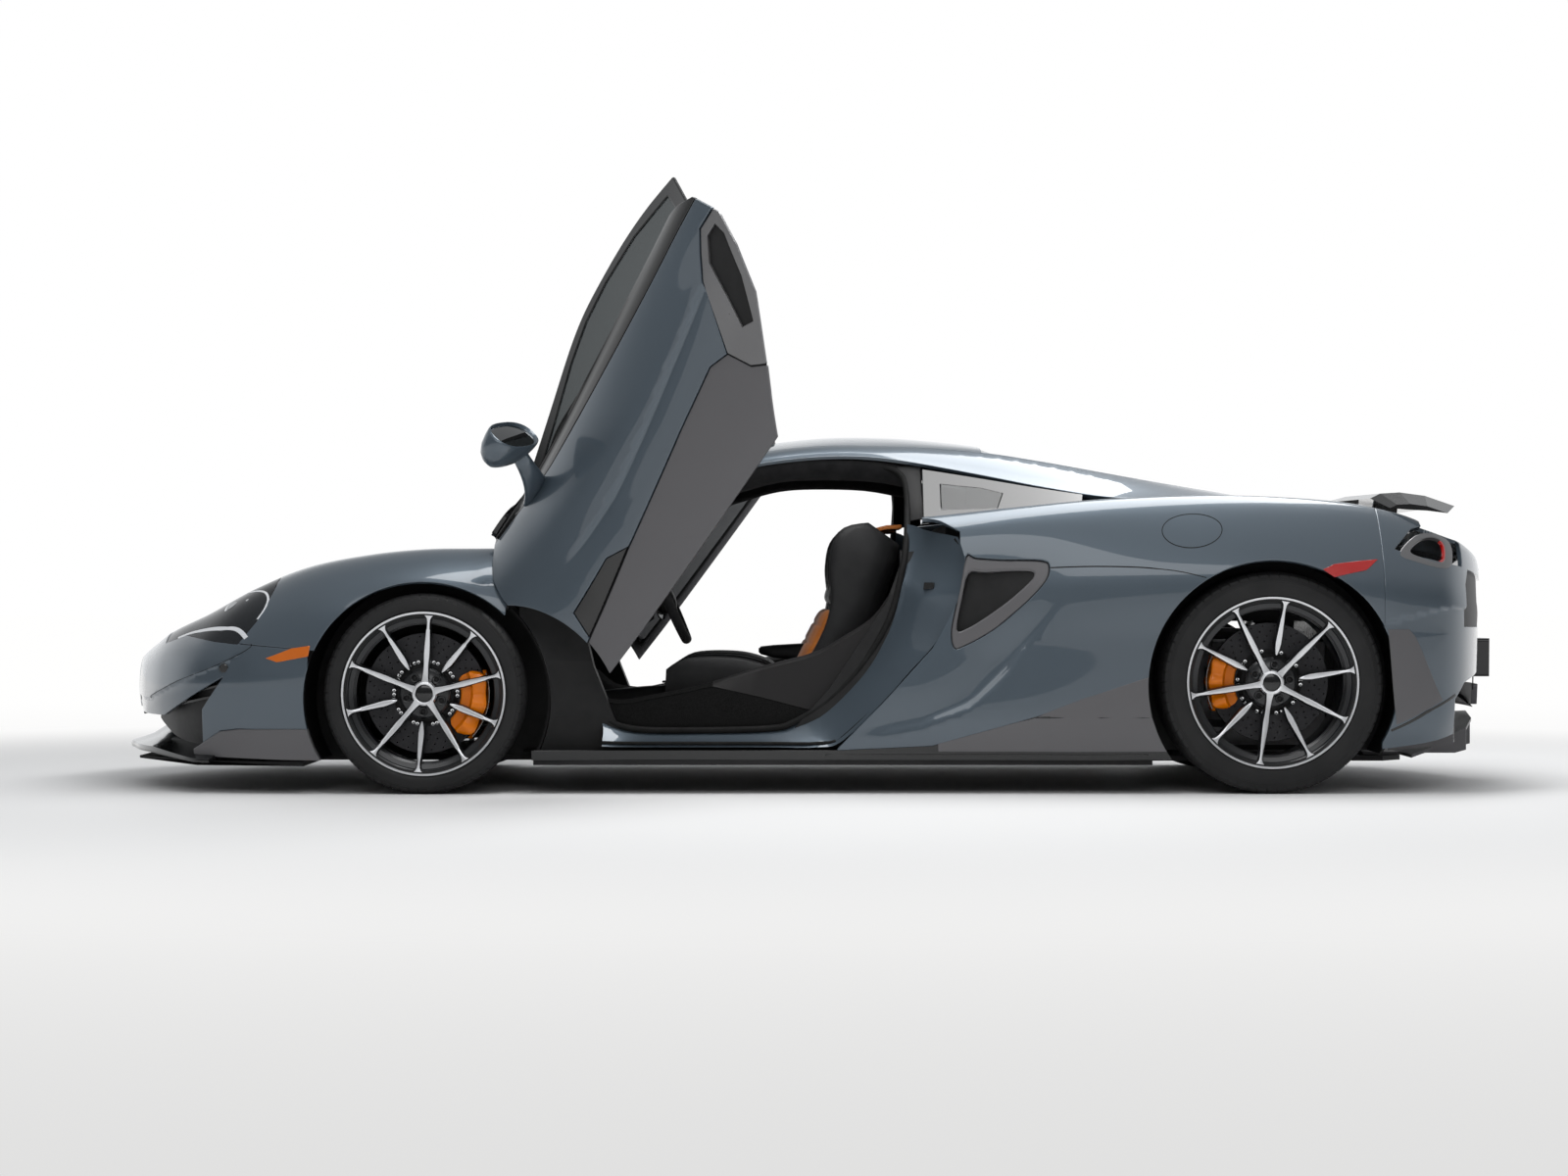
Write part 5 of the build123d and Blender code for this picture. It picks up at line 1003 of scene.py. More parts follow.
end_rim = body_surface(np.full(40, end_x), np.linspace(0.02, 2 * CENTRE_V - 0.02, 40))
face_outline = [(p[1] * 0.995, p[2]) for p in end_rim]
face_outline = anticlockwise(face_outline)
pipes = [circle(s * 0.15, 0.56, 0.063, 40) for s in (-1, 1)]
grid_face = on_tail("tail_mesh", face_outline, MESH, 0.0, 0.004, 0.03, pipes)
middle(grid_face, "root", "dark_trim", "rear_bumper")
band = on_tail("tail_band", [(-0.3, 0.655), (0.3, 0.655), (0.292, 0.706), (-0.292, 0.706)], PAINT, 0.008, 0.012)
middle(band, "root", "body_paint")
plate = on_tail("plate_plinth", [(-0.165, 0.352), (0.165, 0.352), (0.172, 0.48), (-0.172, 0.48)], GLOSS_BLACK, 0.068,
                0.06)
middle(plate, "root", "dark_trim", "rear_bumper")
lower = on_tail("tail_lower", [(-0.27, 0.262), (0.27, 0.262), (0.3, 0.33), (-0.3, 0.33)], SATIN, 0.014, 0.02)
middle(lower, "root", "dark_trim")

# ---------------------------------------------------------------- tail lamps
parts = [panel("tail_housing_l", body_surface, trim(TAIL_CUT, []), 0.004, 0.016, 0.0008, 0.012, GLOSS_BLACK)]
ring = curved(((1.856, 0.632), (1.9, 0.684), (1.95, 0.722), (2.0, 0.744), (2.04, 0.736), (2.046, 0.69), (2.03, 0.64),
               (1.99, 0.622), (1.92, 0.62)), per=5)
inner_ring = [tuple(np.array((1.965, 0.675)) + (np.array(p) - np.array((1.965, 0.675))) * 0.66) for p in ring]
parts.append(panel("tail_ring_l", body_surface, trim(anticlockwise(ring), [inner_ring]), 0.014, 0.014, 0.002, -0.001,
                   LAMP_RING))
glow = [tuple(np.array((1.965, 0.675)) + (np.array(p) - np.array((1.965, 0.675))) * 0.64) for p in ring[18:34]]
parts.append(panel("tail_glow_l", body_surface, trim(ribbon(glow, 0.008), []), 0.01, 0.014, 0.001, 0.001, RED))
on_root(joined("tail_lamp_l", parts), "tail_lamp", "tail_lamp", ["tail_lamps"])


# ---------------------------------------------------------------- roof, pillars and buttresses
def buttress_surface(x, v):
    x, v = np.atleast_1d(x).astype(float), np.atleast_1d(v).astype(float)
    c, b = between_stations(CABIN, x), between_stations(BODY, x)
    top = np.maximum(c[:, 3] - 0.026, b[:, 11])
    ys = np.stack([-c[:, 2], 0 * x - 0.446, 0 * x - 0.436, 0 * x - 0.436], axis=1)
    zs = np.stack([c[:, 3], top, top - 0.012, b[:, 11] - 0.046], axis=1)
    s = np.clip(v, 0, 3)
    i = np.clip(s.astype(int), 0, 2)
    f = s - i
    n = np.arange(len(x))
    return np.stack([x, ys[n, i] * (1 - f) + ys[n, i + 1] * f, zs[n, i] * (1 - f) + zs[n, i + 1] * f], axis=1)


loops = trim(rectangle(-0.866, 1.95, RAIL_V, SHOULDER_V), [])
rail = panel("roof_rail_l", cabin_surface, loops, wall=0.012, cell=0.02, material=PAINT)
on_root(rail, "roof_rail", "body_paint", ["roof"])
loops = trim(rectangle(-0.19, 0.56, SHOULDER_V, 2 * TOP_V - SHOULDER_V), [])
roof_skin = panel("roof_skin", cabin_surface, loops, wall=0.024, cell=0.025, roll=0.0004, material=PAINT)
middle(roof_skin, "root", "body_paint", "roof")
loops = trim(rectangle(0.56, 1.95, 0.0, 3.0), [])
buttress = panel("buttress_l", buttress_surface, loops, wall=0.02, cell=0.03, roll=0.0004, material=PAINT)
on_root(buttress, "buttress", "body_paint", ["roof"])
header = panel("roof_lining", cabin_surface, trim(rectangle(-0.17, 0.54, SHOULDER_V + 0.02,
                                                            2 * TOP_V - SHOULDER_V - 0.02), []),
               wall=0.004, cell=0.04, depth=0.026, material=SUEDE)
middle(header, "root", "interior")

# ---------------------------------------------------------------- windows
whole = rectangle(-0.862, -0.1905, SHOULDER_V + 0.004, 2 * TOP_V - SHOULDER_V - 0.004)
windscreen = panel("windscreen_glass", cabin_surface, trim(whole, []), wall=0.006, cell=0.03, material=GLASS)
middle(windscreen, "root", "window_glass", "windscreen")
border = trim(whole, [rectangle(-0.8, -0.225, SHOULDER_V + 0.03, 2 * TOP_V - SHOULDER_V - 0.03)])
frit = panel("windscreen_border", cabin_surface, border, 0.001, 0.04, 0.0001, 0.0062, BLACK_TRIM)
middle(frit, "root", "dark_trim")


def belt_surface(x, v):
    """The plane of the side windows, from the belt line at 0 to the roof rail at 1."""
    x, v = np.atleast_1d(x).astype(float), np.atleast_1d(v).astype(float)
    c, b = between_stations(CABIN, x), between_stations(BODY, x)
    y = -b[:, 10] * (1 - v) - c[:, 0] * v
    z = b[:, 11] * (1 - v) + c[:, 1] * v
    return np.stack([x, y, z], axis=1)


def rear_glass_surface(x, v):
    """Rear window between the buttresses, v from one edge to the other."""
    x, v = np.atleast_1d(x).astype(float), np.atleast_1d(v).astype(float)
    t = (x - 0.56) / 0.59
    edge_z, top_z = 1.092 - 0.208 * t, 1.126 - 0.234 * t
    return np.stack([x, v, top_z + (edge_z - top_z) * (v / 0.4357) ** 2], axis=1)


loops = trim(rectangle(0.5603, 1.15, -0.4357, 0.4357), [])
rear_glass = panel("rear_glass", rear_glass_surface, loops, wall=0.006, cell=0.04, material=GLASS)
middle(rear_glass, "root", "window_glass", "rear_window")
quarter_zone = on_side(((0.362, 0.86), (0.362, 1.06), (0.9, 1.06), (0.86, 0.86)), belt_surface, (0.0, 1.0))
light = on_side(((0.42, 0.9), (0.42, 0.985), (0.55, 0.972), (0.62, 0.955), (0.6, 0.905)), belt_surface, (0.0, 1.0))
loops = trim(rectangle(0.362, 0.9, 0.02, 0.9), [light], [quarter_zone])
quarter_glass = panel("quarter_glass_l", belt_surface, loops, wall=0.006, cell=0.03, material=GLOSS_BLACK)
on_root(quarter_glass, "quarter_glass", "window_glass", ["quarter_windows"])
quarter_light = panel("quarter_light_l", belt_surface, trim(light, []), wall=0.004, depth=0.001, cell=0.03,
                      material=GLASS)
on_root(quarter_light, "quarter_light", "window_glass", ["quarter_windows"])


# ---------------------------------------------------------------- engine cover
def cover_surface(x, v):
    x, v = np.atleast_1d(x).astype(float), np.atleast_1d(v).astype(float)
    b = between_stations(BODY, x)
    edge = np.minimum(b[:, 11] - 0.022, b[:, 12] + 0.012)
    return np.stack([x, v, b[:, 12] + (edge - b[:, 12]) * (v / 0.4354) ** 2], axis=1)


openings = [dense([(x, -0.33), (x + 0.045, -0.33), (x + 0.045, 0.33), (x, 0.33)]) for x in np.arange(1.24, 1.7,
    0.075)]
loops = trim(rectangle(1.1506, 1.95, -0.4354, 0.4354), openings)
cover = panel("engine_cover_skin", cover_surface, loops, material=PAINT)
middle(cover, "root", "dark_trim", "engine_cover")
for k, x in enumerate(np.arange(1.24, 1.7, 0.075)):
    base = cover_surface(x + 0.02, 0.0)[0]
    sections = [[(x - 0.004, y, base[2] + 0.001), (x + 0.05, y, base[2] - 0.022), (x + 0.05, y, base[2] - 0.026),
                 (x - 0.004, y, base[2] - 0.004)]
                for y in (-0.334, 0.334)]
    middle(loft(f"louvre_{k}", sections, BLACK_TRIM), "root", "dark_trim")

# ---------------------------------------------------------------- doors, laid out closed and then raised
DOOR_SATIN = (
    (-1.0, 0.22), (-0.835, 0.263), (-0.525, 0.337), (-0.115, 0.417), (0.095, 0.452), (0.165, 0.428), (0.28, 0.628),
    (0.345, 0.69), (0.4, 0.735), (0.6, 0.735), (0.6, 0.05), (-1.0, 0.05),
)
DOOR_END = ((0.165, 0.428), (0.28, 0.628), (0.345, 0.69), (0.4, 0.735), (0.6, 0.735), (0.6, 0.3), (0.25, 0.28),
            (0.19, 0.34))
DOOR_TRIANGLE = ((-0.525, 0.337), (-0.605, 0.375), (-0.81, 0.353), (-0.835, 0.263))
DOOR_CREASE = ((-0.95, 0.392), (-0.62, 0.402), (-0.44, 0.418), (-0.25, 0.456), (-0.025, 0.502), (0.265, 0.552),
               (0.5, 0.59))


def door_relief(x, v):
    """The flank below the crease line is hollowed, deepest just under the line."""
    line = np.interp(x, [p[0] for p in DOOR_CREASE], [p[1] for p in DOOR_CREASE])
    below = np.clip((line - v) / 0.012, 0, 1)
    fade = np.exp(-np.clip(line - v, 0, 1) / 0.11)
    ahead = np.clip((x + 0.72) / 0.25, 0, 1)
    return 0.011 * below * fade * ahead


def shifted(line, amount):
    return [(x, v + amount) for x, v in line]


def on_door(piece, base, slot, *nodes):
    """Raises a left door piece and mirrors it, riding on the two doors."""
    return on_both_sides(raise_door(piece), base, "door_left", "door_right", slot, nodes or ["door_*"])


outline = on_side(DOOR_OUTLINE)
satin_cut = on_side(DOOR_SATIN)
triangle_cut = on_side(DOOR_TRIANGLE)
end_cut = on_side(DOOR_END)
WAIST_LINE = ((-1.0, 0.752), (-0.8, 0.74), (-0.55, 0.715), (0.0, 0.705), (0.3, 0.7), (0.6, 0.69))
below_waist = dense([(-1.0, SILL_V), (0.6, SILL_V), *shifted(WAIST_LINE[::-1], -0.002)])
above_waist = dense([(-1.0, DECK_V), *shifted(WAIST_LINE, 0.002), (0.6, DECK_V)])
whole = rectangle(-0.965, 0.49, SILL_V, DECK_V)
loops = trim(whole, [FRONT_ARCH_CUT, satin_cut, triangle_cut], [outline, below_waist])
creases = [shifted(DOOR_CREASE, step) for step in (0.004, 0.0, -0.006, -0.012, -0.016)]
on_door(panel("door_skin_l", body_surface, loops, cell=0.018, material=PAINT, relief=door_relief, creases=creases),
        "door_skin", "body_paint")
loops = trim(whole, [], [outline, above_waist])
on_door(panel("door_waist_l", body_surface, loops, cell=0.022, material=GLOSS_BLACK, depth=0.001), "door_waist",
        "dark_trim")
satin_zone = trim(whole, [FRONT_ARCH_CUT, end_cut], [outline, satin_cut])
satin_zone = [[tuple(p) for p in shrink(loop, 0.0025)] for loop in satin_zone]
on_door(panel("door_satin_l", body_surface, satin_zone, 0.01, 0.02, 0.0012, 0.009, SATIN), "door_satin", "dark_trim")
triangle_zone = trim(whole, [], [outline, [tuple(p) for p in shrink(anticlockwise(triangle_cut), 0.003)]])
on_door(panel("door_triangle_l", body_surface, triangle_zone, 0.01, 0.02, 0.001, 0.003, GLOSS_BLACK), "door_triangle",
        "dark_trim")
end_zone = trim(whole, [], [outline, end_cut])
end_zone = [[tuple(p) for p in shrink(loop, 0.003)] for loop in end_zone]
end_hole = on_side(((0.262, 0.435), (0.302, 0.415), (0.385, 0.53), (0.447, 0.655), (0.447, 0.7), (0.4, 0.7),
                    (0.34, 0.645), (0.3, 0.53)))
end_zone = trim(end_zone[0], [end_hole])
on_door(panel("door_end_l", body_surface, end_zone, 0.01, 0.02, 0.001, 0.005, LAMP_RING), "door_end", "dark_trim")
on_door(panel("door_end_well_l", body_surface, trim(grown(anticlockwise(end_hole), 0.004), []), 0.004, 0.02, 0.001,
              0.017, SATIN),
        "door_end_well", "dark_trim")
loops = trim(rectangle(-0.9, 0.42, SILL_V, DECK_V), [FRONT_ARCH_CUT],
             [on_side(grown(list(DOOR_INNER_OUTLINE), -0.03))])
card = panel("door_card_l", body_surface, loops, wall=0.058, depth=0.0192, cell=0.03, roll=0.004, material=CARD)
on_door(card, "door_card", "interior")
on_door(panel("door_under_l", body_surface, trim([tuple(p) for p in shrink(anticlockwise(outline), 0.006)],
                                                 [FRONT_ARCH_CUT]),
              0.003, 0.03, 0.0004, 0.0145, BLACK_TRIM), "door_under", "dark_trim")
rim_line = [surface_point(body_surface, x, min(v, DECK_V), 0.028) for x,
            v in on_side(grown(list(DOOR_INNER_OUTLINE), -0.016))[::2]]
on_door(tube("door_seal_l", rim_line, 0.0085, SEAL, True, 8), "door_seal", "dark_trim")

window_cut = on_side(WINDOW_OUTLINE, belt_surface, (0.0, 1.0))
frame_zone = on_side(FRAME_OUTLINE, belt_surface, (0.0, 1.0))
loops = trim(rectangle(-0.862, 0.352, -0.15, 0.932), [window_cut], [frame_zone])
on_door(panel("door_frame_l", belt_surface, loops, wall=0.011, cell=0.02, roll=0.003, material=GLOSS_BLACK),
        "door_frame", "body_paint")
on_door(panel("door_glass_l", belt_surface, trim(window_cut, []), wall=0.005, depth=0.005, cell=0.03, material=GLASS),
        "door_glass", "window_glass", "door_glass_*")


# ---------------------------------------------------------------- mirrors
def oval(x, centre, width, height, count=28, power=2.5):
    """A rounded-corner section across the car."""
    out = []
    for k in range(count):
        c, s = math.cos(2 * math.pi * k / count), math.sin(2 * math.pi * k / count)
        out.append((x, centre[0] + width / 2 * math.copysign(abs(c) ** (2 / power), c),
                    centre[1] + height / 2 * math.copysign(abs(s) ** (2 / power), s)))
    return out


MIRROR_SHELL = ((-0.594, 0.02, 0.012), (-0.588, 0.07, 0.036), (-0.575, 0.126, 0.064), (-0.556, 0.172, 0.09),
                (-0.53, 0.204, 0.109),
                (-0.505, 0.217, 0.118), (-0.488, 0.22, 0.121), (-0.4815, 0.218, 0.119), (-0.48, 0.212, 0.114),
                (-0.4825, 0.206, 0.108),
                (-0.49, 0.2, 0.102))
shell = loft("mirror_shell", [oval(x, (-0.985 + 0.3 * (x + 0.49), 0.826 + 0.1 * (x + 0.52)), w, h) for x, w,
                              h in MIRROR_SHELL], PAINT, angle=50)
on_door(shell, "mirror_shell", "body_paint", "mirror_*")
glass = loft("mirror_glass", [oval(x, (-0.985, 0.829), w, h) for x, w,
                              h in ((-0.4925, 0.2, 0.102), (-0.4885, 0.196, 0.098), (-0.488, 0.19, 0.092))],
             MIRROR, angle=50)
on_door(glass, "mirror_glass", "dark_trim", "mirror_*")
base = surface_point(body_surface, -0.665, 0.725, 0.006)
arm_rows = []
for t in np.linspace(0, 1, 9):
    centre = Vector((-0.548, -0.93, 0.79)).lerp(base, t) + Vector((0, 0, -0.018 * math.sin(math.pi * t)))
    chord, thick = 0.032 + 0.036 * t**1.5, 0.014 + 0.004 * t
    arm_rows.append([tuple(centre + Vector((chord * math.cos(a) * 0.85 - 0.3 * thick * math.sin(a),
                                            0.15 * chord * math.cos(a), thick * math.sin(a))))
                     for a in (2 * math.pi * k / 20 for k in range(20))])
on_door(loft("mirror_arm", arm_rows, PAINT, angle=60), "mirror_arm", "body_paint", "mirror_*")

# ---------------------------------------------------------------- steering wheel, column and stalks
STEERING_TILT = math.radians(24)
COLUMN = Vector((math.cos(STEERING_TILT), 0.0, math.sin(STEERING_TILT)))
WHEEL_UP = Vector((-math.sin(STEERING_TILT), 0.0, math.cos(STEERING_TILT)))
WHEEL_CENTRE = Vector((-0.47, -0.37, 0.62))


def on_wheel_plane(across, up, out):
    return tuple(WHEEL_CENTRE + Vector((0, across, 0)) + WHEEL_UP * up + COLUMN * out)


rows = []
for k in range(72):
    a = 2 * math.pi * k / 72
    flat = 1 - 0.06 * max(0, -math.sin(a)) ** 6
    grip = 0.0138 + 0.002 * max(0, abs(math.cos(a)) - 0.6)
    rows.append([on_wheel_plane((0.166 + grip * math.cos(b)) * math.cos(a),
                                (0.166 + grip * math.cos(b)) * math.sin(a) * flat, 1.15 * grip * math.sin(b))
                 for b in (2 * math.pi * i / 14 for i in range(14))])
parts = [loft("wheel_rim_grip", [*rows, rows[0]], SUEDE, caps=False, angle=80)]
for turn in (0, 180, 270):
    a = math.radians(turn)
    for lean in ((-1, 1) if turn == 270 else (0,)):
        sections = []
        for r, half, deep in ((0.03, 0.021, 0.004), (0.06, 0.017, -0.002), (0.1, 0.0125, -0.006),
                              (0.14, 0.012, -0.004), (0.162, 0.0165, 0.0)):
            if turn == 270:
                half *= 0.5
            mid = (r * math.cos(a) + lean * (0.018 - 0.02 * r), r * math.sin(a) * 0.94)
            side = (-math.sin(a), math.cos(a))
            sections.append([on_wheel_plane(mid[0] + side[0] * s, mid[1] + side[1] * s, deep + o)
                             for s, o in ((-half, -0.004), (-half * 0.6, 0.005), (half * 0.6, 0.005), (half, -0.004),
                                          (0.0, -0.009))])
        parts.append(loft("wheel_spoke", sections, GLOSS_BLACK, angle=50))
for side in (-1, 1):
    sections = [[on_wheel_plane(side * across + 0.004 * o, up, -0.03 - 0.25 * (across - 0.07) + o) for up,
                 o in ((-low, 0), (-low, -0.005), (low, -0.005), (low, 0))]
                for across, low in ((0.07, 0.02), (0.09, 0.05), (0.12, 0.062), (0.135, 0.05))]
    parts.append(loft("wheel_paddle", sections, GLOSS_BLACK, angle=50))
collar = [[on_wheel_plane(r * math.cos(a), r * math.sin(a), out) for a in (2 * math.pi * i / 28 for i in range(28))]
          for out, r in ((-0.002, 0.036), (-0.02, 0.05), (-0.05, 0.046), (-0.056, 0.03))]
parts.append(loft("wheel_collar", collar, BLACK_TRIM, angle=50))
middle(joined("steering_rim", parts), "steering_wheel", "interior", "steering_wheel")
boss = [[on_wheel_plane(w * math.copysign(abs(math.cos(a)) ** 0.7, math.cos(a)),
                        h * math.copysign(abs(math.sin(a)) ** 0.7, math.sin(a)), out)
         for a in (2 * math.pi * i / 32 for i in range(32))]
        for out, w, h in ((-0.008, 0.05, 0.045), (0.003, 0.055, 0.05), (0.011, 0.052, 0.047), (0.017, 0.044, 0.039),
                          (0.0205, 0.03, 0.026), (0.0218, 0.014, 0.012),
                          (0.022, 0.003, 0.003))]
boss = loft("steering_boss", boss, LEATHER, angle=70)
middle(boss, "steering_wheel", "interior", "steering_wheel")
shroud = [[on_wheel_plane(w * math.copysign(abs(math.cos(a)) ** 0.6, math.cos(a)),
                          h * math.copysign(abs(math.sin(a)) ** 0.6, math.sin(a)) - drop, out)
           for a in (2 * math.pi * i / 28 for i in range(28))]
          for out, w, h, drop in ((-0.062, 0.046, 0.036, 0.0), (-0.07, 0.054, 0.046, 0.002),
                                  (-0.1, 0.057, 0.05, 0.004), (-0.15, 0.054, 0.05, 0.006),
                                  (-0.2, 0.05, 0.046, 0.006))]
parts = [loft("column_shroud", shroud, BLACK_TRIM, angle=50)]
for side, up in ((-1, 0.004), (1, 0.004)):
    rod = [Vector(on_wheel_plane(side * across, up + 0.1 * across, -0.092 + 0.12 * across)) for across in (0.04, 0.08,
        0.115, 0.135)]
    parts.append(tube("stalk", rod, 0.0065, GLOSS_BLACK, sides=10))
middle(joined("column_shroud", parts), "root", "interior")

# ---------------------------------------------------------------- shut faces and seals round the door apertures
SEAL_PATH = (
    (-0.756, -0.79, 0.62), (-0.742, -0.806, 0.5), (-0.735, -0.81, 0.4), (-0.712, -0.811, 0.306),
    (-0.66, -0.812, 0.237),
    (-0.56, -0.812, 0.2), (-0.35, -0.812, 0.196), (-0.13, -0.812, 0.202), (-0.054, -0.812, 0.222),
    (0.047, -0.812, 0.284),
    (0.14, -0.812, 0.376), (0.211, -0.812, 0.477), (0.257, -0.81, 0.57), (0.289, -0.8, 0.695), (0.306, -0.752, 0.8),
    (0.311, -0.69, 0.88), (0.312, -0.63, 0.955), (0.3, -0.594, 1.008), (0.262, -0.576, 1.036), (0.18, -0.566, 1.05),
    (0.02, -0.562, 1.054), (-0.1, -0.566, 1.046), (-0.21, -0.58, 1.02), (-0.328, -0.596, 0.98), (-0.5, -0.622, 0.908),
    (-0.68, -0.656, 0.83), (-0.79, -0.7, 0.775), (-0.785, -0.75, 0.71),
)
SHUT_OUTER = (
    (-0.66, 0.146), (-0.56, 0.144), (-0.35, 0.144), (-0.13, 0.144), (0.02, 0.144), (0.1, 0.165), (0.235, 0.3),
    (0.31, 0.385),
    (0.384, 0.466), (0.427, 0.54), (0.457, 0.6), (0.482, 0.66), (0.492, 0.712), (0.486, 0.765), (0.462, 0.815),
)
SHUT_INNER = (
    (-0.66, 0.232), (-0.56, 0.19), (-0.35, 0.186), (-0.13, 0.192), (-0.054, 0.212), (0.045, 0.272), (0.14, 0.36),
    (0.211, 0.46),
    (0.259, 0.556), (0.276, 0.62), (0.291, 0.685), (0.301, 0.74), (0.306, 0.78), (0.309, 0.815), (0.31, 0.85),
)


def flank_point(x, z, depth):
    v = on_side([(x, z), (x + 1e-5, z), (x, z + 1e-5)])[0][1]
    return surface_point(body_surface, x, v, depth)


def smooth_line(points, per=5):
    return [Vector(p) for p in curved(points, False, per)]


outer = curved(SHUT_OUTER, False, 4)
inner = curved(SHUT_INNER, False, 4)
sections = []
for (xo, zo), (xi, zi) in zip(outer, inner):
    a = flank_point(xo, zo, 0.017)
    b = Vector((xi, -0.812 + max(0.0, zi - 0.66) * 0.42, zi))
    out = Vector((0.35, -0.75, -0.55)).normalized()
    rows = [a + Vector((0.004, 0.03, 0.002)), a]
    for t, lift in ((0.12, 0.0), (0.3, 0.003), (0.5, 0.006), (0.68, 0.006), (0.8, -0.006), (0.9, -0.008),
                    (1.0, -0.004)):
        rows.append(a.lerp(b, t) + out * lift)
    rows.append(b + Vector((-0.004, 0.03, 0.0)))
    sections.append([tuple(p) for p in rows])
shut = loft("shut_face_l", sections, PAINT, closed=False, caps=False, angle=50)
on_root(shut, "shut_face", "body_paint")
seal_path = [p + Vector((0, 0.018 * min(1, max(0, (p.z - 0.78) / 0.12)), 0)) for p in smooth_line(SEAL_PATH)]
on_root(tube("aperture_seal_l", seal_path, 0.0105, SEAL), "aperture_seal", "dark_trim")
edge = [flank_point(x, z, 0.036) + Vector((-0.004, 0, 0.002)) for x, z in outer[16:]]
on_root(tube("shut_seal_l", edge, 0.0125, SEAL), "shut_seal", "dark_trim")
step = [flank_point(x, z, 0.02) + Vector((0, 0.006, 0.012)) for x, z in outer[:20]]
on_root(tube("sill_step_l", step, 0.005, SEAL), "sill_step", "dark_trim")
LATCH_FACE = ((-0.016, -0.011), (0.016, -0.009), (0.018, 0.011), (-0.014, 0.011))
LATCH_ENDS = (-0.014, 0.02)
latch_rings = [[(0.372 + dx, -0.846 + dy, 0.655 + dz) for dx, dz in LATCH_FACE] for dy in LATCH_ENDS]
latch = loft("door_latch_l", latch_rings, GLOSS_BLACK)
on_root(latch, "door_latch", "dark_trim")
pillar = loft("pillar_trim_l", [
    [(0.305, -0.683, 0.86), (0.366, -0.693, 0.872), (0.366, -0.64, 0.872), (0.305, -0.63, 0.86)],
    [(0.305, -0.633, 0.935), (0.364, -0.642, 0.94), (0.364, -0.59, 0.94), (0.305, -0.58, 0.935)],
    [(0.3, -0.584, 1.01), (0.36, -0.578, 1.02), (0.36, -0.53, 1.02), (0.3, -0.53, 1.01)],
    [(0.275, -0.56, 1.045), (0.36, -0.56, 1.05), (0.36, -0.51, 1.05), (0.275, -0.51, 1.045)],
], BLACK_TRIM)
on_root(bevelled(pillar, 0.006), "pillar_trim", "dark_trim")
rail_line = [(0.34, 1.03), (0.2, 1.055), (0.02, 1.06), (-0.1, 1.052), (-0.21, 1.024), (-0.33, 0.984), (-0.5, 0.912),
             (-0.68, 0.834), (-0.82, 0.77)]
sections = []
for x, z in curved(rail_line, False, 4):
    y = -float(between_stations(CABIN, np.array([x]))[0, 0])
    sections.append([(x, y + 0.012, z + 0.004), (x, y + 0.008, z - 0.012), (x, y + 0.03, z - 0.05),
                     (x, y + 0.055, z - 0.06), (x, y + 0.075, z - 0.04),
                     (x, y + 0.08, z + 0.01)])
on_root(loft("rail_trim_l", sections, SUEDE, angle=60), "rail_trim", "interior")

# ---------------------------------------------------------------- sill trim, carpet and bulkhead
SILL_TOP = (
    (-0.76, 0.36), (-0.717, 0.321), (-0.678, 0.302), (-0.6, 0.292), (-0.522, 0.305), (-0.35, 0.34), (-0.157, 0.399),
    (0.008, 0.443),
    (0.101, 0.493), (0.2, 0.56), (0.27, 0.66),
)
SILL_FOOT = (
    (-0.76, 0.2), (-0.717, 0.19), (-0.678, 0.185), (-0.6, 0.18), (-0.522, 0.18), (-0.35, 0.18), (-0.157, 0.185),
    (0.008, 0.23),
    (0.101, 0.32), (0.2, 0.44), (0.27, 0.56),
)
SPLIT = ((-0.8, 0.337), (-0.328, 0.337), (-0.157, 0.299), (0.01, 0.255), (0.3, 0.18))
sections = []
for (xt, zt), (xf, zf) in zip(curved(SILL_TOP, False, 5), curved(SILL_FOOT, False, 5)):
    rows = [(xf, -0.795, zf)]
    cut = float(np.interp(xt, [p[0] for p in SPLIT], [p[1] for p in SPLIT]))
    cut = min(max(cut, zf + 0.004), zt - 0.014)
    rows += [(xt, -0.79, cut - 0.0015), (xt, -0.787, cut), (xt, -0.79, cut + 0.0015), (xt, -0.779, zt - 0.012),
             (xt, -0.768, zt - 0.002),
             (xt, -0.75, zt), (xt, -0.69, zt - 0.004), (xt, -0.645, zt - 0.02), (xt, -0.635, zt - 0.06),
             (xf, -0.63, zf)]
    sections.append(rows)
sill = loft("sill_trim_l", sections, None, closed=False, caps=False, angle=40)
sill.data.materials.append(CARPET)
sill.data.materials.append(SILL_SATIN)
for k, poly in enumerate(sill.data.polygons):
    x = sum(sill.data.vertices[i].co.x for i in poly.vertices) / 4
    poly.material_index = 1 if k % 10 in (3, 4, 5, 6, 7) and x > -0.33 else 0
on_root(sill, "sill_trim", "interior")
bulkhead = loft("bulkhead_trim", [
    [(0.4, -0.6, 0.2), (0.4, 0.6, 0.2), (0.46, 0.6, 0.2), (0.46, -0.6, 0.2)],
    [(0.42, -0.6, 0.6), (0.42, 0.6, 0.6), (0.5, 0.6, 0.6), (0.5, -0.6, 0.6)],
    [(0.44, -0.58, 0.86), (0.44, 0.58, 0.86), (0.52, 0.58, 0.86), (0.52, -0.58, 0.86)],
], SUEDE)
middle(bevelled(bulkhead, 0.012, 3), "root", "interior")
carpet = loft("floor_carpet", [
    [(-0.93, -0.6, 0.125), (-0.93, 0.6, 0.125), (-0.93, 0.6, 0.118), (-0.93, -0.6, 0.118)],
    [(0.4, -0.6, 0.125), (0.4, 0.6, 0.125), (0.4, 0.6, 0.118), (0.4, -0.6, 0.118)],
], CARPET)
middle(carpet, "root", "interior")
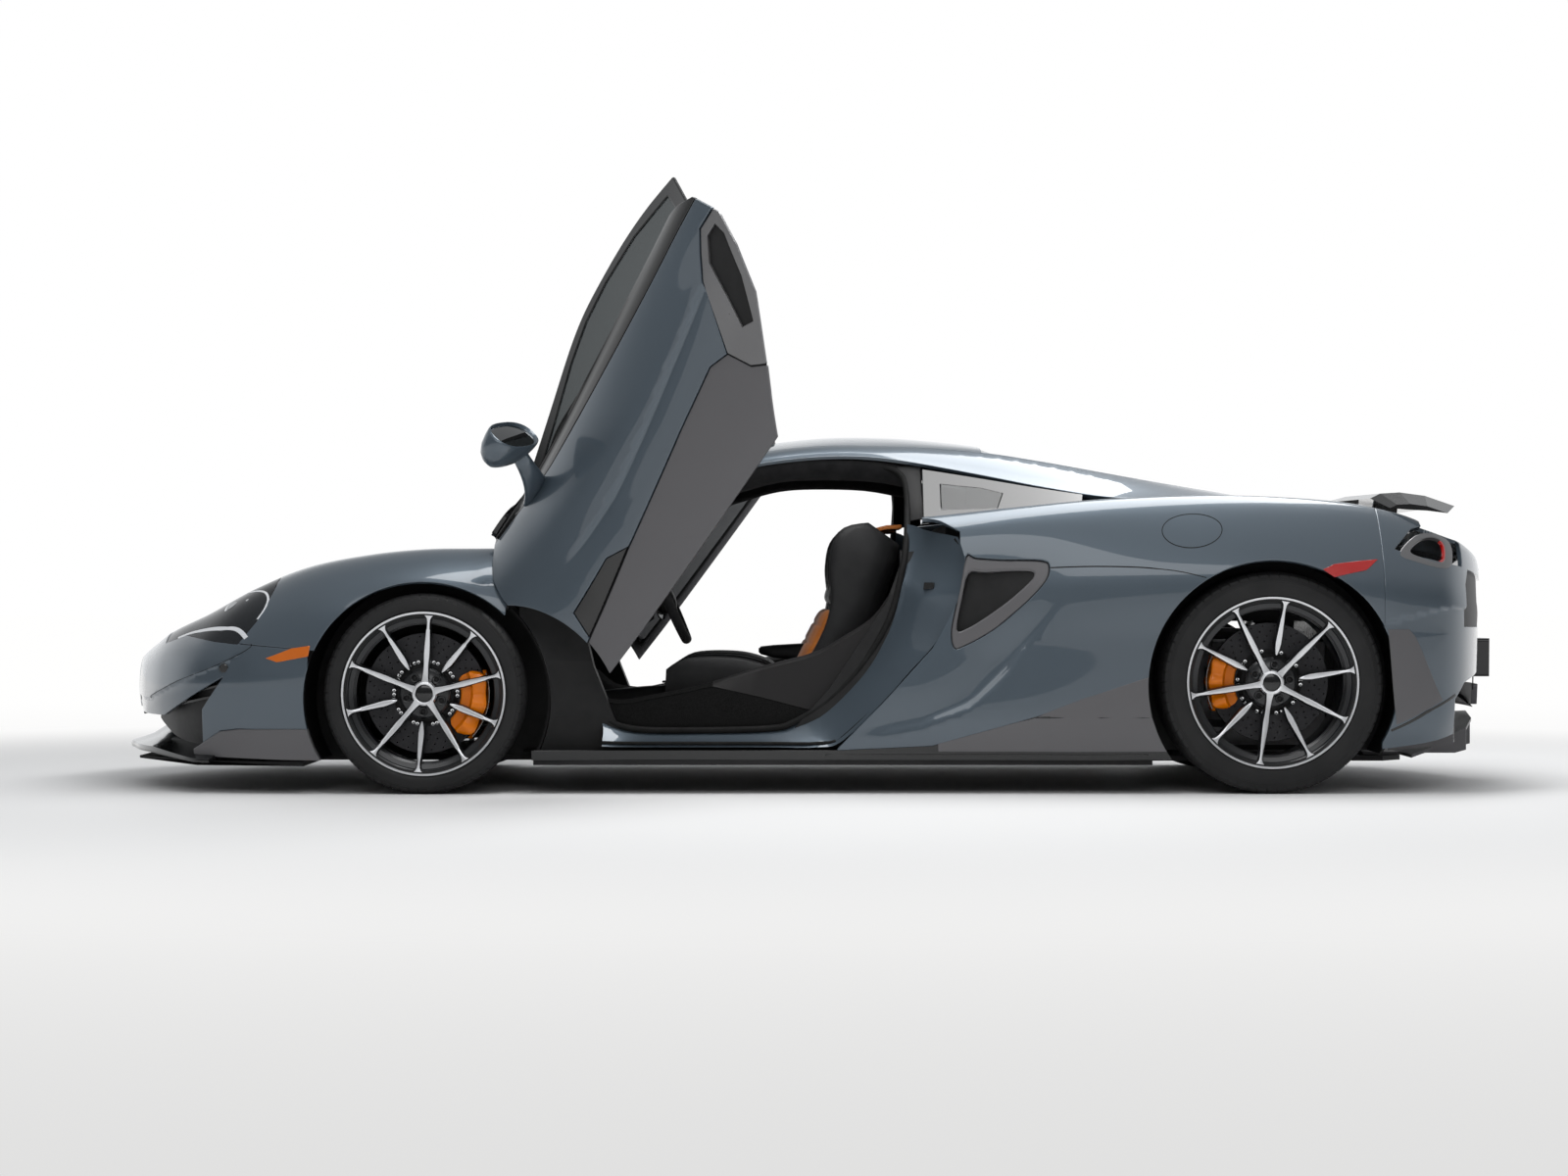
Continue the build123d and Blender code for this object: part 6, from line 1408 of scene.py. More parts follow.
for side in (-1, 1):
    mat = loft(f"foot_mat_{'l' if side < 0 else 'r'}", [[(x, side * 0.37 + y, 0.126 + dz) for y, dz in
                                                     ((-0.19, 0), (-0.186, 0.006), (0.186, 0.006),
                                                      (0.19, 0))] for x in (-0.86, -0.52)], SUEDE)
    middle(bevelled(mat, 0.003), "root", "interior")


# ---------------------------------------------------------------- seats
SPINE = (
    (-0.47, 0.335), (-0.4, 0.33), (-0.25, 0.307), (-0.12, 0.297), (-0.05, 0.33), (-0.005, 0.42), (0.04, 0.505),
    (0.085, 0.6),
    (0.125, 0.7), (0.165, 0.79), (0.205, 0.85),
)
BOLSTER = (0.05, 0.095, 0.118, 0.095, 0.05, 0.004, 0.0, 0.02, 0.07, 0.085, 0.02)
BACK_WALL = (0.05, 0.07, 0.09, 0.1, 0.12, 0.13, 0.13, 0.12, 0.11, 0.1, 0.08)
SEAT_Y = 0.37


def along_spine(count, start=0.0, end=1.0):
    """(place, normal, bolster, wall, share) along the seat's seating line."""
    line = np.array(curved(SPINE, False, 8))
    extra = np.array(curved(list(zip(BOLSTER, BACK_WALL)), False, 8))
    dist = np.concatenate([[0], np.cumsum(np.linalg.norm(np.diff(line, axis=0), axis=1))])
    dist /= dist[-1]
    out = []
    for s in np.linspace(start, end, count):
        at = [np.interp(s, dist, line[:, k]) for k in (0, 1)]
        near = [np.interp(np.clip(s + d, 0, 1), dist, line[:, k]) for d in (-0.01, 0.01) for k in (0, 1)]
        t = np.array([near[2] - near[0], near[3] - near[1]])
        t /= np.linalg.norm(t)
        out.append((np.array(at), np.array([-t[1], t[0]]), np.interp(s, dist, extra[:, 0]),
                    np.interp(s, dist, extra[:, 1]), s))
    return out


def seat_shell(name, y):
    """The seat's moulded shell with its raised side wings."""
    sections = []
    for at, n, bolster, wall, s in along_spine(56):
        narrow = 1 - 0.16 * np.clip((s - 0.86) / 0.14, 0, 1) ** 2 - 0.04 * np.clip(0.08 - s, 0, 1) / 0.08
        half = [(0.0, -0.022), (0.1, -0.02), (0.15, -0.012), (0.178, bolster * 0.35), (0.196, bolster * 0.8),
                (0.208, bolster * 0.97),
                (0.219, bolster), (0.229, bolster * 0.93), (0.2345, bolster * 0.7 - 0.006),
                (0.2345, -0.02 - wall * 0.2), (0.226, -0.03 - wall * 0.6),
                (0.2, -0.03 - wall * 0.85), (0.14, -0.03 - wall), (0.0, -0.03 - wall)]
        ring = [(a * narrow, b) for a, b in half] + [(-a * narrow, b) for a, b in half[-2:0:-1]]
        sections.append([(at[0] + n[0] * b, y + a, at[1] + n[1] * b) for a, b in ring])
    return loft(name, sections, LEATHER, angle=70)


def cushion(name, y, start, end, half_width, thick, crown, finish, channels=0, lift=-0.012):
    """A crowned pad along the seating line, with sewn channels across it."""
    rows = along_spine(60, start, end)
    sections = []
    for k, (at, n, *_) in enumerate(rows):
        u = 2 * k / (len(rows) - 1) - 1
        end_round = max(1 - abs(u) ** 10, 0.0) ** 0.5
        dent = 0.0
        if channels:
            phase = (k / (len(rows) - 1) * channels) % 1.0
            dent = 0.0045 * math.exp(-((min(phase,
                                            1 - phase) / 0.09) ** 2)) if 0.05 < k / (len(rows) - 1) < 0.95 else 0.0
        ring = []
        for j in range(36):
            a = 2 * math.pi * j / 36
            c, d = math.cos(a), math.sin(a)
            wide = half_width * math.copysign(abs(c) ** 0.4, c) * (0.94 + 0.06 * end_round)
            tall = thick / 2 * math.copysign(abs(d) ** 0.6, d) * (0.1 + 0.9 * end_round)
            rise = crown * (1 - (wide / half_width) ** 2) * end_round if d > 0 else 0.0
            if d > 0.3:
                rise -= dent * (1 - abs(wide / half_width) ** 6)
                rise -= 0.0035 * math.exp(-(((abs(wide) - half_width * 0.8) / 0.006) ** 2))
            ring.append((wide, tall + rise + lift))
        sections.append([(at[0] + n[0] * b, y + a, at[1] + n[1] * b) for a, b in ring])
    return loft(name, sections, finish, angle=80)


for side, tag, node in ((-1, "l", "seat_left"), (1, "r", "seat_right")):
    y = side * SEAT_Y
    middle(seat_shell(f"seat_shell_{tag}", y), "root", "interior", node)
    for name, start, end, half, thick, crown, finish, channels in (
        ("seat_cushion", 0.02, 0.36, 0.168, 0.05, 0.012, SUEDE, 4),
        ("seat_back_pad", 0.37, 0.7, 0.15, 0.06, 0.016, ORANGE, 5),
        ("seat_head_pad", 0.71, 0.97, 0.135, 0.06, 0.02, LEATHER, 0),
    ):
        pad = cushion(f"{name}_{tag}", y, start, end, half, thick, crown, finish, channels)
        middle(pad, "root", "interior", node)
    strip = []
    for x, z, w in ((0.168, 0.818, 0.1), (0.2, 0.838, 0.13), (0.25, 0.85, 0.14), (0.3, 0.852, 0.13)):
        strip.append([(x, y - w, z - 0.01), (x, y - w + 0.004, z + 0.004), (x, y + w - 0.004, z + 0.004),
                      (x, y + w, z - 0.01)])
    crest = loft(f"seat_crest_{tag}", strip, ORANGE)
    middle(bevelled(crest, 0.004), "root", "interior", node)

# ---------------------------------------------------------------- console and dashboard
console = loft("console_body", [
    [(x, -w, 0.13), (x, -w, z - 0.02), (x, -w + 0.016, z), (x, w - 0.016, z), (x, w, z - 0.02), (x, w, 0.13)]
    for x, z, w in ((-0.7, 0.3, 0.11), (-0.6, 0.31, 0.1), (-0.4, 0.325, 0.088), (-0.2, 0.35, 0.08),
                    (-0.1, 0.385, 0.08), (0.1, 0.4, 0.085), (0.24, 0.4, 0.1))
], LEATHER, angle=50)
middle(console, "root", "interior", "centre_console")
rest = loft("console_armrest", [
    [(x, -w, z0), (x, -w - 0.004, z0 + 0.012), (x, -w + 0.006, z1 - 0.004), (x, -w * 0.5, z1), (x, w * 0.5, z1),
     (x, w - 0.006, z1 - 0.004), (x, w + 0.004, z0 + 0.012), (x, w, z0)]
    for x, z0, z1, w in ((-0.172, 0.432, 0.441, 0.03), (-0.165, 0.424, 0.45, 0.045), (-0.12, 0.412, 0.455, 0.052),
                         (0.0, 0.402, 0.462, 0.055), (0.09, 0.4, 0.466, 0.055), (0.11, 0.41, 0.458, 0.05))
], LEATHER, angle=70)
middle(rest, "root", "interior", "centre_console")
tray = loft("console_tray", [[(x, -0.05, 0.334), (x, 0.05, 0.334), (x, 0.05, 0.327),
                              (x, -0.05, 0.327)] for x in (-0.5, -0.3)], GLOSS_BLACK)
middle(bevelled(tray, 0.003), "root", "interior", "centre_console")

dash_rows = []
for y, low in ((-0.648, 0.0), (-0.64, 0.02), (-0.4, 0.02), (-0.2, 0.0), (0.0, -0.03), (0.2, 0.0), (0.4, 0.02),
               (0.64, 0.02), (0.648, 0.0)):
    dash_rows.append([(-0.86, y, 0.752), (-0.76, y, 0.766), (-0.66, y, 0.762), (-0.62, y, 0.748), (-0.6, y, 0.715),
                      (-0.606, y, 0.68 + low),
                      (-0.64, y, 0.665 + low), (-0.66, y, 0.6 + low), (-0.72, y, 0.575 + low), (-0.86, y, 0.6)])
dash = loft("dash_body", dash_rows, SUEDE, angle=50)
middle(bevelled(dash, 0.006), "root", "interior", "dashboard")
hood = loft("dash_binnacle", [
    [(x, y, z) for x, z in ((-0.72, 0.76), (-0.69, 0.788), (-0.62, 0.795), (-0.59, 0.782), (-0.6, 0.74),
                            (-0.66, 0.735))]
    for y in (-0.53, -0.5, -0.37, -0.24, -0.21)
], LEATHER, angle=50)
middle(bevelled(hood, 0.008, 3), "root", "interior", "dashboard")
screen = loft("centre_screen", [[(-0.604, y, 0.75), (-0.596, y, 0.75), (-0.608, y, 0.6),
                                 (-0.616, y, 0.6)] for y in (-0.06, 0.06)], GLOSS_BLACK)
middle(bevelled(screen, 0.003), "root", "interior", "dashboard")
VENT_FACE = ((-0.034, -0.018), (0.034, -0.018), (0.034, 0.018), (-0.034, 0.018))
for k, y in enumerate((-0.58, -0.12, 0.12, 0.58)):
    vent = loft(f"dash_vent_{k}", [[(x, y + a, 0.715 + b) for a, b in VENT_FACE] for x in (-0.597, -0.61)],
                GLOSS_BLACK)
    middle(vent, "root", "interior", "dashboard")


# ---------------------------------------------------------------- wheels
LONG_SPOKE = ((0.03, 0.0125), (0.045, 0.0095), (0.06, 0.0078), (0.09, 0.0066), (0.105, 0.0072), (0.125, 0.0083),
              (0.15, 0.0078),
              (0.2, 0.0054))
SHORT_SPOKE = ((0.088, 0.0016), (0.094, 0.0034), (0.105, 0.0058), (0.125, 0.0083), (0.15, 0.0078), (0.2, 0.0054))


def tyre_profile(r, w, bead):
    side = (bead + r) / 2
    points = [
        (bead + 0.001, -w + 0.034), (bead + 0.001, -w + 0.014), (bead + 0.004, -w + 0.0095),
        (bead + 0.012, -w + 0.0065),
        (bead + 0.019, -w + 0.007), (bead + 0.021, -w + 0.0035), (side - 0.012, -w + 0.0006), (side, -w),
        (side + 0.012, -w + 0.001), (side + 0.018, -w + 0.0022), (side + 0.0185, -w + 0.0034),
        (r - 0.022, -w + 0.0062),
        (r - 0.012, -w + 0.0115), (r - 0.0055, -w + 0.02), (r - 0.0025, -w + 0.032),
    ]
    tread = []
    for g in (-0.55, -0.2, 0.2, 0.55):
        y = g * w
        tread += [(r - 0.0006, y - 0.0055), (r - 0.0075, y - 0.004), (r - 0.0075, y + 0.004),
                  (r - 0.0006, y + 0.0055)]
    right = [(a, -b) for a, b in reversed(points)]
    inner = [(r - 0.016, w - 0.04), (r - 0.016, -w + 0.04)]
    return points + [(r, -w + 0.05)] + tread + [(r, w - 0.05)] + right + inner


def tread_blocks(name, centre, r, w):
    """Shoulder blocks with sipes between them, laid on both edges of the tread."""
    points, faces = [], []
    count = 66
    for side in (-1, 1):
        for k in range(count):
            start, end = (2 * math.pi * (k + f) / count for f in (0.09, 0.91))
            base = len(points)
            for a in (start, end):
                for rad, y in ((r - 0.02, w - 0.0075), (r - 0.0105, w - 0.0105), (r - 0.0038, w - 0.0185),
                               (r - 0.0004, w - 0.034),
                               (r - 0.006, w - 0.036)):
                    lean = a + side * 0.02 * (y - w + 0.02) / 0.02
                    points.append((centre[0] + rad * math.cos(lean), centre[1] + side * y,
                                   centre[2] + rad * math.sin(lean)))
            for i in range(4):
                faces.append((base + i, base + i + 1, base + i + 6, base + i + 5))
            faces += [(base + 4, base, base + 5, base + 9), tuple(base + i for i in (4, 3, 2, 1, 0)),
                      tuple(base + i for i in range(5, 10))]
    obj = mesh_object(name, points, faces, TYRE)
    fix_normals(obj)
    sharpen(obj, 30)
    return obj


def build_spokes(name, centre, turn, face, outer, hub_face):
    """Ten slim spokes with machined faces; five run to the hub and five end at the wheel bolts."""
    made = []
    for k in range(10):
        shape = LONG_SPOKE if k % 2 == 0 else SHORT_SPOKE
        shape = [*shape, (outer - 0.02, 0.004), (outer - 0.004, 0.0036), (outer + 0.008, 0.0046),
                 (outer + 0.0165, 0.0085), (outer + 0.021, 0.013)]
        angle = math.radians(36 * k + turn)
        out = Vector((math.cos(angle), 0, math.sin(angle)))
        side = Vector((-math.sin(angle), 0, math.cos(angle)))
        points, faces, kinds = [], [], []
        for r, half in shape:
            rise = np.interp(r, (0.03, 0.06, 0.12, 0.17, outer + 0.02),
                             (hub_face, hub_face + 0.001, hub_face - 0.004, face + 0.004, face - 0.009))
            deep = np.interp(r, (0.03, 0.1, outer, outer + 0.02), (0.036, 0.034, 0.024, 0.012))
            for s, y in ((-half, rise), (0, rise - 0.0012), (half, rise), (half + 0.0022, rise + 0.004),
                         (half + 0.005, rise + deep),
                         (-half - 0.005, rise + deep), (-half - 0.0022, rise + 0.004)):
                p = Vector(centre) + out * r + side * s
                points.append((p.x, p.y + y, p.z))
        for j in range(len(shape) - 1):
            for i in range(7):
                a, b = j * 7 + i, j * 7 + (i + 1) % 7
                faces.append((a, b, b + 7, a + 7))
                kinds.append(1 if i in (0, 1) else 0)
        faces += [tuple(range(7)), tuple(range((len(shape) - 1) * 7, len(shape) * 7))[::-1]]
        kinds += [0, 0]
        obj = mesh_object(f"{name}_{k}", points, faces)
        obj.data.materials.append(RIM_DARK)
        obj.data.materials.append(SPOKE_FACE)
        for poly, kind in zip(obj.data.polygons, kinds):
            poly.material_index = kind
        fix_normals(obj)
        sharpen(obj, 24)
        made.append(obj)
    return made


def plate_with_holes(name, centre, outer_r, inner_r, holes, y, thickness, finish):
    """A flat ring across the axle with round holes, given as (radius, angle, hole radius)."""
    cutters = [circle(centre[0], centre[2], inner_r, 48)]
    cutters += [circle(centre[0] + r * math.cos(a), centre[2] + r * math.sin(a), h, 10) for r, a, h in holes]

    def flat(x, v):
        return np.stack([np.atleast_1d(x), 0 * np.atleast_1d(x) + centre[1] + y, np.atleast_1d(v)], axis=1)

    loops = trim(circle(centre[0], centre[2], outer_r, 96), cutters)
    return panel(name, flat, loops, wall=thickness, cell=0.03, roll=0.0005, material=finish)


def build_wheel(end, centre, turn, r, w, bead, disc_r, hub_y):
    """Left wheel: tyre, rim with spokes, bolts and cap, and the drilled disc."""
    outer, face = bead - 0.016, -w + 0.016
    hub_face = face + 0.014
    tyre = joined(f"tyre_{end}_l", [revolve("tyre", tyre_profile(r, w, bead), centre, 128, TYRE),
                                    tread_blocks("blocks", centre, r, w)])
    flange = bead + 0.0165
    bright = (2, 3)
    profile = [
        (outer - 0.002, -w + 0.03), (bead - 0.004, -w + 0.026), (bead + 0.0095, -w + 0.0062),
        (bead + 0.0105, -w + 0.003), (flange, -w + 0.0022),
        (flange + 0.0006, -w + 0.006), (bead + 0.004, -w + 0.011), (bead - 0.001, -w + 0.016),
        (bead - 0.001, -w + 0.04),
        (outer + 0.008, -w + 0.06), (outer + 0.008, w - 0.06), (bead - 0.001, w - 0.04), (bead - 0.001, w - 0.014),
        (flange, w - 0.008), (flange, w - 0.003), (bead, w - 0.002), (outer, w - 0.006), (outer - 0.003, w - 0.03),
        (outer - 0.006, 0.02), (outer - 0.009, -w + 0.085), (outer - 0.0075, -w + 0.082),
        (outer - 0.0075, -w + 0.062), (outer - 0.0045, -w + 0.06),
        (outer - 0.0045, -w + 0.044), (outer - 0.002, -w + 0.042),
    ]
    rim = revolve(f"rim_{end}_barrel", profile, centre, 128)
    rim.data.materials.append(RIM_DARK)
    rim.data.materials.append(SPOKE_FACE)
    for k, poly in enumerate(rim.data.polygons):
        poly.material_index = 1 if k % len(profile) in bright else 0
    hub_profile = [
        (0.0275, hub_face + 0.006), (0.028, hub_face - 0.001), (0.031, hub_face - 0.0022), (0.0365, hub_face - 0.001),
        (0.041, hub_face + 0.008),
        (0.05, hub_face + 0.014), (0.074, hub_face + 0.016), (0.081, hub_face + 0.022), (0.081, hub_face + 0.045),
        (0.0275, hub_face + 0.045),
    ]
    hub = revolve(f"rim_{end}_hub", hub_profile, centre, 64)
    hub.data.materials.append(RIM_DARK)
    hub.data.materials.append(SPOKE_FACE)
    for k, poly in enumerate(hub.data.polygons):
        poly.material_index = 1 if k % len(hub_profile) in (1, 2, 3) else 0
    cap = revolve(f"rim_{end}_cap", [(0.0004, hub_face - 0.0005), (0.018, hub_face + 0.0002),
                                     (0.0266, hub_face + 0.003),
                                     (0.0266, hub_face + 0.012), (0.0004, hub_face + 0.012)], centre, 48, GLOSS_BLACK)
    parts = [rim, hub, cap, *build_spokes(f"spoke_{end}", centre, turn, face, outer, hub_face)]
    for k in range(5):
        a = math.radians(72 * k + turn + 36)
        bolt = (centre[0] + 0.0575 * math.cos(a), centre[1], centre[2] + 0.0575 * math.sin(a))
        parts.append(revolve(f"bolt_{end}_{k}", [(0.0098, hub_face + 0.018), (0.0108, hub_face + 0.006),
                                                 (0.0125, hub_face + 0.0055),
                                                 (0.0148, hub_face + 0.018)], bolt, 28, RIM_DARK))
        parts.append(revolve(f"bolt_head_{end}_{k}",
                             [(0.0003, hub_face + 0.013), (0.005, hub_face + 0.0135), (0.0062, hub_face + 0.011),
                                                      (0.0078, hub_face + 0.012), (0.0078, hub_face + 0.02),
                                                      (0.0003, hub_face + 0.02)], bolt, 6, BLACK_TRIM))
    rim = joined(f"rim_{end}_l", parts)
    holes = []
    for k in range(30):
        for radius, shift in ((disc_r - 0.01, 0.0), (disc_r - 0.026, 0.07), (disc_r - 0.042, 0.14),
                              (disc_r - 0.058, 0.21)):
            holes.append((radius, 2 * math.pi * k / 30 + shift, 0.0022))
    pieces = [plate_with_holes(f"disc_{end}_face", centre, disc_r, 0.104, holes, hub_y - 0.017, 0.034, DISC)]
    pieces.append(revolve(f"disc_{end}_bell", [(0.06, hub_y - 0.028), (0.09, hub_y - 0.028), (0.098, hub_y - 0.02),
                                               (0.1035, hub_y - 0.018),
                                               (0.1035, hub_y + 0.012), (0.06, hub_y + 0.012)], centre, 64,
                                               BLACK_TRIM))
    for k in range(10):
        a = math.radians(36 * k - 1)
        at = (centre[0] + 0.1 * math.cos(a), centre[1], centre[2] + 0.1 * math.sin(a))
        for shift in (-0.0065, 0.0065):
            stud = (at[0] - shift * math.sin(a), centre[1], at[2] + shift * math.cos(a))
            pieces.append(revolve("bobbin", [(0.0022, hub_y - 0.025), (0.0056, hub_y - 0.0255),
                                             (0.0062, hub_y - 0.0235), (0.0062, hub_y - 0.016),
                                             (0.0022, hub_y - 0.016)], stud, 14, CHROME))
    return tyre, rim, joined(f"disc_{end}_l", pieces)


def build_caliper(name, centre, disc_r, hub_y, middle_angle, span):
    """A many-piston caliper: a flat bridge near the bell and stepped lobes outboard of it."""
    parts = []
    for face, low, high in ((-1, hub_y - 0.052, hub_y - 0.0225), (1, hub_y + 0.0225, hub_y + 0.046)):
        sections = []
        for k in range(49):
            t = k / 48
            a = math.radians(middle_angle + span * (t - 0.5))
            end = min(t, 1 - t)
            lobe = 0.5 - 0.5 * math.cos(2 * math.pi * 3 * t)
            inner_r = 0.1135 + 0.014 * (1 - min(1, end / 0.08)) ** 2
            mid_r = 0.148
            outer_r = disc_r + 0.004 - 0.03 * (1 - min(1, end / 0.16)) ** 2 + 0.006 * lobe
            top = low if face < 0 else high
            lip = top - face * (-0.004)
            swell = top - face * (-0.0145) + face * 0.0105 * lobe * (1 if end > 0.06 else end / 0.06)
            foot = high if face < 0 else low
            ring = [(inner_r, foot), (inner_r, top + 0.006 * -face), (inner_r + 0.004, top + 0.001 * -face),
                    (mid_r - 0.004, top), (mid_r, lip),
                    (mid_r + 0.006, swell), (outer_r - 0.012, swell), (outer_r - 0.002, swell + 0.006 * -face),
                    (outer_r, foot)]
            sections.append([(centre[0] + q * math.cos(a), centre[1] + y, centre[2] + q * math.sin(a)) for q,
                             y in ring])
        parts.append(loft(f"{name}_half", sections, CALIPER, angle=38))
    for t in (0.1, 0.5, 0.9):
        sections = []
        for d in (-0.045, -0.03, 0.03, 0.045):
            a = math.radians(middle_angle + span * (t + d - 0.5))
            up = 0.014 if abs(d) < 0.04 else 0.008
            sections.append([(centre[0] + q * math.cos(a), centre[1] + y, centre[2] + q * math.sin(a))
                             for q, y in ((disc_r + 0.004, hub_y - 0.036), (disc_r + up, hub_y - 0.03),
                                          (disc_r + up, hub_y + 0.03), (disc_r + 0.004, hub_y + 0.036))])
        parts.append(loft(f"{name}_bridge", sections, CALIPER, angle=38))
    for t in (0.06, 0.35, 0.65, 0.94):
        a = math.radians(middle_angle + span * (t - 0.5))
        at = (centre[0] + 0.16 * math.cos(a), centre[1], centre[2] + 0.16 * math.sin(a))
        parts.append(revolve(f"{name}_bolt", [(0.0004, hub_y - 0.0545), (0.0042, hub_y - 0.0545),
                                              (0.0064, hub_y - 0.052), (0.0064, hub_y - 0.03),
                                              (0.0004, hub_y - 0.03)],
                             at, 6, STEEL))
    pipe = []
    for k in range(12):
        a = math.radians(middle_angle + span * (0.1 + 0.8 * k / 11 - 0.5))
        pipe.append((centre[0] + (disc_r + 0.0125) * math.cos(a), centre[1] + hub_y - 0.043,
                     centre[2] + (disc_r + 0.0125) * math.sin(a)))
    parts.append(tube(f"{name}_pipe", pipe, 0.0024, STEEL, sides=8))
    return joined(name, parts)


# Per axle: wheel centre, spoke turn, tyre radius and half width, bead and disc radius, disc's place along the axle,
# caliper's angle and bodies, and the CAD node that the calipers replace
for end, centre, turn, r, w, bead, disc_r, hub_y, at, bodies, node in (
    ("front", (FRONT_AXLE_X, -0.84, 0.316), 14, 0.316, 0.113, 0.2413, 0.19, -0.008, -12,
     ("knuckle_left", "knuckle_right"), "caliper_front_*"),
    ("rear", (REAR_AXLE_X, -0.796, 0.35), 45, 0.35, 0.143, 0.254, 0.188, -0.02, 180, ("root", "root"),
     "rear_calipers"),
):
    tyre, rim, disc = build_wheel(end, centre, turn, r, w, bead, disc_r, hub_y)
    wheels = (f"wheel_{end}_left", f"wheel_{end}_right")
    on_both_sides(tyre, f"tyre_{end}", *wheels, "tyre", [f"tyre_{end}_*"])
    on_both_sides(rim, f"rim_{end}", *wheels, "wheel_rim", [f"rim_{end}_*"])
    on_both_sides(disc, f"disc_{end}", *wheels, "wheel_rim")
    caliper = build_caliper(f"caliper_{end}_l", centre, disc_r, hub_y, at, 76 if end == "front" else 62)
    on_both_sides(caliper, f"caliper_{end}", *bodies, "brake_caliper", [node])

# ---------------------------------------------------------------- finishes of the CAD pieces that stay
FINISH = {
    SATIN: ("diffuser",),
    GLOSS_BLACK: ("rear_wing", "headlamps", "front_splitter", "side_skirts"),
    BLACK_TRIM: ("underbody", "cabin_tub", "front_frame", "side_frame_left", "side_frame_right", "arch_liners",
                 "door_left",
                 "door_right", "side_intakes"),
    PAINT: ("mirror_left", "mirror_right", "front_bumper", "bonnet", "rear_bumper"),
    RED: ("tail_lamps",),
    STEEL: ("exhaust",),
    METAL: ("engine_block", "knuckle_left", "knuckle_right", "rear_uprights", "suspension_arms"),
    SUEDE: ("dashboard", "steering_wheel"),
    LEATHER: ("centre_console", "seat_left", "seat_right"),
    CALIPER: ("caliper_front_left", "caliper_front_right", "rear_calipers"),
}
for finish, names in FINISH.items():
    for node in names:
        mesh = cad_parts[node].data
        mesh.materials.clear()
        mesh.materials.append(finish)


# ---------------------------------------------------------------- floor, light and camera
def add_node(tree, kind, *links_in, **settings):
    """A shader node with its settings, and (socket, source) links into it."""
    node = tree.nodes.new(kind)
    for key, value in settings.items():
        setattr(node, key, value)
    for socket, source in links_in:
        if isinstance(source, (int, float, tuple)):
            node.inputs[socket].default_value = source
        else:
            tree.links.new(source, node.inputs[socket])
    return node


def ramp_of(tree, source, low, high, start, end):
    """A smooth step of a value from low..high to start..end."""
    return add_node(tree, "ShaderNodeMapRange", ("Value", source), ("From Min", low), ("From Max", high),
                    ("To Min", start),
                    ("To Max", end), interpolation_type="SMOOTHSTEP").outputs["Result"]


def seen_ray(tree, *kinds):
    """1 for rays of the named kinds."""
    path = add_node(tree, "ShaderNodeLightPath")
    value = path.outputs[kinds[0]]
    for kind in kinds[1:]:
        value = add_node(tree, "ShaderNodeMath", (0, value), (1, path.outputs[kind]), operation="MAXIMUM").outputs[0]
    return value


FLOOR = material("studio_floor", (0.82, 0.82, 0.82), 0.6, 0.0, Specular_IOR_Level=0.05)
tree = FLOOR.node_tree
place = add_node(tree, "ShaderNodeTexCoord").outputs["Object"]
apart = add_node(tree, "ShaderNodeSeparateXYZ", ("Vector", place))
reach = add_node(tree, "ShaderNodeVectorMath", (0, place), operation="LENGTH").outputs["Value"]
# From 2.9 m away from the car, and fully past 5.6 m, the floor glows for camera, glossy and transmission rays instead
# of taking light. The glow is painted shade of the lamps' falloff: 0.74 nine metres out on the car's left, where the
# camera stands, 0.93 from three to one metre out on that side, rising to 1.0 nine metres out on the right.
glow = ramp_of(tree, apart.outputs["Y"], -9.0, -3.0, 0.74, 0.93)
glow = add_node(tree, "ShaderNodeMath", (0, glow), (1, ramp_of(tree, apart.outputs["Y"], -1.0, 9.0, 0.0, 0.07)),
                operation="ADD").outputs[0]
floor_glow_with_painted_shade = add_node(tree, "ShaderNodeEmission", ("Strength", glow), ("Color", (1.0, 0.998, 0.994, 1.0)))
far = ramp_of(tree, reach, 2.9, 5.6, 0.0, 1.0)
shown = seen_ray(tree, "Is Camera Ray", "Is Glossy Ray", "Is Transmission Ray")
share = add_node(tree, "ShaderNodeMath", (0, far), (1, shown), operation="MULTIPLY").outputs[0]
either = add_node(tree, "ShaderNodeMixShader", (0, share), (1, tree.nodes["Principled BSDF"].outputs["BSDF"]),
                  (2, floor_glow_with_painted_shade.outputs[0]))
tree.links.new(either.outputs[0], tree.nodes["Material Output"].inputs["Surface"])
bpy.ops.mesh.primitive_plane_add(size=160, location=(0, 0, 0))
floor = bpy.context.object
floor.name = "studio_floor"
floor.data.materials.append(FLOOR)

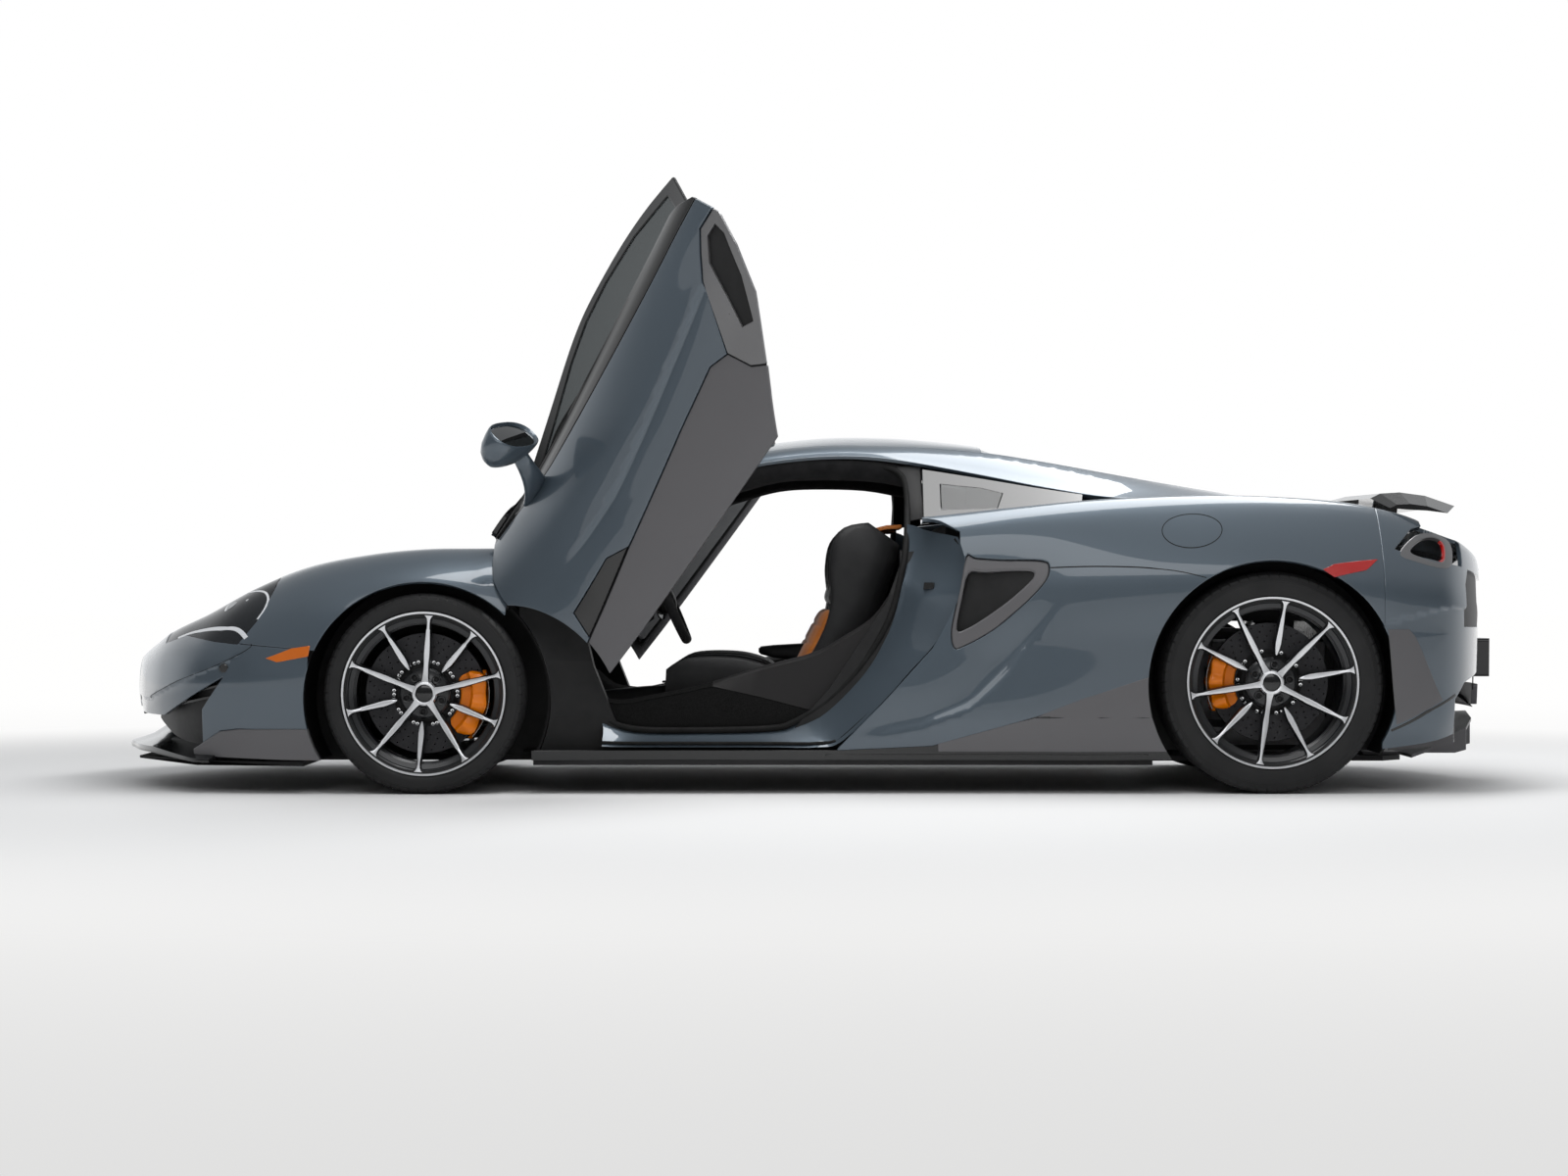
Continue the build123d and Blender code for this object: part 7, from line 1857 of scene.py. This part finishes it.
# White overhead and behind the car, and dim on the side that its flank faces
world = bpy.data.worlds.new("studio")
bpy.context.scene.world = world
world.use_nodes = True
tree = world.node_tree
tree.nodes.clear()
apart = add_node(tree, "ShaderNodeSeparateXYZ", ("Vector", add_node(tree, "ShaderNodeTexCoord").outputs["Generated"]))
overhead = ramp_of(tree, apart.outputs["Z"], 0.1, 0.75, 0.15, 0.5)
far_wall = ramp_of(tree, apart.outputs["Z"], 0.2, 0.65, 0.95, 0.45)
behind = ramp_of(tree, apart.outputs["Y"], -0.25, 0.45, 0.0, 1.0)
level = add_node(tree, "ShaderNodeMix", (0, behind), (2, overhead), (3, far_wall)).outputs[0]
room = add_node(tree, "ShaderNodeBackground", ("Strength", level), ("Color", (0.97, 0.985, 1.0, 1.0)))
white = add_node(tree, "ShaderNodeBackground", ("Strength", 1.0), ("Color", (1.0, 1.0, 1.0, 1.0)))
mix = add_node(tree, "ShaderNodeMixShader", (0, seen_ray(tree, "Is Camera Ray", "Is Transmission Ray")),
               (1, room.outputs[0]),
               (2, white.outputs[0]))
add_node(tree, "ShaderNodeOutputWorld", ("Surface", mix.outputs[0]))


def soft_light(name, size, place, target, watts):
    lamp = bpy.data.lights.new(name, "AREA")
    lamp.shape = "RECTANGLE"
    lamp.size, lamp.size_y = size
    lamp.energy = watts
    obj = bpy.data.objects.new(name, lamp)
    bpy.context.scene.collection.objects.link(obj)
    obj.location = place
    obj.rotation_euler = (Vector(target) - Vector(place)).to_track_quat("-Z", "Y").to_euler()


soft_light("overhead_softbox", (7.0, 1.5), (0.9, -0.3, 4.4), (0.4, 0, 0), 210)
soft_light("front_fill", (7.0, 2.0), (0.0, -8.0, 4.2), (0, 0, 0.4), 90)

# Focal length, width and shift of the photo, in its pixels
PHOTO_FOCAL, PHOTO_WIDTH, PHOTO_SHIFT = 3537, 1600, 4
camera_data = bpy.data.cameras.new("camera")
camera_data.sensor_width = 36.0
camera_data.lens = PHOTO_FOCAL / PHOTO_WIDTH * camera_data.sensor_width
camera_data.shift_y = PHOTO_SHIFT / PHOTO_WIDTH
camera_data.clip_end = 200
camera = bpy.data.objects.new("camera", camera_data)
bpy.context.scene.collection.objects.link(camera)
camera.location = (-0.0855, -11.83, 0.636)
camera.rotation_euler = (math.radians(90), 0, 0)
bpy.context.scene.camera = camera
bpy.context.scene.view_settings.view_transform = "Standard"
